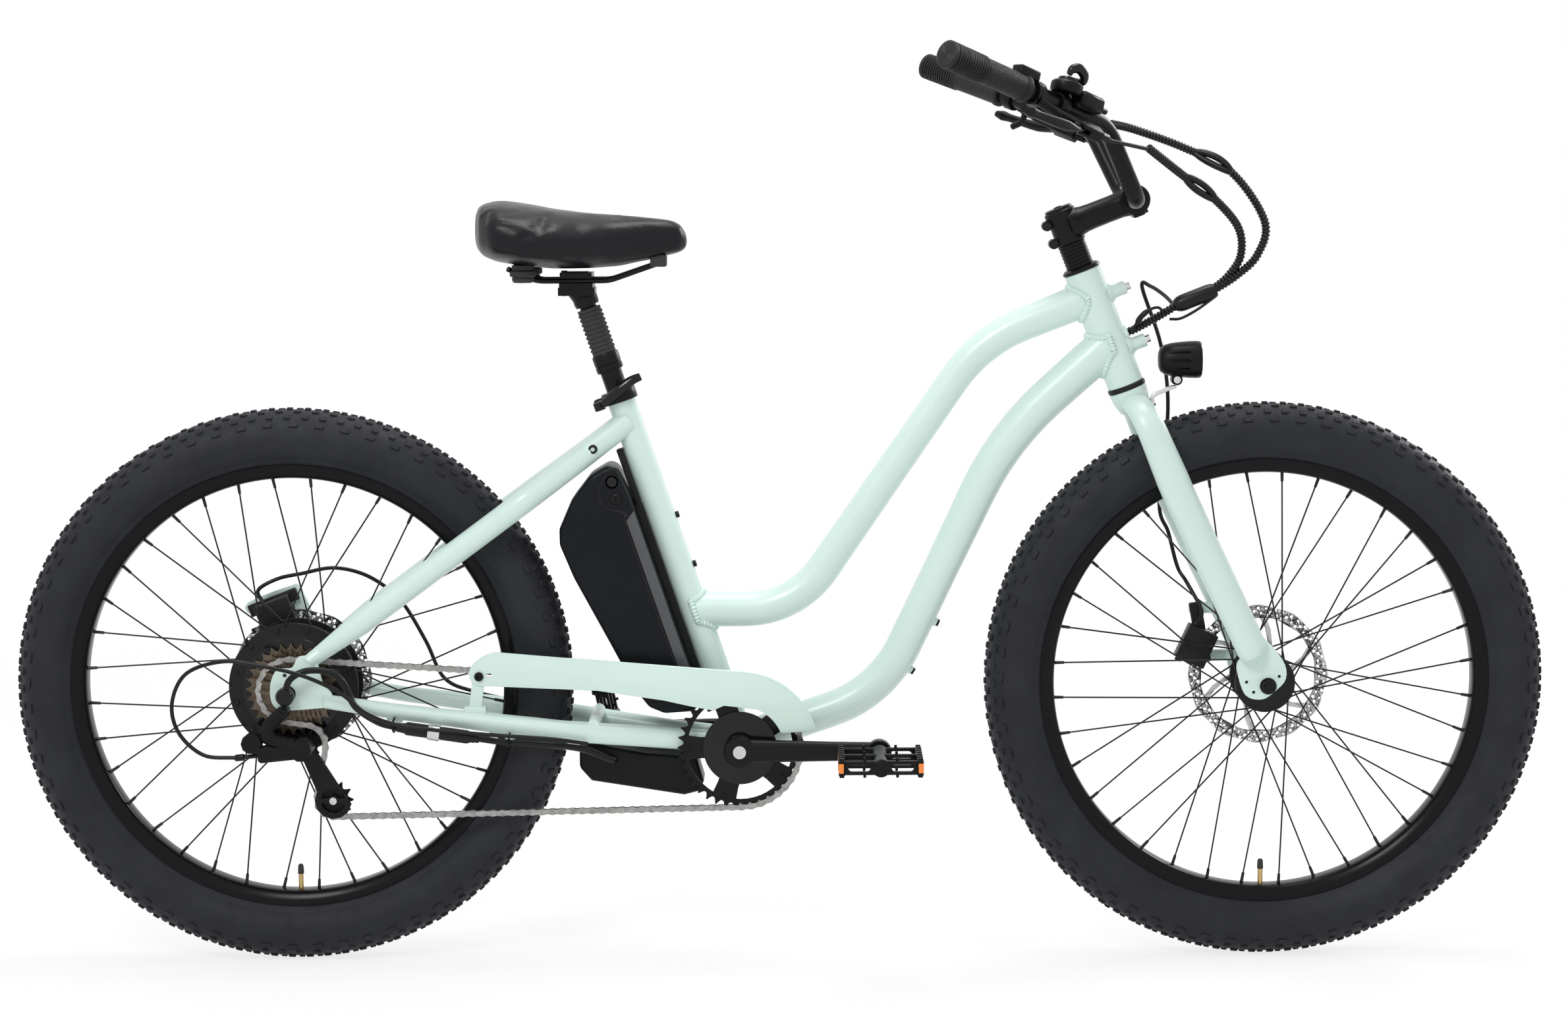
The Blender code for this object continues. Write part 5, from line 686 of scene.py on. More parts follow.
    @staticmethod
    def skinned(name: str, rings: Sequence[Sequence[Point]]) -> bpy.types.Object:
        """Skin a row of closed rings of points and cap both ends."""
        shape = bmesh.new()
        rings = [[shape.verts.new(point) for point in ring] for ring in rings]
        for first, second in zip(rings, rings[1:]):
            for side in range(len(first)):
                after = (side + 1) % len(first)
                shape.faces.new((first[side], first[after], second[after], second[side]))
        shape.faces.new(rings[0])
        shape.faces.new(rings[-1])
        mesh = bpy.data.meshes.new(name)
        shape.to_mesh(mesh)
        shape.free()
        piece = bpy.data.objects.new(name, mesh)
        bpy.context.scene.collection.objects.link(piece)
        Bench.tidy(piece, 1e-07)
        return Bench.shade(piece)

    @staticmethod
    def pebble(name: str, outline: Sequence[Point], half: float, roll: float,
            steps: int = 6) -> bpy.types.Object:
        """A thick plate in the bicycle's long plane whose rims are rolled over.

        Args:
            name: The piece's name.
            outline: The points round its widest outline.
            half: Half its thickness.
            roll: The radius that its rims are rolled with.
            steps: The steps in each rolled rim.

        Returns:
            The plate.
        """
        before, after = outline[-1:] + outline[:-1], outline[1:] + outline[:1]
        turn = math.copysign(1.0, sum(a.x * b.z - b.x * a.z for a, b in zip(outline, after)))
        inward = [Vector((a.z - b.z, 0.0, b.x - a.x)).normalized() * turn for a, b in zip(before, after)]
        angles = [math.pi / 2.0 * step / steps for step in range(steps + 1)]
        levels = [(roll * (1.0 - math.sin(angle)), roll * (1.0 - math.cos(angle)) - half) for angle in angles]
        levels += [(inset, -depth) for inset, depth in reversed(levels)]
        return Bench.skinned(name,
            [[point + lean * inset + SIDE * depth for point, lean in zip(outline, inward)] for inset,
            depth in levels])

    @staticmethod
    def oval(name: str, points: Sequence[Point], broad: Sequence[float], deep: Sequence[float],
            width: Vector) -> bpy.types.Object:
        """A bar of oval section on a curve through the points.

        Args:
            name: The piece's name.
            points: The points that the curve goes through.
            broad: Stops of the section's half width.
            deep: Stops of its half thickness.
            width: The direction of its width.

        Returns:
            The bar.
        """
        path = stepped(flowing(points), 0.002)
        wide, thick = graded(path, broad), graded(path, deep)
        length = sum((b - a).length for a, b in zip(path, path[1:]))

        def section(distance: float, angle: float) -> float:
            """The oval's radius."""
            index = min(round(distance / length * (len(path) - 1)), len(path) - 1)
            return wide[index] * thick[index] / math.hypot(thick[index] * math.cos(angle),
                wide[index] * math.sin(angle))

        return Bench.swept(name, path, section, 28, 1.0, width)

    @staticmethod
    def join(name: str, pieces: Sequence[bpy.types.Object]) -> bpy.types.Object:
        """Join several pieces into one object."""
        Bench.clear()
        for piece in pieces:
            piece.select_set(True)
        bpy.context.view_layer.objects.active = pieces[0]
        bpy.ops.object.join()
        pieces[0].name = name
        return pieces[0]

    @staticmethod
    def copies(name: str, piece: bpy.types.Object, places: Sequence[Matrix]) -> bpy.types.Object:
        """Repeat a piece at several places and join the copies, without the first."""
        made = []
        for place in places:
            copy = piece.copy()
            copy.data = piece.data.copy()
            copy.data.transform(place)
            bpy.context.scene.collection.objects.link(copy)
            made.append(copy)
        bpy.data.objects.remove(piece)
        return Bench.join(name, made)

    @staticmethod
    def cut(piece: bpy.types.Object, cutter: bpy.types.Object) -> bpy.types.Object:
        """Cut one shape out of another and drop the cutter."""
        Bench.modify(piece, "BOOLEAN", operation="DIFFERENCE", solver="EXACT", object=cutter, use_self=True)
        bpy.data.objects.remove(cutter)
        return piece

    @staticmethod
    def refined(name: str, node: str, edge: float = 0.0006, segments: int = 2) -> bpy.types.Object:
        """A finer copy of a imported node: merged, its flat faces joined, its edges rounded.

        Args:
            name: The new piece's name.
            node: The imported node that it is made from.
            edge: The width of the rounded edges.
            segments: The number of steps in them.

        Returns:
            The new piece.
        """
        source = Shop.nodes[node]
        piece = source.copy()
        piece.data = source.data.copy()
        for key in list(piece.keys()):
            del piece[key]
        piece.parent = None
        piece.name = name
        bpy.context.scene.collection.objects.link(piece)
        Bench.take(piece)
        bpy.ops.object.mode_set(mode="EDIT")
        bpy.ops.mesh.select_all(action="SELECT")
        bpy.ops.mesh.remove_doubles(threshold=1e-6)
        bpy.ops.mesh.dissolve_limited(angle_limit=math.radians(1.0))
        bpy.ops.object.mode_set(mode="OBJECT")
        if edge:
            Bench.soften(piece, edge, segments, 40.0)
        return Bench.shade(piece, math.radians(44.0))

    @staticmethod
    def bolt(name: str, centre: Point, outward: Vector, radius: float, height: float) -> bpy.types.Object:
        """A socket-head bolt: a round head with a six-sided hole in its top."""
        head = Bench.rod(name, centre, centre + outward * height, radius, 20, radius * 0.14)
        hole = Bench.rod("hole", centre + outward * (height * 0.4), centre + outward * (height * 1.5),
            radius * 0.52, 6)
        return Bench.shade(Bench.cut(head, hole))


class Shop:
    """The loaded frame, and the last step that every piece goes through."""

    nodes: dict[str, bpy.types.Object] = {}
    count: int = 0

    @staticmethod
    def fit(piece: bpy.types.Object, body: Body, finish: Finish, *nodes: str) -> bpy.types.Object:
        """Dress a finished piece and set it on its body.

        Args:
            piece: The piece.
            body: The body that carries it.
            finish: Its finish.
            nodes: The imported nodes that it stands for.

        Returns:
            The piece.
        """
        piece.data.materials.clear()
        piece.data.materials.append(finish.material())
        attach(piece, body.value)
        if nodes:
            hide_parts(*nodes)
        Shop.count += 1
        LOG.info("%s on %s", piece.name, body.value)
        return piece

    @staticmethod
    def refit(name: str, node: str, body: Body, finish: Finish, edge: float, segments: int) -> None:
        """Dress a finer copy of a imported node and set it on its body."""
        Shop.fit(Bench.refined(name, node, edge, segments), body, finish, node)


@dataclass
class FrameSet:
    """The welded step-through frame with its bosses, screws and cable tabs."""

    head_radius: float = 0.023
    head_length: float = 0.154
    top_radius: float = 0.0205
    down_radius: float = 0.0225
    seat_radius: float = 0.0176
    seat_length: float = 0.473
    shell_radius: float = 0.0205
    shell_width: float = 0.068
    stay_offset: float = 0.064
    plate_inner: float = 0.068
    plate_thickness: float = 0.006
    boss_levels: tuple[float, float] = 0.115, 0.044
    tie_places: tuple[tuple[float, float], ...] = (-0.4827, 0.319), (-0.3378, 0.299)
    screw_shares: tuple[float, float] = 0.3195, 0.409
    parts: list = field(default_factory=list)

    def top_path(self) -> list[Point]:
        """The top tube's line from the seat tube up to the head tube."""
        return stepped(rounded([at_seat(0.0, 0.0, 0.179), near(BB, 0.071, 0.0, 0.1695),
            near(BB, 0.3066, 0.0, 0.5088), at_head(0.0, 0.0, 0.119)], [0.119, 0.19]), 0.006)

    def down_path(self) -> list[Point]:
        """The down tube's line from the bottom bracket up to the head tube."""
        return stepped(rounded([BB, near(BB, 0.18, 0.0, 0.0613), near(BB, 0.3362, 0.0, 0.3873),
            at_head(0.0, 0.0, 0.057)], [0.16, 0.39]), 0.006)

    def main_tubes(self) -> None:
        """The head, seat, top and down tubes and the bottom bracket's shell."""
        top, down = self.top_path(), self.down_path()
        self.parts.append(Bench.runs("top_tube", [top],
            [graded(top, [r * self.top_radius for r in (1.1, 1.0, 0.95, 1.07)])], 32))
        self.parts.append(Bench.runs("down_tube", [down],
            [graded(down, [r * self.down_radius for r in (1.0, 0.98, 1.13)])], 32))
        radius, length = self.head_radius, self.head_length
        self.parts.append(Bench.turned("head_tube", [(radius - 0.004, 0.0), (radius - 0.0008, 0.0),
            (radius, 0.001), (radius, length - 0.001), (radius - 0.0008, length), (radius - 0.004, length)],
            HEAD_FOOT, HEAD_UP, 48))
        radius, length = self.seat_radius, self.seat_length
        self.parts.append(Bench.turned("seat_tube",
            [(0.0, 0.004), (radius, 0.004), (radius, length - 0.0012), (radius - 0.001, length),
            (radius - 0.0034, length), (radius - 0.0034, length - 0.06)], BB, SEAT_UP, 40))
        radius, half = self.shell_radius, self.shell_width / 2.0
        self.parts.append(Bench.turned("bracket_shell", [(radius - 0.004, -half), (radius - 0.001, -half),
            (radius, -half + 0.001), (radius, half - 0.001), (radius - 0.001, half), (radius - 0.004, half)],
            BB, SIDE, 40))

    def stays(self) -> None:
        """The seat stays and chain stays, with the bridge between the chain stays."""
        for side in (RIGHT, LEFT):
            offset = side * self.stay_offset
            plate = side * (self.plate_inner + self.plate_thickness / 2.0)
            seat_stay = stepped(rounded([at_seat(0.0, side * 0.008, 0.434),
                near(REAR, 0.375, side * 0.026, 0.2955), near(REAR, 0.3, offset, 0.2404),
                near(REAR, 0.0414, offset, 0.05), near(REAR, 0.026, plate, 0.039)], [0.02, 0.06, 0.012]),
                0.005)
            chain_stay = stepped(rounded([near(BB, -0.004, side * 0.018, 0.0005),
                near(BB, -0.088, side * 0.029, 0.0085), near(REAR, 0.34, offset, -0.0505),
                near(REAR, 0.1334, offset, -0.0245), near(REAR, 0.0464, plate, -0.01)], [0.09, 0.12, 0.15]),
                0.005)
            self.parts.append(Bench.runs("seat_stay", [seat_stay],
                [graded(seat_stay, [0.015] * 6 + [0.009])], 24))
            self.parts.append(Bench.runs("chain_stay", [chain_stay],
                [graded(chain_stay, [0.0135, 0.0135, 0.0135, 0.0105, 0.009])], 24))
        self.parts.append(Bench.rod("bridge", near(REAR, 0.383, -0.06, -0.045),
            near(REAR, 0.383, 0.06, -0.045), 0.008, 24, 0.001))

    def dropouts(self) -> None:
        """The rear plates round the axle, the hanger's lug and the brake's tab."""
        outline = flowing([Vector((x, 0.0, z)) for x, z in ((0.053, -0.0175), (0.056, -0.002),
            (0.044, 0.015), (0.036, 0.044), (0.015, 0.047), (0.006, 0.033), (-0.012, 0.031), (-0.021, 0.014),
            (-0.021, -0.008), (-0.013, -0.019), (0.005, -0.021), (0.053, -0.0175))], 4)[:-1]
        for side in (RIGHT, LEFT):
            low, high = sorted((side * self.plate_inner, side * (self.plate_inner + self.plate_thickness)))
            plate = Bench.plate("dropout", [(REAR.x + p.x, REAR.z + p.z) for p in outline], low, high, 0.0008)
            eyelet = Bench.rod("eyelet_hole", near(REAR, -0.003, side * 0.06, 0.0235),
                near(REAR, -0.003, side * 0.08, 0.0235), 0.0026, 16)
            self.parts.append(Bench.shade(Bench.cut(plate, eyelet)))
        tab = flowing([Vector((x, 0.0, z)) for x, z in ((0.012, 0.03), (0.022, 0.05), (-0.002, 0.114),
            (-0.018, 0.117), (-0.072, 0.096), (-0.066, 0.08), (-0.024, 0.084), (-0.012, 0.04),
            (0.012, 0.03))], 3)[:-1]
        self.parts.append(Bench.plate("brake_tab", [(REAR.x + p.x, REAR.z + p.z) for p in tab],
            self.plate_inner, self.plate_inner + self.plate_thickness, 0.0008))

    def screw_places(self) -> list[tuple[Point, Vector]]:
        """The two screws' places on the down tube's middle line, and the way out below."""
        down = self.down_path()
        places = []
        for share in self.screw_shares:
            index = int(len(down) * share)
            heading = (down[index + 1] - down[index - 1]).normalized()
            places.append((down[index], Vector((heading.z, 0.0, -heading.x))))
        return places

    def bosses(self) -> None:
        """The basket bosses, the loom's entry ring and the guard's lug."""
        for up in self.boss_levels:
            self.parts.append(Bench.turned("basket_boss", [(0.0, 0.018), (0.015, 0.019), (0.0125, 0.0235),
                (0.01, 0.026), (0.0085, 0.029), (0.0085, 0.0425), (0.0078, 0.0435), (0.0, 0.0435)],
                at_head(0.0, 0.0, up), HEAD_AHEAD, 32))
        self.parts.append(Bench.turned("loom_entry", [(0.0, 0.018), (0.0095, 0.018), (0.0095, 0.025),
            (0.0085, 0.026), (0.0, 0.026)], at_head(0.0, 0.0, 0.061), HEAD_AHEAD, 32))
        for place, below in self.screw_places():
            foot = place + below * (self.down_radius - 0.003)
            self.parts.append(Bench.rod("screw_boss", foot, foot + below * 0.0056, 0.0058, 24, 0.0008))
        for x, z in self.tie_places:
            tab = [(x + 0.011 * math.cos(math.radians(a)), z + 0.0035 + 0.0085 * math.sin(math.radians(a)))
                for a in range(180, 361, 15)]
            self.parts.append(Bench.plate("tie_tab", tab, -0.0665, -0.0625, 0.0008))
        self.parts.append(Bench.brick("guard_lug", near(REAR, 0.235, -self.stay_offset, -0.0235),
            (0.0285, 0.012, 0.01), edge=0.0025))

    def weld(self, start: Point, heading: Vector, radius: float, axis_point: Point, axis: Vector,
            reach: float) -> None:
        """A rippled weld bead where a tube meets another.

        Args:
            start: A point on the joining tube's middle line, outside the other tube.
            heading: The joining tube's direction toward the other tube.
            radius: The joining tube's radius.
            axis_point: A point on the other tube's axis.
            axis: The other tube's direction.
            reach: The other tube's radius.
        """
        side = heading.cross(axis).normalized()
        rise = side.cross(heading).normalized()
        loop = []
        for step in range(96):
            angle = 2.0 * math.pi * step / 96
            point = start + side * (radius * math.cos(angle)) + rise * (radius * math.sin(angle))
            beside = min(abs((point - axis_point).dot(side)), reach)
            depth = math.sqrt(reach * reach - beside * beside)
            flat = axis.cross(side).normalized()
            if flat.dot(heading) > 0.0:
                flat = -flat
            gap = (point - axis_point).dot(flat) - depth
            loop.append(point + heading * (gap / -heading.dot(flat)))
        loop.append(loop[0].copy())
        path = stepped(loop, 0.0011)
        swell = [0.004 + 0.0009 * math.sin(index * 1.7) for index in range(len(path))]
        self.parts.append(Bench.runs("weld_bead", [path], [swell], 12))

    def welds(self) -> None:
        """The beads at the head tube, the seat tube and the bottom bracket."""
        top, down = self.top_path(), self.down_path()
        self.weld(top[-9], (top[-1] - top[-9]).normalized(), self.top_radius * 1.06, HEAD_FOOT, HEAD_UP,
            self.head_radius)
        self.weld(down[-10], (down[-1] - down[-10]).normalized(), self.down_radius * 1.11, HEAD_FOOT,
            HEAD_UP, self.head_radius)
        self.weld(top[9], (top[0] - top[9]).normalized(), self.top_radius * 1.09, BB, SEAT_UP,
            self.seat_radius)
        self.weld(down[8], (down[0] - down[8]).normalized(), self.down_radius, BB, SIDE, self.shell_radius)
        self.weld(at_seat(0.0, 0.0, 0.06), -SEAT_UP, self.seat_radius, BB, SIDE, self.shell_radius)

    def fittings(self) -> None:
        """Small bolts: down tube and seat tube screws, stay bolt and cable tabs."""
        screws = [Bench.bolt("bottle_screw", place + below * (self.down_radius + 0.0022), below, 0.0046,
            0.0034) for place, below in self.screw_places()]
        for up in (0.2345, 0.301):
            screws.append(Bench.bolt("bottle_screw", at_seat(-self.seat_radius + 0.0005, 0.0, up),
                -SEAT_BACK, 0.0042, 0.0045))
        Shop.fit(Bench.join("frame_screws", screws), Body.FRAME, Finishes.BLACK_PAINT)
        bolts = [Bench.bolt("stay_bolt", Vector((-0.231, side * 0.0345, 0.6583)), SIDE * side, 0.0058,
            0.0045) for side in (RIGHT, LEFT)]
        Shop.fit(Bench.join("stay_bolts", bolts), Body.FRAME, Finishes.ALLOY)
        ties = []
        for x, z in self.tie_places:
            loop = []
            for step in range(25):
                turn = 2.0 * math.pi * step / 24
                loop.append(Vector((x, -0.0755 + 0.015 * math.cos(turn), z - 0.0035 + 0.0085
                    * math.sin(turn))))
            ties.append(Bench.runs("tie_strap", [loop], 0.0014, 8))
            ties.append(Bench.brick("tie_head", Vector((x, -0.089, z - 0.0035)), (0.0052, 0.004, 0.0066),
                edge=0.0008))
        Shop.fit(Bench.join("frame_ties", ties), Body.FRAME, Finishes.PLASTIC)

    def build(self) -> None:
        """Model the frame and set it on its body."""
        self.main_tubes()
        self.stays()
        self.dropouts()
        self.bosses()
        self.welds()
        Shop.fit(Bench.join("frame_painted", self.parts), Body.FRAME, Finishes.MINT, "frame")
        self.fittings()
        inserts = [Bench.bolt("boss_insert", at_head(0.04, 0.0, up), HEAD_AHEAD, 0.005, 0.0095)
            for up in self.boss_levels]
        Shop.fit(Bench.join("boss_inserts", inserts), Body.FRAME, Finishes.BOLT)


@dataclass
class Fork:
    """The painted fork with its crown, legs, dropout plates and brake mount."""

    leg_offset: float = 0.062
    leg_depth: float = 0.022
    squash: float = 0.75
    axle_width: float = 0.1
    plate: float = 0.006
    crown_drop: float = 0.0063

    def leg(self, side: int) -> bpy.types.Object:
        """One oval leg from under the crown down to the plate."""
        crown = -self.crown_drop
        path = stepped(rounded([at_head(0.001, side * 0.008, crown - 0.018),
            at_head(0.006, side * 0.052, crown - 0.03), near(FRONT, -0.1148, side * self.leg_offset, 0.2445),
            near(FRONT, -0.0175, side * self.leg_offset, 0.0395)], [0.04, 0.3], 3.0), 0.005)
        stops = graded(path, [self.leg_depth * share for share in (0.8, 1.0, 0.97, 0.94)])
        length = sum((b - a).length for a, b in zip(path, path[1:]))

        def section(distance: float, angle: float) -> float:
            """The leg's depth, drawn in at its very end."""
            place = min(int(distance / length * (len(stops) - 1)), len(stops) - 1)
            left = length - distance
            return stops[place] * (1.0 if left > 0.008 else 0.8 + 0.2 * math.sqrt(max(left, 0.0) / 0.008))

        return Bench.swept("fork_leg", path, section, 32, self.squash)

    def build(self) -> None:
        """Model the fork and set it on the steering body."""
        crown = -self.crown_drop
        parts = [self.leg(side) for side in (RIGHT, LEFT)]
        parts.append(Bench.turned("fork_crown", [(0.0, crown - 0.034), (0.012, crown - 0.033),
            (0.019, crown - 0.026), (0.0228, crown - 0.014), (0.024, crown - 0.004), (0.024, crown - 0.001),
            (0.0232, crown), (0.0, crown)], HEAD_FOOT, HEAD_UP, 48))
        outline = flowing([Vector((x, 0.0, z)) for x, z in ((-0.039, 0.03), (-0.0388, 0.018),
            (-0.0286, -0.0113), (-0.0079, -0.0173), (0.0086, -0.0073), (0.0225, 0.0094), (0.018, 0.033),
            (-0.01, 0.06), (-0.039, 0.03))], 4)[:-1]
        for side in (RIGHT, LEFT):
            low, high = sorted((side * self.axle_width / 2.0, side * (self.axle_width / 2.0 + self.plate)))
            plate = Bench.plate("fork_plate", [(FRONT.x + p.x, FRONT.z + p.z) for p in outline], low, high,
                0.0008)
            for x, z in ((-0.027, 0.005), (-0.018, -0.008), (0.014, 0.012)):
                plate = Bench.cut(plate, Bench.rod("eyelet", near(FRONT, x, side * 0.045, z),
                    near(FRONT, x, side * 0.06, z), 0.0022, 14))
            parts.append(Bench.shade(plate))
        for (x, z), reach in zip(((-0.079, 0.084), (-0.068, 0.022)), (0.04, 0.046)):
            parts.append(Bench.brick("brake_ear", near(FRONT, x + reach / 2.0 - 0.008, 0.058, z),
                (reach, 0.008, 0.014), edge=0.002))
        Shop.fit(Bench.join("fork_painted", parts), Body.STEERING, Finishes.MINT, "fork")
        nut = near(HEAD_FOOT, 0.033, 0.0, -0.0231)
        bolts = [Bench.bolt("crown_bolt", nut - HEAD_AHEAD * 0.004, HEAD_AHEAD, 0.0055, 0.008)]
        Shop.fit(Bench.join("crown_bolts", bolts), Body.STEERING, Finishes.BOLT)


@dataclass
class Wheel:
    """One spoked wheel with its tyre, seen from its own axle."""

    name: str
    axle: Point
    body: Body
    flange_radius: float
    flange_offset: float
    lean: float
    lift: float
    spoke_count: int = 36
    rim_radius: float = 0.283
    rim_depth: float = 0.017

    def tyre(self) -> None:
        """The balloon tyre: casing with moulded bands, and rows of low tread blocks."""
        casing = 0.3526
        half = 0.0366
        middle = 0.3175
        line = [(self.rim_radius - 0.004, 0.0175), (self.rim_radius + 0.0015, 0.019),
            (self.rim_radius + 0.003, 0.0212), (self.rim_radius + 0.0055, 0.0222)]
        for angle in range(-44, 91, 6):
            turn = math.radians(angle)
            bulge = half * (1.0 - 0.02 * math.cos(2.0 * turn))
            line.append((middle + (casing - middle) * math.sin(turn), bulge * math.cos(turn)))
        line = line[:-1] + [(casing, 0.0)]
        profile = line + [(radius, -offset) for radius, offset in reversed(line[:-1])]
        casing_piece = Bench.turned(f"{self.name}_casing", profile, self.axle, SIDE, 180)
        blocks = []
        rows = ((0.0, 96, 0.0075, 0.0095, 0.0), (0.0125, 96, 0.009, 0.007, 0.5),
            (-0.0125, 96, 0.009, 0.007, 0.5), (0.0235, 96, 0.0085, 0.0075, 0.0),
            (-0.0235, 96, 0.0085, 0.0075, 0.0), (0.0315, 64, 0.012, 0.006, 0.25),
            (-0.0315, 64, 0.012, 0.006, 0.25))
        for offset, count, long, wide, phase in rows:
            tilt = math.asin(max(-1.0, min(1.0, offset / half)))
            radius = middle + (casing - middle) * math.cos(tilt)
            rise = 0.0028 if abs(offset) < 0.03 else 0.0022
            block = Bench.brick("tread_block", Vector((0.0, 0.0, 0.0)), (long, wide, rise + 0.0022),
                edge=0.0009, segments=1)
            lean_out = Matrix.Rotation(-tilt, 4, "X")
            places = []
            for index in range(count):
                turn = 2.0 * math.pi * (index + phase) / count
                out = Matrix.Rotation(turn, 4, "Y")
                places.append(Matrix.Translation(self.axle) @ out
                    @ Matrix.Translation((0.0, offset, radius + (rise - 0.0022) / 2.0 - 0.0004)) @ lean_out)
            blocks.append(Bench.copies("tread_row", block, places))
        piece = Bench.join(f"{self.name}_tyre", [casing_piece] + blocks)
        Shop.fit(piece, self.body, Finishes.tyre(f"{self.name}_tyre_rubber", self.axle), f"{self.name}_tyre")

    def rim(self) -> None:
        """The rim with its two walls."""
        outer, inner = self.rim_radius, self.rim_radius - self.rim_depth
        half = 0.021
        profile = [(outer + 0.0002, half), (outer - 0.001, half - 0.0012), (outer - 0.005, half - 0.003),
            (outer - 0.005, 0.003 - half), (outer - 0.001, 0.0012 - half), (outer + 0.0002, -half),
            (outer - 0.002, -half + 0.0002), (inner + 0.0035, -half * 0.78), (inner + 0.0008, -half * 0.6),
            (inner, -half * 0.45), (inner, half * 0.45), (inner + 0.0008, half * 0.6),
            (inner + 0.0035, half * 0.78), (outer - 0.002, half - 0.0002)]
        rim = Bench.turned(f"{self.name}_rim_hoop", profile, self.axle, SIDE, 180, True)
        Shop.fit(rim, self.body, Finishes.RIM, f"{self.name}_wheel_rim")

    def lacing(self) -> None:
        """The crossed spokes with bent heads at the flanges and nipples at the rim."""
        rim = self.rim_radius - self.rim_depth + 0.001
        step = 360.0 / self.spoke_count
        spokes, nipples = [], []
        for index in range(self.spoke_count):
            side = RIGHT if index % 2 else LEFT
            ahead = 1.0 if index // 2 % 2 else -1.0
            rim_angle = (index + 0.5) * step
            hub_angle = rim_angle + ahead * self.lean
            depth = side * (self.flange_offset + ahead * self.lift)
            start = around(self.axle, self.flange_radius, hub_angle, depth)
            end = around(self.axle, rim, rim_angle, side * 0.004 + ahead * 0.0017)
            heading = (end - start).normalized()
            head = start - heading * 0.001 - SIDE * (side * ahead * 0.0035)
            spokes.append([head, start + heading * 0.0008, start + heading * 0.004, end])
            nipples.append([end - heading * 0.0135, end - heading * 0.013, end - heading * 0.003, end])
        lacing = Bench.runs("spokes", spokes, 0.00105, 8)
        caps = Bench.runs("nipples", nipples, [[0.0013, 0.0019, 0.0021, 0.0026]] * self.spoke_count, 8)
        Shop.fit(Bench.join(f"{self.name}_spokes", [lacing, caps]), self.body, Finishes.SPOKE)

    def valve(self) -> None:
        """The brass valve stem at the rim's lowest point, with its dust cap."""
        foot = self.axle - UP * (self.rim_radius - self.rim_depth + 0.001)
        stem = Bench.runs("valve", [[foot, foot + UP * 0.02, foot + UP * 0.021, foot + UP * 0.024]],
            [[0.0032, 0.0032, 0.0026, 0.0026]], 16)
        Shop.fit(stem, self.body, Finishes.BRASS).name = f"{self.name}_valve"
        cap = Bench.turned(f"{self.name}_valve_cap", [(0.0, 0.0), (0.0036, 0.0), (0.004, 0.001),
            (0.0036, 0.01), (0.0024, 0.0125), (0.0, 0.013)], foot + UP * 0.0205, UP, 20)
        Shop.fit(cap, self.body, Finishes.RUBBER)

    def build(self) -> None:
        """Model the wheel round its axle."""
        self.tyre()
        self.rim()
        self.lacing()
        self.valve()


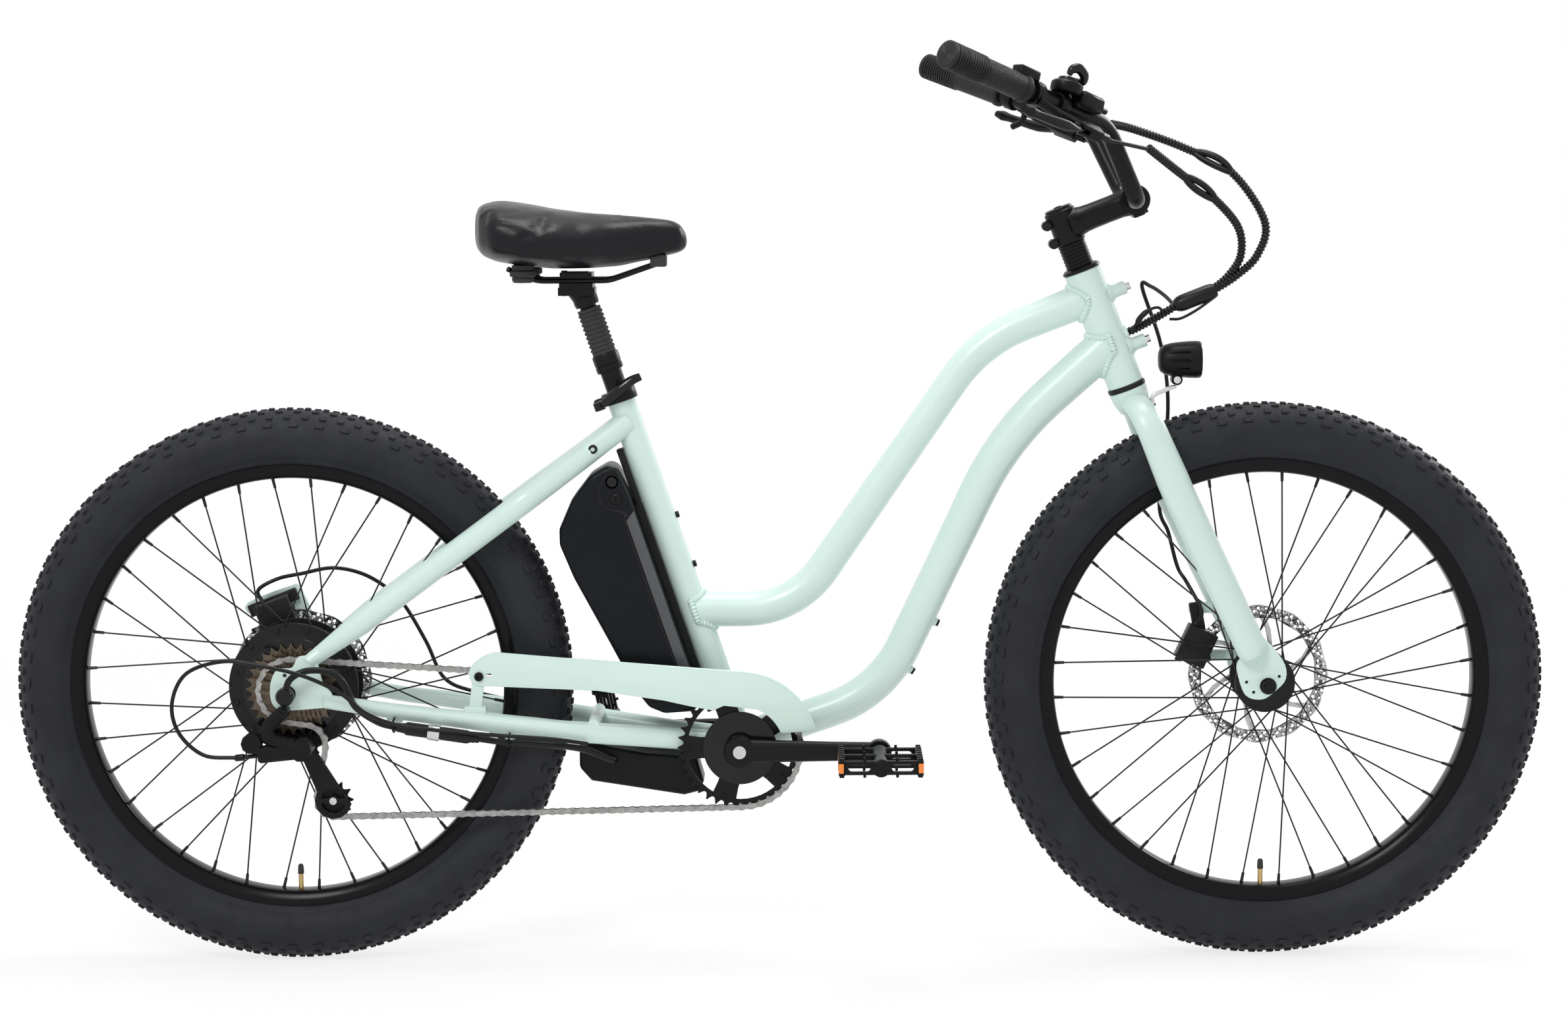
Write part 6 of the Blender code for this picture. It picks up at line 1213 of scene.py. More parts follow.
@dataclass
class Hubs:
    """The front hub, the rear hub motor, the axles, the brake rotors and the freewheel."""

    rotor_radius: float = 0.09
    front_rotor_y: float = 0.0395
    rear_rotor_y: float = 0.052

    def front_hub(self) -> None:
        """The front hub's barrel and flanges with their spoke holes."""
        profile = [(0.007, -0.0497), (0.011, -0.0497), (0.0125, -0.044), (0.017, -0.034), (0.034, -0.0312),
            (0.0378, -0.0303), (0.038, -0.029), (0.038, -0.025), (0.0374, -0.0238), (0.018, -0.0215),
            (0.0165, -0.015), (0.016, 0.0), (0.0165, 0.015), (0.018, 0.0215), (0.0374, 0.0238),
            (0.038, 0.025), (0.038, 0.029), (0.0378, 0.0303), (0.0275, 0.0315), (0.026, 0.033),
            (0.026, 0.0382), (0.0157, 0.0382), (0.015, 0.049), (0.007, 0.0497)]
        hub = Bench.turned("front_hub", profile, FRONT, SIDE, 64, True)
        heads = []
        for index in range(36):
            side = RIGHT if index % 2 else LEFT
            spot = around(FRONT, 0.034, (index + 0.5) * 10.0 + (55.0 if index // 2 % 2 else -55.0),
                side * 0.03)
            heads.append(Matrix.Translation(spot))
        stud = Bench.rod("spoke_head", Vector((0, -0.002, 0)), Vector((0, 0.002, 0)), 0.0019, 10)
        hub = Bench.join("front_hub", [hub, Bench.copies("heads", stud, heads)])
        Shop.fit(hub, Body.FRONT_WHEEL, Finishes.ALLOY)

    def motor(self) -> None:
        """The hub motor's drum with its two flanges, side cover and cover screws."""
        profile = [(0.007, -0.03), (0.045, -0.0285), (0.052, -0.028), (0.054, -0.0262), (0.069, -0.0245),
            (0.0712, -0.024), (0.0818, -0.024), (0.0825, -0.0233), (0.0825, -0.0207), (0.0818, -0.02),
            (0.077, -0.02), (0.0765, -0.019), (0.0765, 0.019), (0.077, 0.02), (0.0818, 0.02),
            (0.0825, 0.0207), (0.0825, 0.0233), (0.0818, 0.024), (0.0712, 0.024), (0.07, 0.0262),
            (0.065, 0.0292), (0.03, 0.0392), (0.0275, 0.0405), (0.027, 0.0507), (0.016, 0.0507),
            (0.016, 0.0558), (0.007, 0.056)]
        parts = [Bench.turned("motor_drum", profile, REAR, SIDE, 96, True)]
        for index in range(12):
            for level, outward in ((-0.024, -SIDE), (0.024, SIDE)):
                spot = around(REAR, 0.0745, index * 30.0 + 15.0, level)
                parts.append(Bench.rod("cover_screw", spot, spot + outward * 0.0022, 0.003, 12, 0.0005))
        stud = Bench.rod("spoke_head", Vector((0, -0.0026, 0)), Vector((0, 0.0026, 0)), 0.0019, 10)
        heads = []
        for index in range(36):
            side = RIGHT if index % 2 else LEFT
            heads.append(Matrix.Translation(around(REAR, 0.0795, (index + 0.5) * 10.0
                + (22.0 if index // 2 % 2 else -22.0), side * 0.022)))
        parts.append(Bench.copies("heads", stud, heads))
        for index in range(16):
            spot = around(REAR, 0.0485, index * 22.5, 0.0335)
            parts.append(Bench.brick("cover_fin", spot, (0.03, 0.005, 0.0022), (spot - REAR) * 1.0 - SIDE
                * 0.0335, SIDE.cross(spot - REAR), 0.0006, 1))
        Shop.fit(Bench.join("hub_motor_shell", parts), Body.REAR_WHEEL, Finishes.ALLOY, "rear_hub_motor")

    def rotor(self, name: str, axle: Point, offset: float, body: Body) -> None:
        """A brake rotor: a wavy outer band drilled all round, on six swept arms."""
        half = 0.0009
        band, edge = [], []
        count = 144
        for step in range(count):
            angle = 360.0 * step / count
            ripple = 0.0011 * math.cos(math.radians(angle * 12.0))
            point = around(axle, self.rotor_radius - 0.0012 + ripple, angle)
            band.append((point.x, point.z))
            point = around(axle, 0.0735 - 0.0008 * math.cos(math.radians(angle * 12.0)), angle)
            edge.append((point.x, point.z))
        disc = Bench.plate(name, band, offset - half, offset + half)
        disc = Bench.cut(disc, Bench.plate("band_hole", edge, offset - 0.01, offset + 0.01))
        holes = []
        for index in range(24):
            base = index * 15.0
            for radius, turn, size in ((0.0855, 0.0, 0.0022), (0.0815, 3.6, 0.0022), (0.0775, 7.2, 0.0022),
                    (0.0855, 8.2, 0.0017), (0.079, 12.4, 0.0017)):
                spot = around(axle, radius, base + turn, offset)
                holes.append(Bench.rod("hole", spot - SIDE * 0.004, spot + SIDE * 0.004, size, 10))
        disc = Bench.cut(disc, Bench.join("holes", holes))
        parts = [disc]
        for arm in range(6):
            base = arm * 60.0
            inner = [around(axle, 0.025, base - 9.0), around(axle, 0.042, base + 4.0),
                around(axle, 0.06, base + 14.5), around(axle, 0.075, base + 22.5),
                around(axle, 0.075, base + 29.5), around(axle, 0.06, base + 21.0),
                around(axle, 0.043, base + 13.0), around(axle, 0.025, base + 12.0)]
            parts.append(Bench.plate("arm", [(p.x, p.z) for p in inner], offset - half, offset + half,
                0.0002))
        parts.append(Bench.turned("spider", [(0.017, -half), (0.03, -half), (0.03, half), (0.017, half)],
            axle + SIDE * offset, SIDE, 48, True))
        Shop.fit(Bench.join(f"{name}_steel", parts), body, Finishes.rotor(f"{name}_ground", axle), name)
        bolts = []
        for index in range(6):
            spot = around(axle, 0.022, index * 60.0 + 30.0, offset + half)
            bolts.append(Bench.bolt("rotor_bolt", spot, SIDE, 0.0034, 0.002))
        Shop.fit(Bench.join(f"{name}_bolts", bolts), body, Finishes.BLACK_PAINT)

    def axles(self) -> None:
        """The axle nuts and washers."""
        for name, axle, reach, body, finish in (("front_axle", FRONT, 0.0563, Body.STEERING,
                Finishes.BLACK_PAINT), ("rear_axle", REAR, 0.0743, Body.FRAME, Finishes.BLACK_PAINT)):
            parts = [Bench.rod("spindle", axle - SIDE * (reach + 0.0125), axle + SIDE * (reach + 0.0115),
                0.0052, 24, 0.0006)]
            for side in (RIGHT, LEFT):
                face = axle + SIDE * (side * reach)
                parts.append(Bench.turned("washer", [(0.0, 0.0), (0.0105, 0.0), (0.0105, 0.0016),
                    (0.0, 0.0016)], face, SIDE * side, 32))
                parts.append(Bench.rod("nut", face + SIDE * (side * 0.0016), face + SIDE * (side * 0.0085),
                    0.0092, 6, 0.0007))
            Shop.fit(Bench.join(f"{name}_nuts", parts), body, finish, name)

    def freewheel(self) -> None:
        """Seven toothed cogs on a ribbed body."""
        teeth_counts = (28, 24, 22, 20, 18, 16, 14)
        first = CHAIN_LINE + 3 * 0.005
        parts = []
        for index, teeth in enumerate(teeth_counts):
            level = first - index * 0.005
            pitch = teeth * CHAIN_PITCH / (2.0 * math.pi)
            parts.append(toothed_plate(f"cog_{teeth}", REAR, teeth, pitch + 0.0022, pitch - 0.0044,
                level - 0.0009, level + 0.0009, pitch - 0.0125 if index < 3 else 0.018))
        parts.append(Bench.turned("freewheel_barrel", [(0.012, -0.034), (0.024, -0.034), (0.024, -0.0655),
            (0.02, -0.0658), (0.012, -0.0658)], REAR, SIDE, 40, True))
        Shop.fit(Bench.join("freewheel_cogs", parts), Body.FREEWHEEL, Finishes.COG, "freewheel")
        ring = Bench.turned("spoke_guard", [(0.03, -0.0326), (0.064, -0.0316), (0.0645, -0.0308),
            (0.03, -0.0314)], REAR, SIDE, 72, True)
        Shop.fit(ring, Body.REAR_WHEEL, Finishes.BLACK_GLOSS)

    def build(self) -> None:
        """Model all that turns on the axles, and the axles."""
        self.front_hub()
        self.motor()
        self.rotor("front_rotor", FRONT, self.front_rotor_y, Body.FRONT_WHEEL)
        self.rotor("rear_rotor", REAR, self.rear_rotor_y, Body.REAR_WHEEL)
        self.axles()
        self.freewheel()


def toothed_plate(name: str, centre: Point, teeth: int, tip: float, root: float, low: float, high: float,
        bore: float) -> bpy.types.Object:
    """A chain wheel's plate with round-bottomed teeth and a bore.

    Args:
        name: The piece's name.
        centre: The wheel's middle.
        teeth: The number of teeth.
        tip: The radius of the tooth tips.
        root: The radius of the gaps.
        low: The depth of the drive side's face.
        high: The depth of the other face.
        bore: The radius of the hole.

    Returns:
        The plate.
    """
    outline = []
    step = 360.0 / teeth
    for tooth in range(teeth):
        for share, radius in ((-0.34, root), (-0.16, root + (tip - root) * 0.55), (-0.06, tip), (0.06, tip),
                (0.16, root + (tip - root) * 0.55), (0.34, root), (0.5, root - 0.0006)):
            point = around(centre, radius, (tooth + share) * step)
            outline.append((point.x, point.z))
    plate = Bench.plate(name, outline, low, high)
    hole = Bench.rod("bore", Vector((centre.x, low - 0.003, centre.z)),
        Vector((centre.x, high + 0.003, centre.z)), bore, 48)
    return Bench.shade(Bench.cut(plate, hole))


@dataclass
class DriveTrain:
    """The chain, chainring, cranks, pedals, derailleur and chain guard."""

    ring_teeth: int = 38
    cog_teeth: int = 20
    pulley_teeth: int = 11
    crank_length: float = 0.175
    guide: Point = field(default_factory=lambda: Vector((-0.5989, CHAIN_LINE, 0.2865)))
    tension: Point = field(default_factory=lambda: Vector((-0.5641, CHAIN_LINE, 0.2156)))

    def wheels(self) -> list[tuple[Point, float, bool]]:
        """The wheels that the chain runs round: centre, radius and whether it turns left."""

        def pitch(teeth: int) -> float:
            """The radius on which the pins run."""
            return teeth * CHAIN_PITCH / (2.0 * math.pi)

        level = SIDE * CHAIN_LINE
        return [(BB + level, pitch(self.ring_teeth), True), (REAR + level, pitch(self.cog_teeth), True),
            (self.guide, pitch(self.pulley_teeth) + 0.0035, False), (self.tension, pitch(self.pulley_teeth),
            True)]

    @staticmethod
    def tangent(first: tuple[Point, float, bool], second: tuple[Point, float, bool]) -> tuple[float, float]:
        """Where the chain leaves one wheel and meets the next, as angles."""
        (a, ra, a_left), (b, rb, b_left) = first, second
        gap = Vector((b.x - a.x, b.z - a.z))
        signed_a = ra if a_left else -ra
        signed_b = rb if b_left else -rb
        direction = math.atan2(gap.y, gap.x) + math.asin((signed_a - signed_b) / gap.length)
        leave = direction - math.pi / 2.0 if a_left else direction + math.pi / 2.0
        meet = direction - math.pi / 2.0 if b_left else direction + math.pi / 2.0
        return leave, meet

    def chain_line(self) -> list[Point]:
        """The chain's closed path in fine steps, from where it meets the chainring."""
        wheels = self.wheels()
        ends = [self.tangent(wheels[i], wheels[(i + 1) % 4]) for i in range(4)]
        points = []
        for index, (centre, radius, left) in enumerate(wheels):
            meet, leave = ends[index - 1][1], ends[index][0]
            sweep = (leave - meet) % (2.0 * math.pi) if left else -((meet - leave) % (2.0 * math.pi))
            steps = max(6, round(abs(sweep) / math.radians(3.0)))
            for step in range(steps + 1):
                angle = meet + sweep * step / steps
                points.append(centre + Vector((math.cos(angle), 0.0, math.sin(angle))) * radius)
        points.append(points[0].copy())
        return points

    def link(self, wide: float, name: str) -> bpy.types.Object:
        """One link's two waisted plates with their pins, along X and centred on its pitch."""
        half = CHAIN_PITCH / 2.0
        outline = []
        for centre, start in ((half, -90.0), (-half, 90.0)):
            for step in range(7):
                turn = math.radians(start + step * 30.0)
                outline.append((centre + 0.004 * math.cos(turn), 0.004 * math.sin(turn)))
            outline.append((0.0, 0.0029 if centre > 0.0 else -0.0029))
        plates = [Bench.plate("plate", outline, level - 0.0004, level + 0.0004, 0.0)
            for level in (-wide, wide)]
        return Bench.join(name, plates)

    def chain(self) -> None:
        """The chain's links, in a lower stretch through the cage, left on no body, and an upper one on the
        frame.
        """
        path = self.chain_line()
        length = sum((b - a).length for a, b in zip(path, path[1:]))
        count = 2 * round(length / CHAIN_PITCH / 2.0)
        pins = stepped(path, length / count)
        outer = self.link(0.0031, "outer_link")
        inner = self.link(0.0022, "inner_link")
        roller = Bench.rod("roller", Vector((0, -0.0036, 0)), Vector((0, 0.0036, 0)), 0.0019, 10)
        barrel = Bench.rod("barrel", Vector((0, -0.0018, 0)), Vector((0, 0.0018, 0)), 0.0038, 12)
        roller = Bench.join("roller", [roller, barrel])
        groups: dict[bool, dict[str, list[Matrix]]] = {flag: {"outer": [], "inner": [], "pin": []}
            for flag in (True, False)}
        for index in range(len(pins) - 1):
            a, b = pins[index], pins[index + 1]
            heading = (b - a).normalized()
            middle = (a + b) / 2.0
            upward = heading.cross(SIDE)
            turn = Matrix((heading, SIDE, upward)).transposed().to_4x4()
            low = middle.z < 0.262 and middle.x < BB.x or (
                (middle - self.guide).length < 0.036 and middle.x > -0.6)
            place = Matrix.Translation(middle) @ turn
            groups[low]["outer" if index % 2 else "inner"].append(place)
            groups[low]["pin"].append(Matrix.Translation(a))
        for low, name in ((True, "chain_lower"), (False, "chain_upper")):
            parts = []
            for source, key in ((outer, "outer"), (inner, "inner"), (roller, "pin")):
                copy = source.copy()
                copy.data = source.data.copy()
                bpy.context.scene.collection.objects.link(copy)
                parts.append(Bench.copies(key, copy, groups[low][key]))
            piece = Bench.join(name, parts)
            if low:
                piece.data.materials.clear()
                piece.data.materials.append(Finishes.CHAIN.material())
                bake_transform(piece)
                LOG.info("%s bends between frame and cage", name)
            else:
                Shop.fit(piece, Body.FRAME, Finishes.CHAIN, "chain")
        for leftover in (outer, inner, roller):
            bpy.data.objects.remove(leftover)

    def chainring(self) -> None:
        """The toothed ring on its slotted spider, with the round guard disc outside it."""
        centre = BB + SIDE * CHAIN_LINE
        pitch = self.ring_teeth * CHAIN_PITCH / (2.0 * math.pi)
        ring = toothed_plate("ring_teeth", BB, self.ring_teeth, pitch + 0.0022, pitch - 0.0044,
            CHAIN_LINE - 0.001, CHAIN_LINE + 0.001, 0.0665)
        Shop.fit(ring, Body.CRANKS, Finishes.BLACK_PAINT, "chainring")
        parts = []
        for arm in range(5):
            base = arm * 72.0 + 36.0
            outline = [around(BB, 0.03, base - 26.0), around(BB, 0.052, base - 15.0),
                around(BB, 0.0705, base - 13.0), around(BB, 0.0705, base + 13.0),
                around(BB, 0.052, base + 15.0), around(BB, 0.03, base + 26.0)]
            parts.append(Bench.plate("spider_arm", [(p.x, p.z) for p in outline], CHAIN_LINE - 0.003,
                CHAIN_LINE + 0.0022, 0.0008))
            spot = around(BB, 0.0655, base, CHAIN_LINE - 0.003)
            parts.append(Bench.bolt("ring_bolt", spot, -SIDE, 0.0045, 0.0016))
        parts.append(Bench.turned("ring_boss", [(0.0155, -0.012), (0.024, -0.0115), (0.04, -0.0012),
            (0.04, 0.0035), (0.0155, 0.004)], centre, -SIDE, 48, True))
        Shop.fit(Bench.join("ring_spider", parts), Body.CRANKS, Finishes.BLACK_PAINT)
        disc = Bench.turned("guard_disc", [(0.0, 0.0042), (0.04, 0.0042), (0.0462, 0.0046), (0.0465, 0.0056),
            (0.044, 0.0066), (0.02, 0.0088), (0.0, 0.009)], centre, -SIDE, 72)
        Shop.fit(disc, Body.CRANKS, Finishes.BLACK_GLOSS)

    def cranks(self) -> None:
        """The two forged arms with their bosses, pedal eyes and the spindle."""
        end = 0.066
        for side, name in ((RIGHT, "crank_right"), (LEFT, "crank_left")):
            toward = -side
            path = stepped([near(BB, 0.0, side * (end + 0.01), 0.0),
                near(BB, toward * 0.06, side * (end + 0.0125), 0.0), near(BB, toward * self.crank_length,
                side * (end + 0.018), 0.0)], 0.004)
            stops = graded(path, [0.0165, 0.0145, 0.013, 0.0125])
            length = sum((b - a).length for a, b in zip(path, path[1:]))

            def section(distance: float, angle: float, stops: list[float] = stops,
                    length: float = length) -> float:
                """The arm's flattened section."""
                place = min(int(distance / length * (len(stops) - 1)), len(stops) - 1)
                square = 1.0 / max(abs(math.cos(angle)), abs(math.sin(angle))) ** 0.45
                return stops[place] * square * 0.94

            arm = Bench.swept("arm", path, section, 28, 0.6)
            boss = Bench.turned("boss", [(0.0, 0.001), (0.018, 0.001), (0.02, 0.003), (0.02, 0.015),
                (0.0185, 0.0185), (0.012, 0.02), (0.0, 0.02)], near(BB, 0.0, side * end, 0.0), SIDE * side,
                48)
            eye_at = near(BB, toward * self.crank_length, side * (end + 0.011), 0.0)
            eye = Bench.turned("eye", [(0.0075, 0.0), (0.014, 0.0), (0.0155, 0.0015), (0.0155, 0.0135),
                (0.014, 0.015), (0.0075, 0.015)], eye_at, SIDE * side, 40, True)
            parts = [arm, boss, eye]
            if side == LEFT:
                parts.append(Bench.rod("spindle", near(BB, 0.0, -end - 0.01, 0.0),
                    near(BB, 0.0, end + 0.002, 0.0), 0.0085, 32))
            else:
                parts.append(Bench.rod("snout", near(BB, 0.0, -end, 0.0), near(BB, 0.0, -0.0372, 0.0),
                    0.0148, 32))
            Shop.fit(Bench.join(f"{name}_forged", parts), Body.CRANKS, Finishes.BLACK_PAINT, name)
            cap = Bench.bolt(f"{name}_bolt", near(BB, 0.0, side * (end + 0.0198), 0.0), SIDE * side, 0.0085,
                0.0022)
            Shop.fit(cap, Body.CRANKS, Finishes.BOLT)

    def pedal(self, name: str, side: int, lean: float, body: Body) -> None:
        """A platform pedal with a toothed open cage, its core and amber reflectors."""
        eye = near(BB, -side * self.crank_length, side * 0.093, 0.0)
        turn = math.radians(lean)
        along = Vector((math.cos(turn), 0.0, math.sin(turn)))
        up = Vector((-math.sin(turn), 0.0, math.cos(turn)))
        inner = eye + SIDE * (side * 0.006)
        middle = inner + SIDE * (side * 0.049)
        parts = [Bench.turned("core", [(0.0, 0.0), (0.0115, 0.0), (0.012, 0.004), (0.01, 0.02),
            (0.0095, 0.06), (0.0112, 0.09), (0.0112, 0.0965), (0.009, 0.098), (0.0, 0.098)], inner,
            SIDE * side, 32), Bench.rod("pedal_axle", eye - SIDE * (side * 0.0138),
            inner + SIDE * (side * 0.01), 0.0068, 24, 0.0005)]
        for share in (-1.0, 1.0):
            centre = middle + along * (share * 0.048)
            parts.append(Bench.brick("cage_end", centre, (0.008, 0.098, 0.02), along, up, 0.0018))
            for level in (-1.0, 1.0):
                for step in range(7):
                    spot = middle + along * (share * 0.048) + SIDE * ((step - 3) * 0.0145) + up * (level
                        * 0.0105)
                    parts.append(Bench.brick("tooth", spot, (0.006, 0.0055, 0.003), along, up, 0.0006, 1))
        for place in (0.006, 0.049, 0.092):
            spot = inner + SIDE * (side * place)
            rib = Bench.brick("cage_rib", spot, (0.097, 0.007, 0.0175), along, up, 0.0016)
            for share in (-1.0, 1.0):
                window = Bench.brick("window", spot + along * (share * 0.0265), (0.027, 0.0095, 0.02), along,
                    SIDE, 0.004, 4)
                rib = Bench.cut(rib, window)
                for level in (-1.0, 1.0):
                    foot = spot + along * (share * 0.02) + up * (level * 0.008)
                    parts.append(Bench.rod("stud", foot, foot + up * (level * 0.0042), 0.0018, 12, 0.0005))
            parts.append(Bench.shade(rib))
        Shop.fit(Bench.join(f"{name}_cage", parts), body, Finishes.PLASTIC, name)
        lamps = [Bench.brick("lamp", middle + along * (share * 0.0513), (0.0022, 0.056, 0.013), along, up,
            0.0008) for share in (-1.0, 1.0)]
        lamps += [Bench.brick("side_lamp", middle + along * (share * 0.0488) + SIDE * (side * 0.0467),
            (0.0064, 0.006, 0.012), along, up, 0.0008) for share in (-1.0, 1.0)]
        Shop.fit(Bench.join(f"{name}_reflectors", lamps), body, Finishes.AMBER)

    def derailleur(self) -> None:
        """The derailleur's moving cage with its pulleys, and its body of links and covers."""
        cage = Bench.refined("cage_plates", "derailleur_cage", 0.0003, 1)
        Shop.fit(cage, Body.CAGE, Finishes.BLACK_PAINT, "derailleur_cage")
        for centre, body, name, tip in ((self.guide, Body.GUIDE_PULLEY, "guide_pulley", 0.0205),
                (self.tension, Body.TENSION_PULLEY, "tension_pulley", 0.0246)):
            wheel = toothed_plate(f"{name}_wheel", centre, self.pulley_teeth, tip, tip - 0.0058,
                CHAIN_LINE - 0.001, CHAIN_LINE + 0.001, 0.0034)
            Shop.fit(wheel, body, Finishes.PLASTIC, name)
        bolts = [Bench.bolt("pulley_bolt", near(centre, 0.0, -0.0086, 0.0), -SIDE, 0.0048, 0.0022)
            for centre in (self.guide, self.tension)]
        Shop.fit(Bench.join("pulley_bolts", bolts), Body.CAGE, Finishes.BOLT)
        Shop.refit("derailleur_knuckle", "derailleur_body", Body.FRAME, Finishes.PLASTIC, edge=0.0014,
            segments=3)
        bolt = Bench.bolt("hanger_bolt", near(REAR, -0.0048, -0.0943, -0.0215), -SIDE, 0.0064, 0.003)
        Shop.fit(bolt, Body.FRAME, Finishes.BLACK_PAINT)

    def guard(self) -> None:
        """The painted guard over the chain, with a rolled edge, its bolt and post."""
        top = [(0.2285, 0.022), (0.231, 0.029), (0.236, 0.036), (0.247, 0.044), (0.256, 0.0478),
            (0.264, 0.0486), (0.342, 0.0416), (0.4, 0.0371), (0.5159, 0.0272), (0.5748, 0.0226)]
        ring = BB - REAR
        curve = [(ring.x + 0.098 * math.cos(math.radians(a)), ring.z + 0.098 * math.sin(math.radians(a)))
            for a in range(82, 13, -4)]
        under = [(ring.x + 0.056 * math.cos(math.radians(a)), ring.z + 0.056 * math.sin(math.radians(a)))
            for a in range(22, 69, 5)]
        bottom = [(0.548, -0.019), (0.5345, -0.025), (0.51, -0.0205), (0.4732, -0.0121), (0.3887, 0.001),
            (0.24, 0.008), (0.2345, 0.0096), (0.2303, 0.0135), (0.2285, 0.0185)]
        outline = [(REAR.x + x, REAR.z + z) for x, z in top + curve + under + bottom]
        skin = Bench.plate("guard_skin", outline, -0.069, -0.066, 0.0007)
        slot = Bench.brick("slot", near(REAR, 0.253, -0.0675, 0.0215), (0.008, 0.02, 0.0046),
            Vector((1.0, 0.0, -0.1)), edge=0.002)
        skin = Bench.shade(Bench.cut(skin, slot))
        strap = ((0.2313, 0.012), (0.2469, 0.012), (0.243, -0.0214), (0.2274, -0.0194))
        post = Bench.plate("guard_strap", [(REAR.x + x, REAR.z + z) for x, z in strap], -0.0672, -0.0642,
            0.0007)
        edge = [Vector((REAR.x + x, -0.0672, REAR.z + z)) for x, z in top + curve]
        roll = Bench.runs("guard_roll", [stepped(edge, 0.004)], 0.002, 10)
        Shop.fit(Bench.join("guard_painted", [skin, post, roll]), Body.FRAME, Finishes.MINT, "chain_guard")
        bolt = Bench.bolt("guard_bolt", near(REAR, 0.2404, -0.069, 0.02), -SIDE, 0.0058, 0.0034)
        Shop.fit(bolt, Body.FRAME, Finishes.BLACK_PAINT)

    def build(self) -> None:
        """Model the drive train."""
        self.chain()
        self.chainring()
        self.cranks()
        self.pedal("pedal_right", RIGHT, 0.0, Body.PEDAL_RIGHT)
        self.pedal("pedal_left", LEFT, 102.0, Body.PEDAL_LEFT)
        self.derailleur()
        self.guard()
        Shop.refit("bracket_cartridge", "bottom_bracket", Body.FRAME, Finishes.ALLOY, edge=0.0004, segments=1)


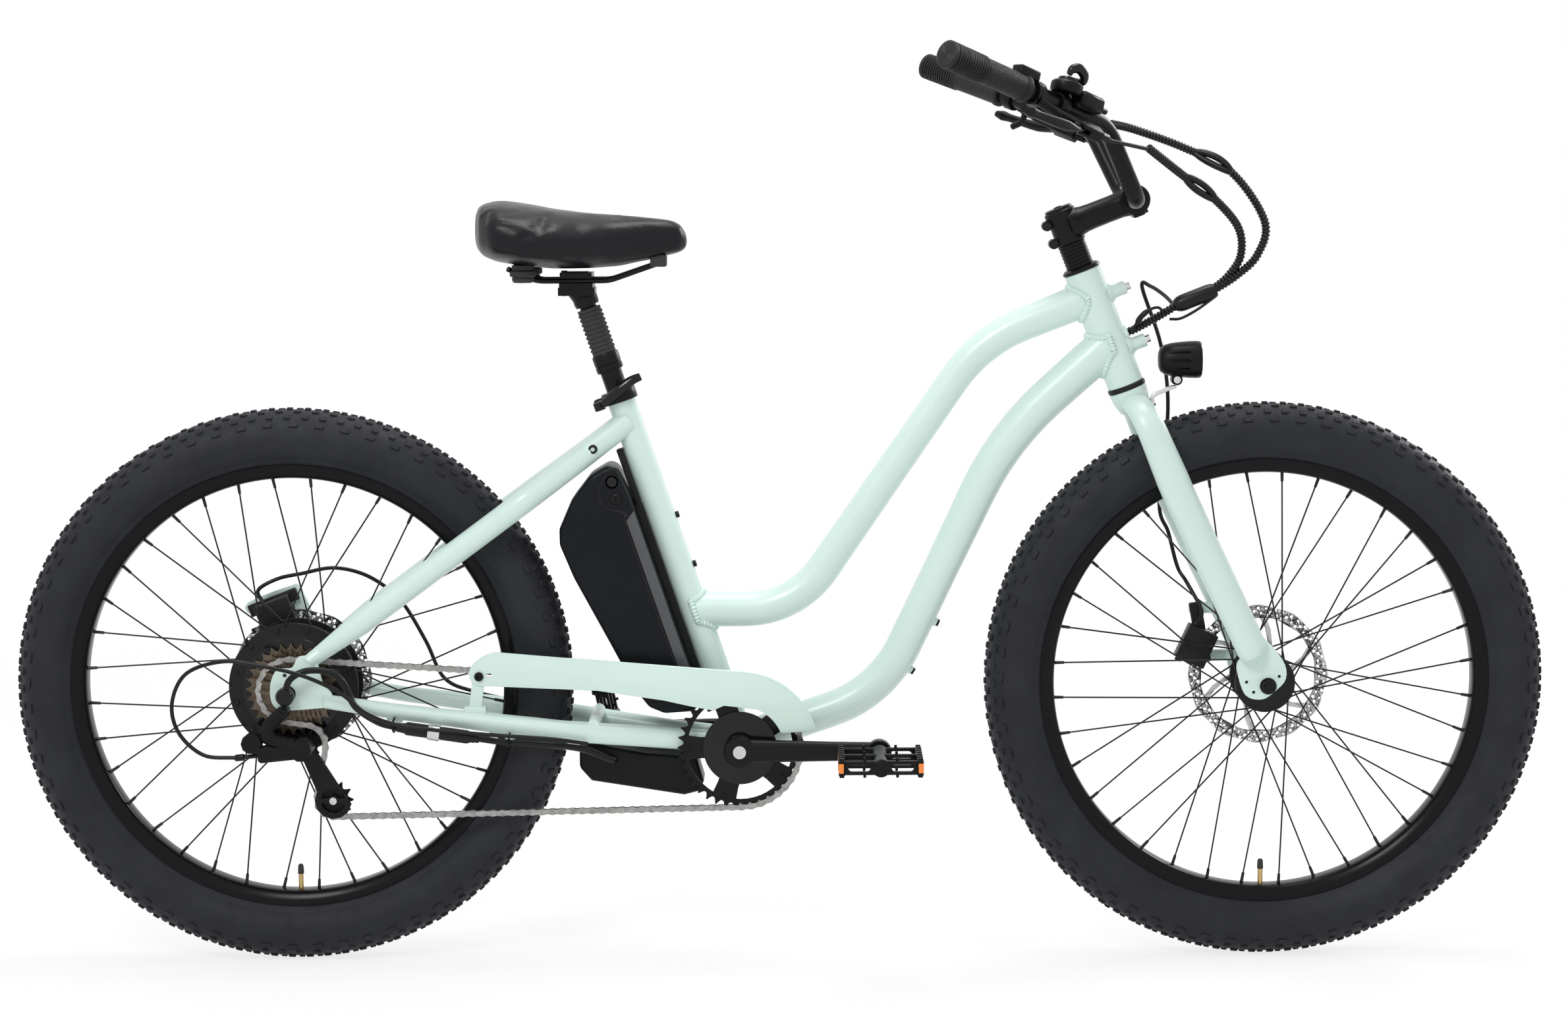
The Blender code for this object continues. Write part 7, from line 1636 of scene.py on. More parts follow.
@dataclass
class Cockpit:
    """The handlebar, stem, grips, levers, shifter, throttle and headlight."""

    bar_radius: float = 0.0111
    grip_radius: float = 0.0165
    grip_length: float = 0.138
    stem_reach: float = 0.0925
    stem_middle: float = 0.2136

    def bar_centre(self) -> Point:
        """The middle of the handlebar's clamped part."""
        return at_head(self.stem_reach, 0.0, self.stem_middle)

    def bar_path(self, side: int) -> list[Point]:
        """Half of the handlebar: across from the stem, up the riser and back to the grip."""
        centre = self.bar_centre()
        return rounded([centre, near(centre, -0.004, side * 0.077, 0.0005),
            near(centre, -0.045, side * 0.114, 0.091), near(centre, -0.2459, side * 0.3, 0.174)],
            [0.03, 0.055])

    def grip_line(self, side: int) -> tuple[Point, Point, Vector]:
        """The grip's inner end, the bar's end and the direction between them."""
        path = self.bar_path(side)
        back = (path[-2] - path[-1]).normalized()
        return path[-1] + back * self.grip_length, path[-1], back

    def bar_frame(self, side: int, distance: float) -> tuple[Point, Vector, Vector, Vector]:
        """A place on the bar in from the grip, with its own directions."""
        inner, _, back = self.grip_line(side)
        forward = (UP.cross(back) * side).normalized()
        above = (forward.cross(back) * side).normalized()
        if above.z < 0.0:
            above = -above
        return inner + back * distance, back, forward, above

    def bar(self) -> None:
        """The bent bar in one sweep, with its thicker clamped middle."""
        path = list(reversed(self.bar_path(RIGHT)))[:-1] + self.bar_path(LEFT)
        tube = Bench.runs("bar", [stepped(path, 0.005)], self.bar_radius, 28)
        centre = self.bar_centre()
        sleeve = Bench.turned("sleeve", [(0.0, -0.04), (self.bar_radius, -0.04),
            (self.bar_radius + 0.0012, -0.025), (self.bar_radius + 0.0012, 0.025), (self.bar_radius, 0.04),
            (0.0, 0.04)], centre, SIDE, 40)
        Shop.fit(Bench.join("handlebar_tube", [tube, sleeve]), Body.STEERING, Finishes.BLACK_PAINT,
            "handlebar")

    def stem(self) -> None:
        """The stem: a turned steerer clamp with two lugs, a round arm, a bar clamp and its faceplate."""
        foot, middle, centre = 0.1921, self.stem_middle, self.bar_centre()
        clamp = [(0.0, foot), (0.0186, foot), (0.0196, foot + 0.0012), (0.0197, foot + 0.005),
            (0.0184, foot + 0.01), (0.0182, foot + 0.0215), (0.0184, foot + 0.033), (0.0197, foot + 0.038),
            (0.0196, foot + 0.0418), (0.0186, foot + 0.043), (0.0176, foot + 0.0432),
            (0.0174, foot + 0.0462), (0.015, foot + 0.047), (0.0, foot + 0.047)]
        parts = [Bench.turned("steerer_clamp", clamp, HEAD_FOOT, HEAD_UP, 56)]
        arm = [at_head(ahead, 0.0, middle) for ahead in (0.006, 0.016, 0.02, 0.026, 0.036, 0.06, 0.074, 0.08,
            0.09)]
        parts.append(Bench.runs("stem_arm", [arm],
            [[0.0208, 0.0205, 0.018, 0.0168, 0.0162, 0.016, 0.0163, 0.0176, 0.0182]], 40))
        parts.append(Bench.turned("bar_clamp", [(0.0, -0.021), (0.018, -0.021), (0.019, -0.0198),
            (0.019, 0.0198), (0.018, 0.021), (0.0, 0.021)], centre, SIDE, 56))
        bolts = []
        for up in (0.2226, 0.1985):
            spot = at_head(-0.0212, 0.0, up)
            parts.append(Bench.rod("pinch_lug", spot - SIDE * 0.0118, spot + SIDE * 0.0118, 0.0063, 28,
                0.0012))
            parts.append(Bench.brick("lug_root", spot + HEAD_AHEAD * 0.006, (0.012, 0.02, 0.011), HEAD_AHEAD,
                HEAD_UP, 0.002))
            bolts.append(Bench.bolt("pinch_bolt", spot - SIDE * 0.0112, -SIDE, 0.0042, 0.0022))
        for level in (-1.0, 1.0):
            parts.append(Bench.brick("faceplate_ear", centre + HEAD_AHEAD * -0.0015 + HEAD_UP
                * (level * 0.0168), (0.0165, 0.04, 0.01), HEAD_AHEAD, HEAD_UP, 0.003, 3))
            for side in (RIGHT, LEFT):
                spot = centre + HEAD_AHEAD * 0.006 + HEAD_UP * (level * 0.0172) + SIDE * (side * 0.014)
                bolts.append(Bench.bolt("faceplate_bolt", spot, HEAD_AHEAD, 0.0036, 0.0044))
        bolts.append(Bench.bolt("cap_bolt", at_head(0.0, 0.0, foot + 0.046), HEAD_UP, 0.0052, 0.0025))
        Shop.fit(Bench.join("stem_forged", parts), Body.STEERING, Finishes.BLACK_PAINT, "stem")
        Shop.fit(Bench.join("stem_bolts", bolts), Body.STEERING, Finishes.BLACK_GLOSS)

    def headset(self) -> None:
        """The lower race ring, and the top cover with its row of spacers."""
        Shop.fit(Bench.turned("race_ring", [(0.015, -0.006), (0.0236, -0.006), (0.0245, -0.005),
            (0.0245, -0.0012), (0.0236, -0.0003), (0.015, -0.0003)], HEAD_FOOT, HEAD_UP, 48, True),
            Body.FRAME, Finishes.ALLOY, "headset_lower_cup")
        start = 0.1543
        profile = [(0.0148, start), (0.0238, start), (0.0245, start + 0.001), (0.024, start + 0.0035),
            (0.0205, start + 0.006)]
        for ring in range(7):
            foot = start + 0.006 + ring * 0.0045
            profile += [(0.0168, foot + 0.0003), (0.0175, foot + 0.0009), (0.0175, foot + 0.0036),
                (0.0168, foot + 0.0042)]
        profile.append((0.0148, start + 0.0375))
        Shop.fit(Bench.turned("spacer_stack", profile, HEAD_FOOT, HEAD_UP, 48, True), Body.STEERING,
            Finishes.BLACK_PAINT, "headset_spacers")

    def grip(self, name: str, side: int) -> None:
        """A rubber grip: end cap and flange, a ribbed outer stretch and a knurled inner one."""
        _, end, back = self.grip_line(side)
        start = end - back * 0.003
        radius, length = self.grip_radius, self.grip_length
        profile = [(0.0, 0.0), (radius - 0.002, 0.0), (radius + 0.0003, 0.0012), (radius + 0.0005, 0.005),
            (radius - 0.0004, 0.0062)]
        for rib in range(13):
            foot = 0.0072 + rib * 0.004
            profile += [(radius - 0.0018, foot), (radius - 0.0018, foot + 0.0009),
                (radius + 0.0005, foot + 0.0014), (radius + 0.0005, foot + 0.0034)]
        profile += [(radius - 0.0014, 0.0596), (radius - 0.0014, 0.0608), (radius - 0.0008, 0.0618),
            (radius - 0.0008, length - 0.008), (radius + 0.0006, length - 0.007),
            (radius + 0.0006, length - 0.002), (radius - 0.001, length), (self.bar_radius, length)]
        piece = Bench.turned(f"{name}_rubber", profile, start, back, 56)
        Shop.fit(piece, Body.STEERING, Finishes.knurl(f"{name}_knurl", start, back), name)

    def levers(self) -> None:
        """The brake levers in their mounts, each with its clamp bolt and barrel."""
        for side, name, body in ((RIGHT, "right", Body.LEVER_RIGHT), (LEFT, "left", Body.LEVER_LEFT)):
            Shop.refit(f"lever_housing_{name}", f"lever_mount_{name}", Body.STEERING, Finishes.PLASTIC,
                edge=0.0011, segments=3)
            Shop.fit(self.blade(f"lever_blade_{name}", side), body, Finishes.BLACK_PAINT,
                f"brake_lever_{name}")

    def blade(self, name: str, side: int) -> bpy.types.Object:
        """A brake lever's blade: thin in its housing, then a broad rounded bar with a ball at its tip."""
        place, back, forward, above = self.bar_frame(side, 0.014)
        drop = math.radians(40.0)
        ahead = forward * math.cos(drop) - above * math.sin(drop)
        upward = above * math.cos(drop) + forward * math.sin(drop)
        pivot = place + back * 0.066 + ahead * 0.036
        points = [pivot + back * 0.004, pivot, pivot + ahead * 0.01 - back * 0.022, pivot + ahead * 0.0165
            - back * 0.06, pivot + ahead * 0.02 - back * 0.1, pivot + ahead * 0.021 - back * 0.1205]
        broad = [0.0026, 0.0026, 0.0027, 0.005, 0.0068, 0.0068, 0.0064, 0.006, 0.0057, 0.0056, 0.007, 0.0044]
        deep = [0.0054, 0.0054, 0.005, 0.0048, 0.0048, 0.0048, 0.0046, 0.0044, 0.0044, 0.0046, 0.0058, 0.0036]
        return Bench.oval(name, points, broad, deep, upward)

    def controls(self) -> None:
        """The shifter with its thumb lever, and the throttle."""
        Shop.refit("shifter_case", "shifter_body", Body.STEERING, Finishes.PLASTIC, edge=0.001, segments=3)
        pivot = Vector((0.352888, -0.172961, 1.109335))
        _, back, _, above = self.bar_frame(RIGHT, 0.0)
        hub = Bench.turned("lever_hub", [(0.0, 0.0), (0.012, 0.0), (0.0125, 0.001), (0.012, 0.004),
            (0.009, 0.0052), (0.0, 0.0056)], pivot, above, 32)
        arm = stepped(flowing([pivot + above * 0.003, pivot + back * 0.013 + above * 0.004,
            Vector((0.3715, -0.166, 1.1095)), Vector((0.3725, -0.169, 1.1175)),
            Vector((0.366, -0.173, 1.125)), Vector((0.358, -0.176, 1.124)),
            Vector((0.354, -0.1775, 1.118))]), 0.0016)
        curl = Bench.runs("lever_curl", [arm],
            [graded(arm, [0.0046, 0.0048, 0.0046, 0.005, 0.006, 0.0062, 0.0056, 0.0034])], 18)
        Shop.fit(Bench.join("thumb_lever", [hub, curl]), Body.SHIFT_LEVER, Finishes.BLACK_GLOSS,
            "shift_lever")
        place, back, _, above = self.bar_frame(RIGHT, -0.01)
        Shop.fit(Bench.brick("control_box", place + above * 0.019 + back * 0.004, (0.034, 0.017, 0.012),
            back, above, 0.0022, 3), Body.STEERING, Finishes.PLASTIC)
        Shop.refit("throttle_paddle", "throttle", Body.THROTTLE, Finishes.PLASTIC, edge=0.001, segments=3)

    def headlight(self) -> None:
        """The headlight's finned shell with its bowl and lens, on its bracket."""
        Shop.refit("light_bracket", "headlight_bracket", Body.STEERING, Finishes.BOLT, edge=0.0006,
            segments=2)
        pivot = near(HEAD_FOOT, 0.064, 0.0, 0.006)
        centre = near(pivot, 0.004, 0.0, 0.025)
        profile = [(0.0, -0.027), (0.01, -0.0266), (0.015, -0.0245), (0.0186, -0.0195), (0.021, -0.011),
            (0.0222, -0.001), (0.0232, 0.011), (0.0235, 0.02), (0.0232, 0.025), (0.0222, 0.0262),
            (0.0205, 0.0262), (0.0195, 0.024), (0.0195, 0.02), (0.0, 0.02)]
        shell = Bench.turned("light_shell", profile, centre, ALONG, 56)
        slots = []
        for side in (RIGHT, LEFT):
            for lean in (-26.0, 0.0, 26.0):
                turn = math.radians(lean)
                outward = SIDE * (side * math.cos(turn)) + UP * math.sin(turn)
                slots.append(Bench.brick("slot", centre - ALONG * 0.002 + outward * 0.022,
                    (0.027, 0.0032, 0.0044), ALONG, outward, 0.0012, 3))
        shell = Bench.shade(Bench.cut(shell, Bench.join("slots", slots)))
        neck = Bench.brick("light_neck", near(pivot, 0.001, 0.0, 0.006), (0.012, 0.012, 0.012), edge=0.0015)
        hinge = Bench.rod("light_hinge", pivot - SIDE * 0.01, pivot + SIDE * 0.01, 0.007, 28, 0.0008)
        Shop.fit(Bench.join("headlight_shell", [shell, neck, hinge]), Body.HEADLIGHT, Finishes.PLASTIC,
            "headlight")
        bowl = Bench.turned("headlight_bowl", [(0.0, 0.0202), (0.006, 0.0204), (0.013, 0.0212),
            (0.019, 0.0236)], centre, ALONG, 48)
        rim = Bench.turned("lens_rim", [(0.0196, 0.025), (0.0222, 0.0261), (0.0226, 0.0266), (0.022, 0.0272),
            (0.02, 0.0268)], centre, ALONG, 56, True)
        Shop.fit(Bench.join("headlight_bowl", [bowl, rim]), Body.HEADLIGHT, Finishes.REFLECTOR)
        hinge_bolt = Bench.bolt("hinge_bolt", pivot - SIDE * 0.0095, -SIDE, 0.0046, 0.003)
        Shop.fit(hinge_bolt, Body.HEADLIGHT, Finishes.BOLT)
        lens = Bench.turned("headlight_lens", [(0.0, 0.0256), (0.012, 0.0254), (0.0196, 0.0246),
            (0.0196, 0.0238), (0.0, 0.024)], centre, ALONG, 48)
        Shop.fit(lens, Body.HEADLIGHT, Finishes.LENS)

    def build(self) -> None:
        """Model the cockpit."""
        self.bar()
        self.stem()
        self.headset()
        self.grip("grip_right", RIGHT)
        self.grip("grip_left", LEFT)
        self.levers()
        self.controls()
        self.headlight()


@dataclass
class Brakes:
    """The calipers with their arms, bolts and pads."""

    def build(self) -> None:
        """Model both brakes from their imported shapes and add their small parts."""
        for name, body, arm_body, axle, angle, rotor_y in (("front", Body.STEERING, Body.FRONT_ARM, FRONT,
                155.0, 0.0395), ("rear", Body.FRAME, Body.REAR_ARM, REAR, 111.0, 0.052)):
            Shop.refit(f"{name}_caliper_cast", f"{name}_caliper", body, Finishes.ALLOY, edge=0.0016,
                segments=3)
            Shop.refit(f"{name}_arm_forged", f"{name}_caliper_arm", arm_body, Finishes.BLACK_PAINT,
                edge=0.0008, segments=2)
            bolts = []
            for turn, reach in ((-12.0, 0.096), (12.0, 0.096)):
                spot = around(axle, reach, angle + turn, rotor_y + 0.0117)
                bolts.append(Bench.bolt("caliper_bolt", spot, SIDE, 0.0036, 0.003))
            Shop.fit(Bench.join(f"{name}_caliper_bolts", bolts), body, Finishes.BOLT)


@dataclass
class Cables:
    """The cables and the two wrapped looms from the controls to the head tube."""

    radius: float = 0.0025
    loom_radius: float = 0.0052

    def plain(self) -> None:
        """The motor lead, the derailleur's cable and the two brake cables."""
        end = near(REAR, 0.0, -0.0885, 0.0)
        cap = Bench.turned("axle_cap", [(0.0, 0.0), (0.0108, 0.0), (0.0115, 0.001), (0.0115, 0.009),
            (0.0095, 0.0125), (0.0, 0.014)], end, -SIDE, 36)
        lead = flowing([near(end, 0.0, -0.006, 0.004), near(REAR, 0.0075, -0.096, 0.0222),
            near(REAR, 0.0275, -0.092, 0.0321), near(REAR, 0.0555, -0.086, 0.0294),
            near(REAR, 0.072, -0.084, 0.015), near(REAR, 0.0864, -0.084, -0.0147),
            near(REAR, 0.1141, -0.082, -0.035), near(REAR, 0.14, -0.083, -0.042)])
        tail = flowing([near(REAR, 0.239, -0.0855, -0.0558), near(REAR, 0.2789, -0.085, -0.0616),
            near(REAR, 0.33, -0.081, -0.0655), near(REAR, 0.37, -0.056, -0.076),
            near(REAR, 0.404, -0.04, -0.093), near(REAR, 0.404, -0.029, -0.093)])
        start, stop = near(REAR, 0.137, -0.084, -0.041), near(REAR, 0.241, -0.0855, -0.056)
        plug = Bench.turned("motor_plug", [(0.0, 0.0), (0.005, 0.0), (0.0062, 0.004), (0.0058, 0.006),
            (0.0066, 0.008), (0.0062, 0.01), (0.0085, 0.014), (0.0085, 0.04), (0.0078, 0.0405),
            (0.0078, 0.0415), (0.01, 0.042), (0.01, 0.055), (0.0078, 0.056), (0.0085, 0.057), (0.0085, 0.09),
            (0.0062, 0.096), (0.0066, 0.098), (0.0058, 0.1), (0.0058, 0.105), (0.0, 0.105)], start,
            stop - start, 32)
        lead_piece = Bench.runs("motor_lead", [lead, tail], 0.0042, 16)
        Shop.fit(Bench.join("motor_lead", [cap, lead_piece, plug]), Body.FRAME, Finishes.CABLE, "motor_cable")
        ring = Bench.turned("plug_ring", [(0.0076, 0.0), (0.0101, 0.0004), (0.0106, 0.0014),
            (0.0106, 0.0141), (0.0101, 0.0151), (0.0076, 0.0155)], start + (stop - start).normalized()
            * 0.0405, stop - start, 40, True)
        Shop.fit(ring, Body.FRAME, Finishes.BOLT)
        shift = flowing([near(REAR, 0.376, -0.072, -0.066), near(REAR, 0.33, -0.0905, -0.056),
            near(REAR, 0.26, -0.095, -0.05), near(REAR, 0.18, -0.096, -0.042),
            near(REAR, 0.135, -0.095, -0.035), near(REAR, 0.1, -0.0985, -0.02),
            near(REAR, 0.07, -0.103, 0.006), near(REAR, 0.025, -0.11, 0.029),
            near(REAR, -0.0263, -0.112, 0.0419), near(REAR, -0.0741, -0.108, 0.0472),
            near(REAR, -0.1216, -0.1, 0.0308), near(REAR, -0.1417, -0.093, -0.0075),
            near(REAR, -0.1353, -0.088, -0.0461), near(REAR, -0.1055, -0.086, -0.0748),
            near(REAR, -0.064, -0.085, -0.079)])
        shift_end = shift[-1]
        barrel = Bench.turned("adjuster", [(0.0, -0.002), (0.0036, -0.002), (0.0044, 0.0), (0.0044, 0.009),
            (0.0032, 0.0105), (0.0028, 0.011), (0.0028, 0.03), (0.0, 0.03)], shift_end,
            Vector((1.0, 0.0, 0.1)), 20)
        housing = Bench.runs("derailleur_housing", [shift], self.radius, 14)
        Shop.fit(Bench.join("derailleur_housing", [housing, barrel]), Body.FRAME, Finishes.CABLE,
            "derailleur_cable")
        rear = flowing([near(REAR, -0.0481, 0.05, 0.098), near(REAR, -0.0545, 0.05, 0.115),
            near(REAR, -0.03, 0.054, 0.129), near(REAR, 0.0005, 0.064, 0.1345),
            near(REAR, 0.0391, 0.076, 0.14), near(REAR, 0.0773, 0.086, 0.13),
            near(REAR, 0.111, 0.092, 0.1075), near(REAR, 0.1311, 0.091, 0.085),
            near(REAR, 0.1567, 0.089, 0.04), near(REAR, 0.1798, 0.085, -0.007),
            near(REAR, 0.22, 0.083, -0.025), near(REAR, 0.28, 0.0815, -0.038),
            near(REAR, 0.33, 0.08, -0.045)])
        Shop.fit(Bench.runs("rear_brake_housing", [rear], self.radius, 14), Body.FRAME, Finishes.CABLE,
            "rear_brake_cable")
        front = flowing([Vector((0.505, 0.012, 0.829)), Vector((0.495, 0.045, 0.842)),
            Vector((0.48, 0.075, 0.853)), at_head(0.07, 0.086, 0.1), at_head(0.066, 0.089, 0.02),
            at_head(0.045, 0.09, -0.06), near(FRONT, -0.1228, 0.087, 0.2186),
            near(FRONT, -0.1107, 0.086, 0.1783), near(FRONT, -0.1, 0.076, 0.1353),
            near(FRONT, -0.09, 0.056, 0.117), near(FRONT, -0.073, 0.0365, 0.0823),
            near(FRONT, -0.0804, 0.036, 0.0642)])
        Shop.fit(Bench.runs("front_brake_housing", [front], self.radius, 14), Body.STEERING, Finishes.CABLE,
            "front_brake_cable")

    def wrapped(self, name: str, points: Sequence[Point]) -> bpy.types.Object:
        """A cable bundle in a spiral wrap, whose turns stand out as slanting ribs."""
        path = stepped(points, 0.00092)
        pitch = 0.0046

        def section(distance: float, angle: float) -> float:
            """The wrap's turns with a groove between them."""
            place = (distance / pitch + angle / (2.0 * math.pi)) % 1.0
            groove = max(0.0, 1.0 - abs(place - 0.5) / 0.3)
            return self.loom_radius * (1.06 - 0.34 * groove)

        return Bench.swept(name, path, section, 18)

    def looms(self, centre: Point) -> None:
        """The two wrapped looms, their splitter sleeves, the barrel and the entry lead."""
        left = [near(centre, -0.018, 0.114, 0.095), near(centre, 0.01, 0.08, 0.087),
            near(centre, 0.068, 0.045, 0.064), near(centre, 0.125, 0.02, 0.033),
            near(centre, 0.165, 0.004, -0.028), near(centre, 0.156, 0.0, -0.07),
            near(centre, 0.13, 0.0, -0.096), near(centre, 0.099, 0.0, -0.116)]
        right = [near(centre, 0.008, -0.1, 0.064), near(centre, 0.055, -0.06, 0.03),
            near(centre, 0.096, -0.028, 0.002), near(centre, 0.13, -0.008, -0.035),
            near(centre, 0.135, 0.0, -0.07), near(centre, 0.12, 0.0, -0.096),
            near(centre, 0.097, 0.0, -0.116)]
        parts, sleeves = [], []
        for name, points, span in (("left", left, (0.5275, 0.5765)), ("right", right, (0.5057, 0.5513))):
            path = stepped(flowing(points, 12), 0.002)
            first = next(index for index, point in enumerate(path) if point.x > span[0])
            last = next(index for index, point in enumerate(path) if point.x > span[1])
            parts.append(self.wrapped(f"loom_{name}_upper", path[:first + 2]))
            parts.append(self.wrapped(f"loom_{name}_lower", path[last - 2:]))
            stretch = path[first:last]
            for share in (-1.0, 1.0):
                strand = []
                for index, point in enumerate(stretch):
                    heading = (stretch[min(index + 1, len(stretch) - 1)]
                        - stretch[max(index - 1, 0)]).normalized()
                    open_by = 0.005 * math.sin(math.pi * index / (len(stretch) - 1)) ** 0.7
                    strand.append(point + heading.cross(SIDE).normalized() * (share * open_by))
                sleeves.append(Bench.runs("splitter", [strand],
                    [graded(strand, [0.0034, 0.0042, 0.0044, 0.0044, 0.0042, 0.0034])], 18))
        barrel_start, barrel_end = near(centre, 0.104, 0.0, -0.114), near(centre, 0.052, 0.0, -0.134)
        entry = at_head(0.0266, 0.0, 0.061)
        lead = flowing([near(centre, 0.056, 0.0, -0.1325), near(centre, 0.03, 0.0, -0.148),
            entry + HEAD_AHEAD * 0.01, entry])
        parts.append(self.wrapped("loom_trunk", lead))
        Shop.fit(Bench.join("loom_wraps", parts), Body.STEERING, Finishes.WRAP)
        plug_lead = flowing([entry + SIDE * -0.006 + HEAD_AHEAD * 0.004, Vector((0.46, -0.01, 0.82)),
            Vector((0.4737, -0.01, 0.8294)), Vector((0.483, -0.008, 0.829)), Vector((0.488, -0.005, 0.82))])
        sleeves.append(Bench.runs("plug_lead", [plug_lead], 0.0018, 12))
        sleeves.append(Bench.runs("plug_sleeve", [plug_lead[4:14]],
            [[0.0024, 0.0034, 0.0036, 0.0036, 0.0034, 0.0036, 0.0036, 0.0034, 0.003, 0.0022]], 14))
        sleeves.append(Bench.runs("barrel_lead",
            [flowing([Vector((0.5516, -0.004, 0.8427)), Vector((0.53, -0.004, 0.827)),
            Vector((0.51, 0.0, 0.816)), Vector((0.4956, 0.0, 0.815))])], 0.0018, 12))
        sleeves.append(Bench.turned("loom_barrel", [(0.0, 0.0), (0.008, 0.0), (0.0098, 0.004),
            (0.0106, 0.01), (0.0106, 0.045), (0.0098, 0.05), (0.0072, 0.055), (0.0, 0.055)], barrel_start,
            barrel_end - barrel_start, 32))
        Shop.fit(Bench.join("loom_sleeves", sleeves), Body.STEERING, Finishes.CABLE, "control_loom")

    def build(self, cockpit: Cockpit) -> None:
        """Model every cable."""
        self.plain()
        self.looms(cockpit.bar_centre())
        leads = []
        for side, ahead, level, rise in ((RIGHT, 0.011, -0.0975, 0.062), (LEFT, -0.0155, 0.111, 0.094)):
            place, back, forward, above = cockpit.bar_frame(side, 0.014)
            drop = math.radians(40.0)
            pivot = place + back * 0.066 + (forward * math.cos(drop) - above * math.sin(drop)) * 0.036
            mouth = pivot + back * 0.044
            join = near(cockpit.bar_centre(), ahead, level, rise)
            leads.append(flowing([mouth, mouth + back * 0.01, (mouth + back * 0.01).lerp(join, 0.5), join]))
        Shop.fit(Bench.runs("lever_leads", leads, self.radius, 14), Body.STEERING, Finishes.CABLE)


@dataclass
class Seat:
    """The seatpost with its collar, bellows, sliding head, rails and saddle."""

    middle: Point = field(default_factory=lambda: Vector((-0.248421, 0.0, 0.869165)))
    length: float = 0.262
    start: float = -0.125
    weave: float = 0.006
    swell_cap: float = 0.005
    pressure: float = 4.0
    last_frame: int = 20
    held_height: float = 0.045

    def post(self) -> None:
        """The lower post with its knurled cap, and the collar with its cam lever."""
        top = 0.524
        cap = 0.501
        Shop.fit(Bench.turned("post_tube", [(0.0, 0.303), (0.0136, 0.303), (0.0136, cap), (0.016, cap),
            (0.0172, cap + 0.002), (0.0172, cap + 0.008), (0.0165, cap + 0.0086), (0.0165, cap + 0.0094),
            (0.0172, cap + 0.01), (0.0172, top - 0.002), (0.0164, top), (0.0111, top), (0.0111, top - 0.02),
            (0.0, top - 0.02)], BB, SEAT_UP, 48), Body.SEATPOST, Finishes.BLACK_PAINT, "seatpost")
        ring = Bench.turned("collar_band", [(0.0177, 0.46), (0.0214, 0.46), (0.0221, 0.4612),
            (0.0221, 0.4738), (0.0212, 0.4752), (0.014, 0.4752), (0.014, 0.4732), (0.0177, 0.4732)], BB,
            SEAT_UP, 48, True)
        lug = Bench.brick("collar_lug", at_seat(0.0262, 0.0, 0.466), (0.014, 0.018, 0.0125), SEAT_BACK,
            SEAT_UP, 0.003, 3)
        nut = Bench.rod("collar_nut", at_seat(0.027, 0.008, 0.466), at_seat(0.027, 0.0135, 0.466), 0.0052,
            24, 0.0008)
        Shop.fit(Bench.join("collar_ring", [ring, lug, nut]), Body.FRAME, Finishes.BLACK_PAINT, "seat_collar")
        pivot = Vector((-0.223339, -0.0168, 0.710849))
        cam = Bench.rod("lever_cam", pivot - SEAT_UP * 0.0056, pivot + SEAT_UP * 0.0056, 0.007, 28, 0.001)
        places = ((0.0, 0.0, 0.0), (0.01, 0.0095, 0.003), (0.028, 0.014, 0.011), (0.05, 0.0125, 0.018),
            (0.062, 0.01, 0.019))
        paddle = Bench.oval("lever_paddle", [pivot - SEAT_BACK * ahead - SIDE * out + SEAT_UP * rise
            for ahead, out, rise in places], [0.005, 0.0056, 0.0062, 0.0064, 0.005],
            [0.0036, 0.003, 0.003, 0.003, 0.002], SEAT_UP)
        Shop.fit(Bench.join("cam_lever", [cam, paddle]), Body.COLLAR_LEVER, Finishes.BLACK_GLOSS,
            "seat_collar_lever")

    def bellows(self) -> None:
        """The rubber bellows with rounded ribs."""
        foot, length, ribs = 0.5243, 0.06, 9
        pitch = (length - 0.008) / ribs
        profile = [(0.0121, foot), (0.0149, foot), (0.015, foot + 0.004)]
        for rib in range(ribs):
            for step in range(8):
                share = (step + 0.5) / 8.0
                profile.append((0.0134 + 0.0026 * math.sin(math.pi * share) ** 0.8,
                    foot + 0.004 + (rib + share) * pitch))
        profile += [(0.015, foot + length - 0.004), (0.0149, foot + length), (0.0121, foot + length)]
        piece = Bench.turned("bellows_rubber", profile, BB, SEAT_UP, 48, True)
        Shop.fit(piece, Body.SEATPOST, Finishes.RUBBER, "seatpost_bellows")
        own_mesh(piece)

    def head(self) -> None:
        """The sliding head with its rail clamp, and the rails with their rear springs."""
        Shop.refit("head_clamp", "seatpost_head", Body.SEAT, Finishes.BLACK_PAINT, edge=0.001, segments=3)
        parts = []
        for side in (RIGHT, LEFT):
            path = rounded([near(self.middle, -0.085, side * 0.045, 0.016),
                near(self.middle, -0.052, side * 0.022, 0.0), near(self.middle, 0.04, side * 0.022, 0.0),
                near(self.middle, 0.1, side * 0.01, 0.0205)], [0.03, 0.04])
            parts.append(Bench.runs("rail", [stepped(path, 0.004)], 0.0035, 16))
        Shop.fit(Bench.join("rail_rods", parts), Body.SEAT, Finishes.BLACK_PAINT, "saddle_rails")
        pads = []
        for side in (RIGHT, LEFT):
            pads.append(Bench.turned("bumper", [(0.0, 0.0), (0.011, 0.0), (0.013, 0.0015), (0.014, 0.005),
                (0.0128, 0.0065), (0.0165, 0.0085), (0.0165, 0.014), (0.0135, 0.016), (0.014, 0.0215),
                (0.0, 0.022)], near(self.middle, -0.066, side * 0.048, -0.001), UP, 40))
        pads.append(Bench.brick("nose_block", near(self.middle, 0.101, 0.0, 0.024), (0.02, 0.034, 0.015),
            edge=0.0015))
        Shop.fit(Bench.join("saddle_bumpers", pads), Body.SEAT, Finishes.RUBBER)

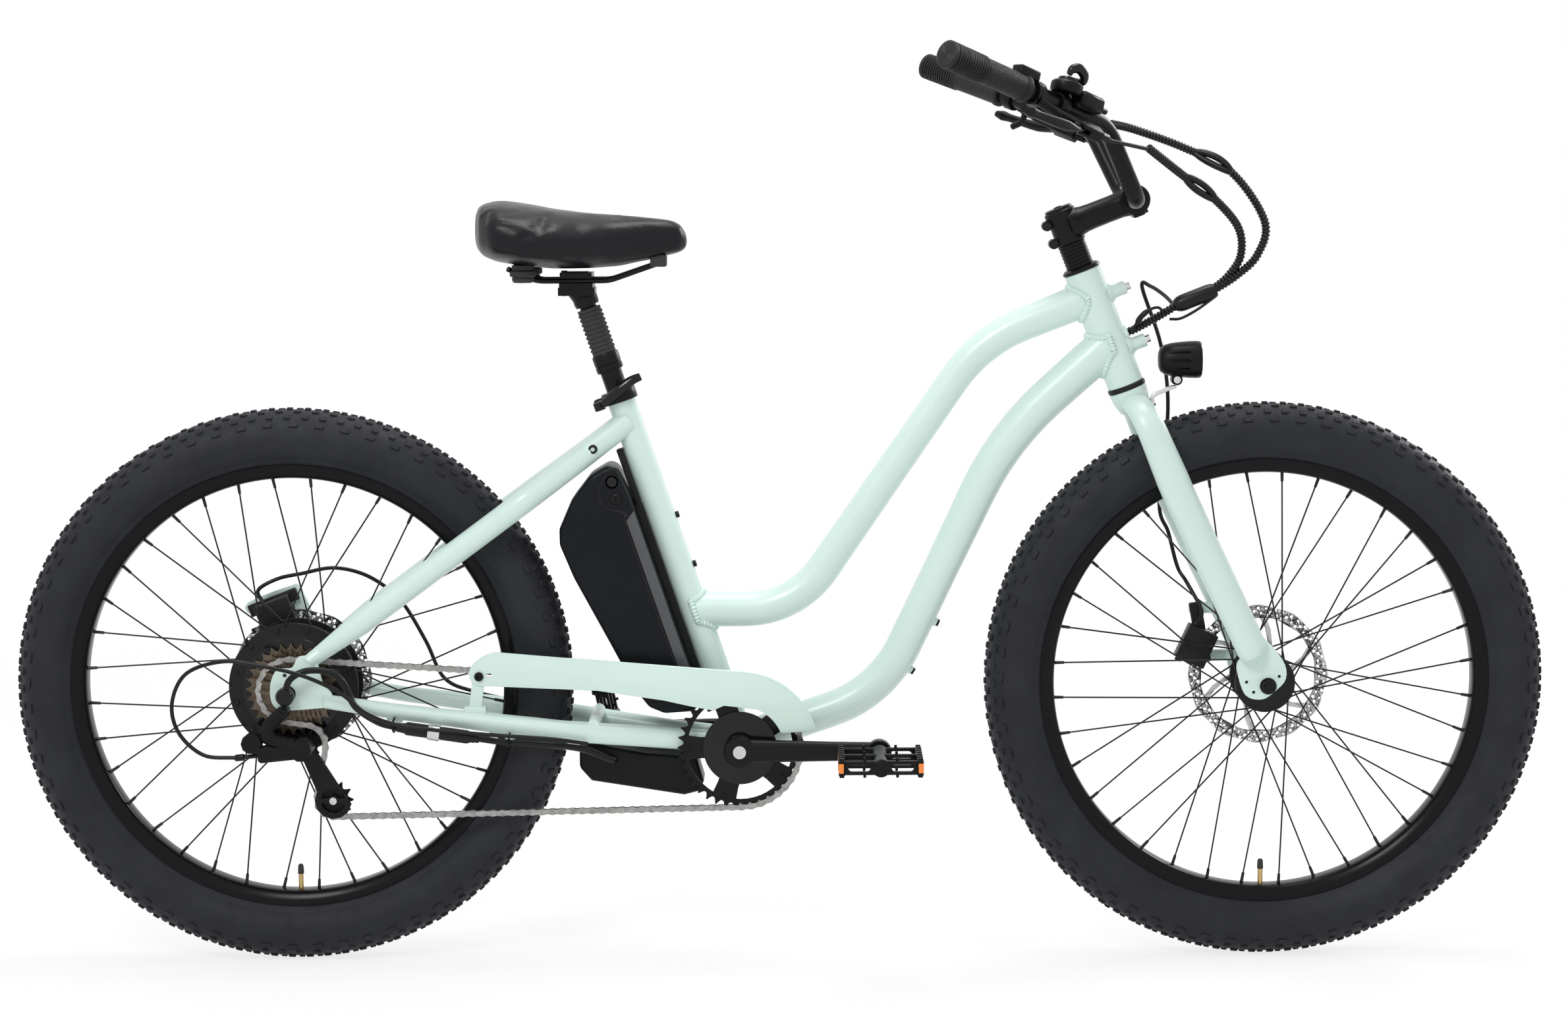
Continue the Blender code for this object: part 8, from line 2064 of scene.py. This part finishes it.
    @staticmethod
    def section(share: float) -> tuple[float, float, float, float]:
        """Half width, top, underside and crown of the saddle at a share of its length."""
        stops = ((0.0, 0.05, 0.092, 0.04, 0.0), (0.035, 0.082, 0.098, 0.03, 0.2),
            (0.1, 0.103, 0.0985, 0.024, 0.6), (0.22, 0.11, 0.0915, 0.0185, 1.0),
            (0.38, 0.104, 0.084, 0.015, 1.0), (0.52, 0.076, 0.08, 0.015, 1.0),
            (0.66, 0.046, 0.079, 0.017, 1.0), (0.8, 0.031, 0.079, 0.024, 0.8),
            (0.92, 0.025, 0.076, 0.031, 0.3), (0.98, 0.018, 0.068, 0.035, 0.0),
            (1.0, 0.008, 0.056, 0.04, 0.0))
        for low, high in zip(stops, stops[1:]):
            if share <= high[0]:
                mix = (share - low[0]) / (high[0] - low[0])
                mix = mix * mix * (3.0 - 2.0 * mix) * 0.35 + mix * 0.65
                return tuple(a + (b - a) * mix for a, b in zip(low[1:], high[1:]))
        return stops[-1][1:]

    def swell(self, piece: bpy.types.Object) -> None:
        """Let the cover swell like cloth over its padding while its underside is held."""
        Bench.modify(piece, "REMESH", mode="VOXEL", voxel_size=self.weave)
        starts = [corner.co.copy() for corner in piece.data.vertices]
        pins = piece.vertex_groups.new(name="held_underside")
        pins.add([corner.index for corner in piece.data.vertices if corner.co.z < self.middle.z
            + self.held_height], 1.0, "REPLACE")
        modifier = piece.modifiers.new("cloth", "CLOTH")
        modifier.settings.vertex_group_mass = pins.name
        modifier.settings.use_pressure = True
        modifier.settings.uniform_pressure_force = self.pressure
        modifier.settings.effector_weights.gravity = 0.0
        for frame in range(1, self.last_frame + 1):
            bpy.context.scene.frame_set(frame)
        Bench.take(piece)
        bpy.ops.object.modifier_apply(modifier=modifier.name)
        bpy.context.scene.frame_set(1)
        moves = [corner.co - start for corner, start in zip(piece.data.vertices, starts)]
        LOG.info("the cover swells by %.1f mm at most", 1000.0 * max(move.length for move in moves))
        for corner, start, move in zip(piece.data.vertices, starts, moves):
            corner.co = start + move * min(1.0, self.swell_cap / max(move.length, 1e-09))
        piece.vertex_groups.clear()

    def saddle(self) -> None:
        """The padded saddle: a lofted cover that swells as cloth, subdivided smooth."""
        stations, sides = 34, 32
        Bench.clear()
        bpy.ops.mesh.primitive_grid_add(x_subdivisions=stations - 1, y_subdivisions=sides, size=1.0)
        piece = bpy.context.object
        piece.name = "saddle_cover"
        columns = {}
        for corner in piece.data.vertices:
            columns[corner.index] = (round((corner.co.x + 0.5) * (stations - 1)),
                round((corner.co.y + 0.5) * sides))
        for corner in piece.data.vertices:
            station, side = columns[corner.index]
            share = station / (stations - 1)
            x = self.start + self.length * share
            half, top, foot, crown = self.section(share)
            angle = 2.0 * math.pi * (side + 0.5) / sides
            across = math.copysign(abs(math.cos(angle)) ** 0.75, math.cos(angle))
            rise = math.sin(angle)
            if rise >= 0.0:
                height = (top - foot) * 0.45 + (top - foot) * 0.55 * rise ** 0.7
                width = half * across
            else:
                height = (top - foot) * 0.45 * (1.0 - (-rise) ** 0.6)
                width = half * across * (1.0 + 0.1 * rise)
            dip = 0.0035 * math.exp(-(width / 0.012) ** 2) * crown if rise > 0.0 else 0.0
            corner.co = near(self.middle, x, width, foot + height - dip)
        Bench.take(piece)
        bpy.ops.object.mode_set(mode="EDIT")
        bpy.ops.mesh.select_all(action="SELECT")
        bpy.ops.mesh.remove_doubles(threshold=1e-05)
        bpy.ops.mesh.select_all(action="DESELECT")
        bpy.ops.mesh.select_non_manifold()
        bpy.ops.mesh.edge_face_add()
        bpy.ops.mesh.select_all(action="SELECT")
        bpy.ops.mesh.normals_make_consistent(inside=False)
        bpy.ops.object.mode_set(mode="OBJECT")
        self.swell(piece)
        Bench.modify(piece, "SUBSURF", levels=1, render_levels=1)
        Bench.shade(piece, math.radians(60.0))
        Shop.fit(piece, Body.SEAT, Finishes.SADDLE, "saddle")

    def build(self) -> None:
        """Model the seat from the collar up."""
        self.post()
        self.bellows()
        self.head()
        self.saddle()


@dataclass
class Power:
    """The battery with its rail, switch and lock, and the controller under the bracket."""

    gap: float = 0.0095

    def build(self) -> None:
        """Model the battery and the controller."""
        face, half = 0.0176 + self.gap, 0.042
        corners = [(face, 0.072), (face, 0.352), (face + 0.004, 0.382), (face + 0.012, 0.392),
            (face + 0.04, 0.386), (face + 0.07, 0.366), (face + 0.098, 0.335), (face + 0.104, 0.316),
            (face + 0.101, 0.27), (face + 0.086, 0.18), (face + 0.075, 0.11), (face + 0.066, 0.084),
            (face + 0.05, 0.07), (face + 0.012, 0.06)]
        spots = [at_seat(back, 0.0, up) for back, up in corners]
        middle = spots[-1].lerp(spots[0], 0.5)
        outline = stepped(rounded([middle] + spots + [middle], [0.012] * len(spots), 8.0), 0.004)[:-1]
        case = Bench.pebble("battery_case", outline, half, 0.0075)
        Bench.cut(case, Bench.brick("groove", at_seat(face + 0.002, 0.0, 0.19), (0.012, 0.0206, 0.3),
            SEAT_BACK, SEAT_UP, 0.0))
        for spot, radius in ((Vector((-0.207504, 0.0, 0.61697)), 0.0083), (Vector((-0.202345, 0.0, 0.59549)),
                0.0078)):
            Bench.cut(case, Bench.rod("recess", spot - SIDE * 0.06, spot - SIDE * 0.0315, radius, 32))
        Shop.fit(Bench.shade(case, math.radians(30.0)), Body.BATTERY, Finishes.CASE, "battery")
        seam = [Vector((x, 0.0, z)) for x, z in ((-0.214, 0.6275), (-0.223, 0.611), (-0.222, 0.5935),
            (-0.211, 0.583), (-0.195, 0.579), (-0.187, 0.573))]
        seam = flowing(seam + [at_seat(face + 0.0165, 0.0, 0.3), at_seat(face + 0.0165, 0.0, 0.075)], 8)
        ribs = [Bench.runs("seam", [[point + SIDE * (side * (half - 0.0004)) for point in seam]], 0.0013, 10)
            for side in (RIGHT, LEFT)]
        Shop.fit(Bench.join("battery_seams", ribs), Body.BATTERY, Finishes.BLACK_GLOSS)
        strips = []
        for side in (RIGHT, LEFT):
            low, high = sorted((side * (half - 0.004), side * (half + 0.0003)))
            strip = [at_seat(back, 0.0, up) for back, up in ((face + 0.0012, 0.076), (face + 0.0012, 0.327),
                (face + 0.014, 0.318), (face + 0.014, 0.07))]
            strips.append(Bench.plate("strip", [(p.x, p.z) for p in strip], low, high, 0.0006))
        Shop.fit(Bench.join("battery_strips", strips), Body.BATTERY, Finishes.RAIL)
        Shop.refit("battery_rail", "battery_dock", Body.FRAME, Finishes.DOCK, edge=0.0005, segments=1)
        Shop.fit(Bench.brick("rail_tail", at_seat(0.0222, 0.0, 0.3675), (0.0083, 0.019, 0.073), SEAT_BACK,
            SEAT_UP, 0.0012), Body.FRAME, Finishes.DOCK)
        Shop.refit("switch_rocker", "power_switch", Body.SWITCH, Finishes.BLACK_GLOSS, edge=0.0005,
            segments=2)
        Shop.refit("lock_barrel", "battery_lock", Body.LOCK, Finishes.BLACK_PAINT, edge=0.0004, segments=2)
        Shop.refit("controller_case", "controller_box", Body.FRAME, Finishes.PLASTIC, edge=0.0015, segments=3)


class Studio:
    """The floor, the lamps, the world and the camera."""

    floor_size: float = 40.0
    fill_strength: float = 0.6
    camera_place: tuple[float, float, float] = 0.03636, -4.09667, 1.03877
    camera_turns: tuple[float, float, float] = -0.393, 6.419, -0.396
    camera_lens: float = 74.57
    sensor_width: float = 36.0
    lamps: tuple = (("key_lamp", (-1.6, -3.2, 3.6), 1.3, 75.0), ("top_lamp", (0.4, 0.3, 4.2), 1.8, 75.0),
        ("rim_lamp", (2.6, 2.2, 2.2), 1.2, 40.0))

    @staticmethod
    def floor() -> None:
        """A wide pale floor."""
        Bench.clear()
        bpy.ops.mesh.primitive_plane_add(size=Studio.floor_size, location=(0.0, 0.0, 0.0))
        plane = bpy.context.object
        plane.name = "studio_floor"
        material = bpy.data.materials.new("pale_floor")
        material.use_nodes = True
        tree = material.node_tree
        shader = tree.nodes["Principled BSDF"]
        shader.inputs["Base Color"].default_value = (0.93, 0.93, 0.93, 1.0)
        shader.inputs["Roughness"].default_value = 0.85
        shader.inputs["Specular IOR Level"].default_value = 0.0
        glow = tree.nodes.new("ShaderNodeEmission")
        place = tree.nodes.new("ShaderNodeTexCoord")
        reach = tree.nodes.new("ShaderNodeVectorMath")
        reach.operation = "LENGTH"
        fade = tree.nodes.new("ShaderNodeMapRange")
        fade.inputs["From Min"].default_value = 0.8
        fade.inputs["From Max"].default_value = 3.2
        fade.inputs["To Min"].default_value = 0.78
        fade.inputs["To Max"].default_value = 1.0
        share = tree.nodes.new("ShaderNodeMath")
        share.operation = "MULTIPLY"
        mix = tree.nodes.new("ShaderNodeMixShader")
        tree.links.new(place.outputs["Object"], reach.inputs[0])
        tree.links.new(reach.outputs["Value"], fade.inputs["Value"])
        tree.links.new(fade.outputs["Result"], share.inputs[0])
        tree.links.new(Studio.seen_rays(tree), share.inputs[1])
        tree.links.new(share.outputs["Value"], mix.inputs["Fac"])
        tree.links.new(shader.outputs["BSDF"], mix.inputs[1])
        tree.links.new(glow.outputs["Emission"], mix.inputs[2])
        tree.links.new(mix.outputs["Shader"], tree.nodes["Material Output"].inputs["Surface"])
        plane.data.materials.append(material)

    @staticmethod
    def seen_rays(tree: bpy.types.NodeTree) -> bpy.types.NodeSocket:
        """One for the rays that show the background, straight on or in gloss or glass."""
        path = tree.nodes.new("ShaderNodeLightPath")
        total = path.outputs["Is Camera Ray"]
        for name in ("Is Glossy Ray", "Is Transmission Ray"):
            larger = tree.nodes.new("ShaderNodeMath")
            larger.operation = "MAXIMUM"
            tree.links.new(total, larger.inputs[0])
            tree.links.new(path.outputs[name], larger.inputs[1])
            total = larger.outputs["Value"]
        return total

    @staticmethod
    def lamp(name: str, place: tuple[float, float, float], size: float, power: float) -> None:
        """A soft square lamp that looks at the middle of the bicycle."""
        light = bpy.data.lights.new(name, "AREA")
        light.shape = "SQUARE"
        light.size = size
        light.energy = power
        lamp = bpy.data.objects.new(name, light)
        bpy.context.scene.collection.objects.link(lamp)
        lamp.location = place
        lamp.rotation_euler = (Vector((0.0, 0.0, 0.55)) - Vector(place)).to_track_quat("-Z", "Y").to_euler()

    @staticmethod
    def world() -> None:
        """A white surround, seen as white by the camera and dimmer as light."""
        world = bpy.data.worlds.new("studio")
        bpy.context.scene.world = world
        world.use_nodes = True
        tree = world.node_tree
        tree.nodes.clear()
        out = tree.nodes.new("ShaderNodeOutputWorld")
        mix = tree.nodes.new("ShaderNodeMixShader")
        fill, seen = tree.nodes.new("ShaderNodeBackground"), tree.nodes.new("ShaderNodeBackground")
        fill.inputs["Color"].default_value = (1.0, 1.0, 1.0, 1.0)
        fill.inputs["Strength"].default_value = Studio.fill_strength
        seen.inputs["Color"].default_value = (1.0, 1.0, 1.0, 1.0)
        seen.inputs["Strength"].default_value = 1.0
        tree.links.new(Studio.seen_rays(tree), mix.inputs["Fac"])
        tree.links.new(fill.outputs["Background"], mix.inputs[1])
        tree.links.new(seen.outputs["Background"], mix.inputs[2])
        tree.links.new(mix.outputs["Shader"], out.inputs["Surface"])

    @staticmethod
    def camera() -> None:
        """The camera at the photograph's place, angle and lens."""
        yaw, pitch, roll = (math.radians(turn) for turn in Studio.camera_turns)
        ahead = Vector((math.sin(yaw) * math.cos(pitch), math.cos(yaw) * math.cos(pitch), -math.sin(pitch)))
        right = Vector((math.cos(yaw), -math.sin(yaw), 0.0))
        upward = right.cross(ahead)
        turned_right = right * math.cos(roll) + upward * math.sin(roll)
        turned_up = upward * math.cos(roll) - right * math.sin(roll)
        data = bpy.data.cameras.new("photo_camera")
        data.sensor_width = Studio.sensor_width
        data.lens = Studio.camera_lens
        camera = bpy.data.objects.new("photo_camera", data)
        bpy.context.scene.collection.objects.link(camera)
        frame = Matrix((turned_right, turned_up, -ahead)).transposed().to_4x4()
        camera.matrix_world = Matrix.Translation(Studio.camera_place) @ frame
        bpy.context.scene.camera = camera

    def build(self) -> None:
        """Set up the studio."""
        self.floor()
        self.world()
        for name, place, size, power in self.lamps:
            self.lamp(name, place, size, power)
        self.camera()
        bpy.context.scene.view_settings.view_transform = "Standard"


def main() -> None:
    """Load the frame, dress it piece by piece and light it."""
    logging.basicConfig(level=logging.INFO, format="%(name)s: %(message)s")
    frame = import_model()
    Shop.nodes = frame["nodes"]
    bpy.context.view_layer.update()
    Studio().build()
    cockpit = Cockpit()
    FrameSet().build()
    Fork().build()
    Wheel("front", FRONT, Body.FRONT_WHEEL, flange_radius=0.034, flange_offset=0.027, lean=55.0,
        lift=0.0017).build()
    Wheel("rear", REAR, Body.REAR_WHEEL, flange_radius=0.0795, flange_offset=0.022, lean=22.0,
        lift=0.004).build()
    Hubs().build()
    DriveTrain().build()
    cockpit.build()
    Brakes().build()
    Cables().build(cockpit)
    Seat().build()
    Power().build()
    LOG.info("%d pieces", Shop.count)


if __name__ == "__main__":
    main()
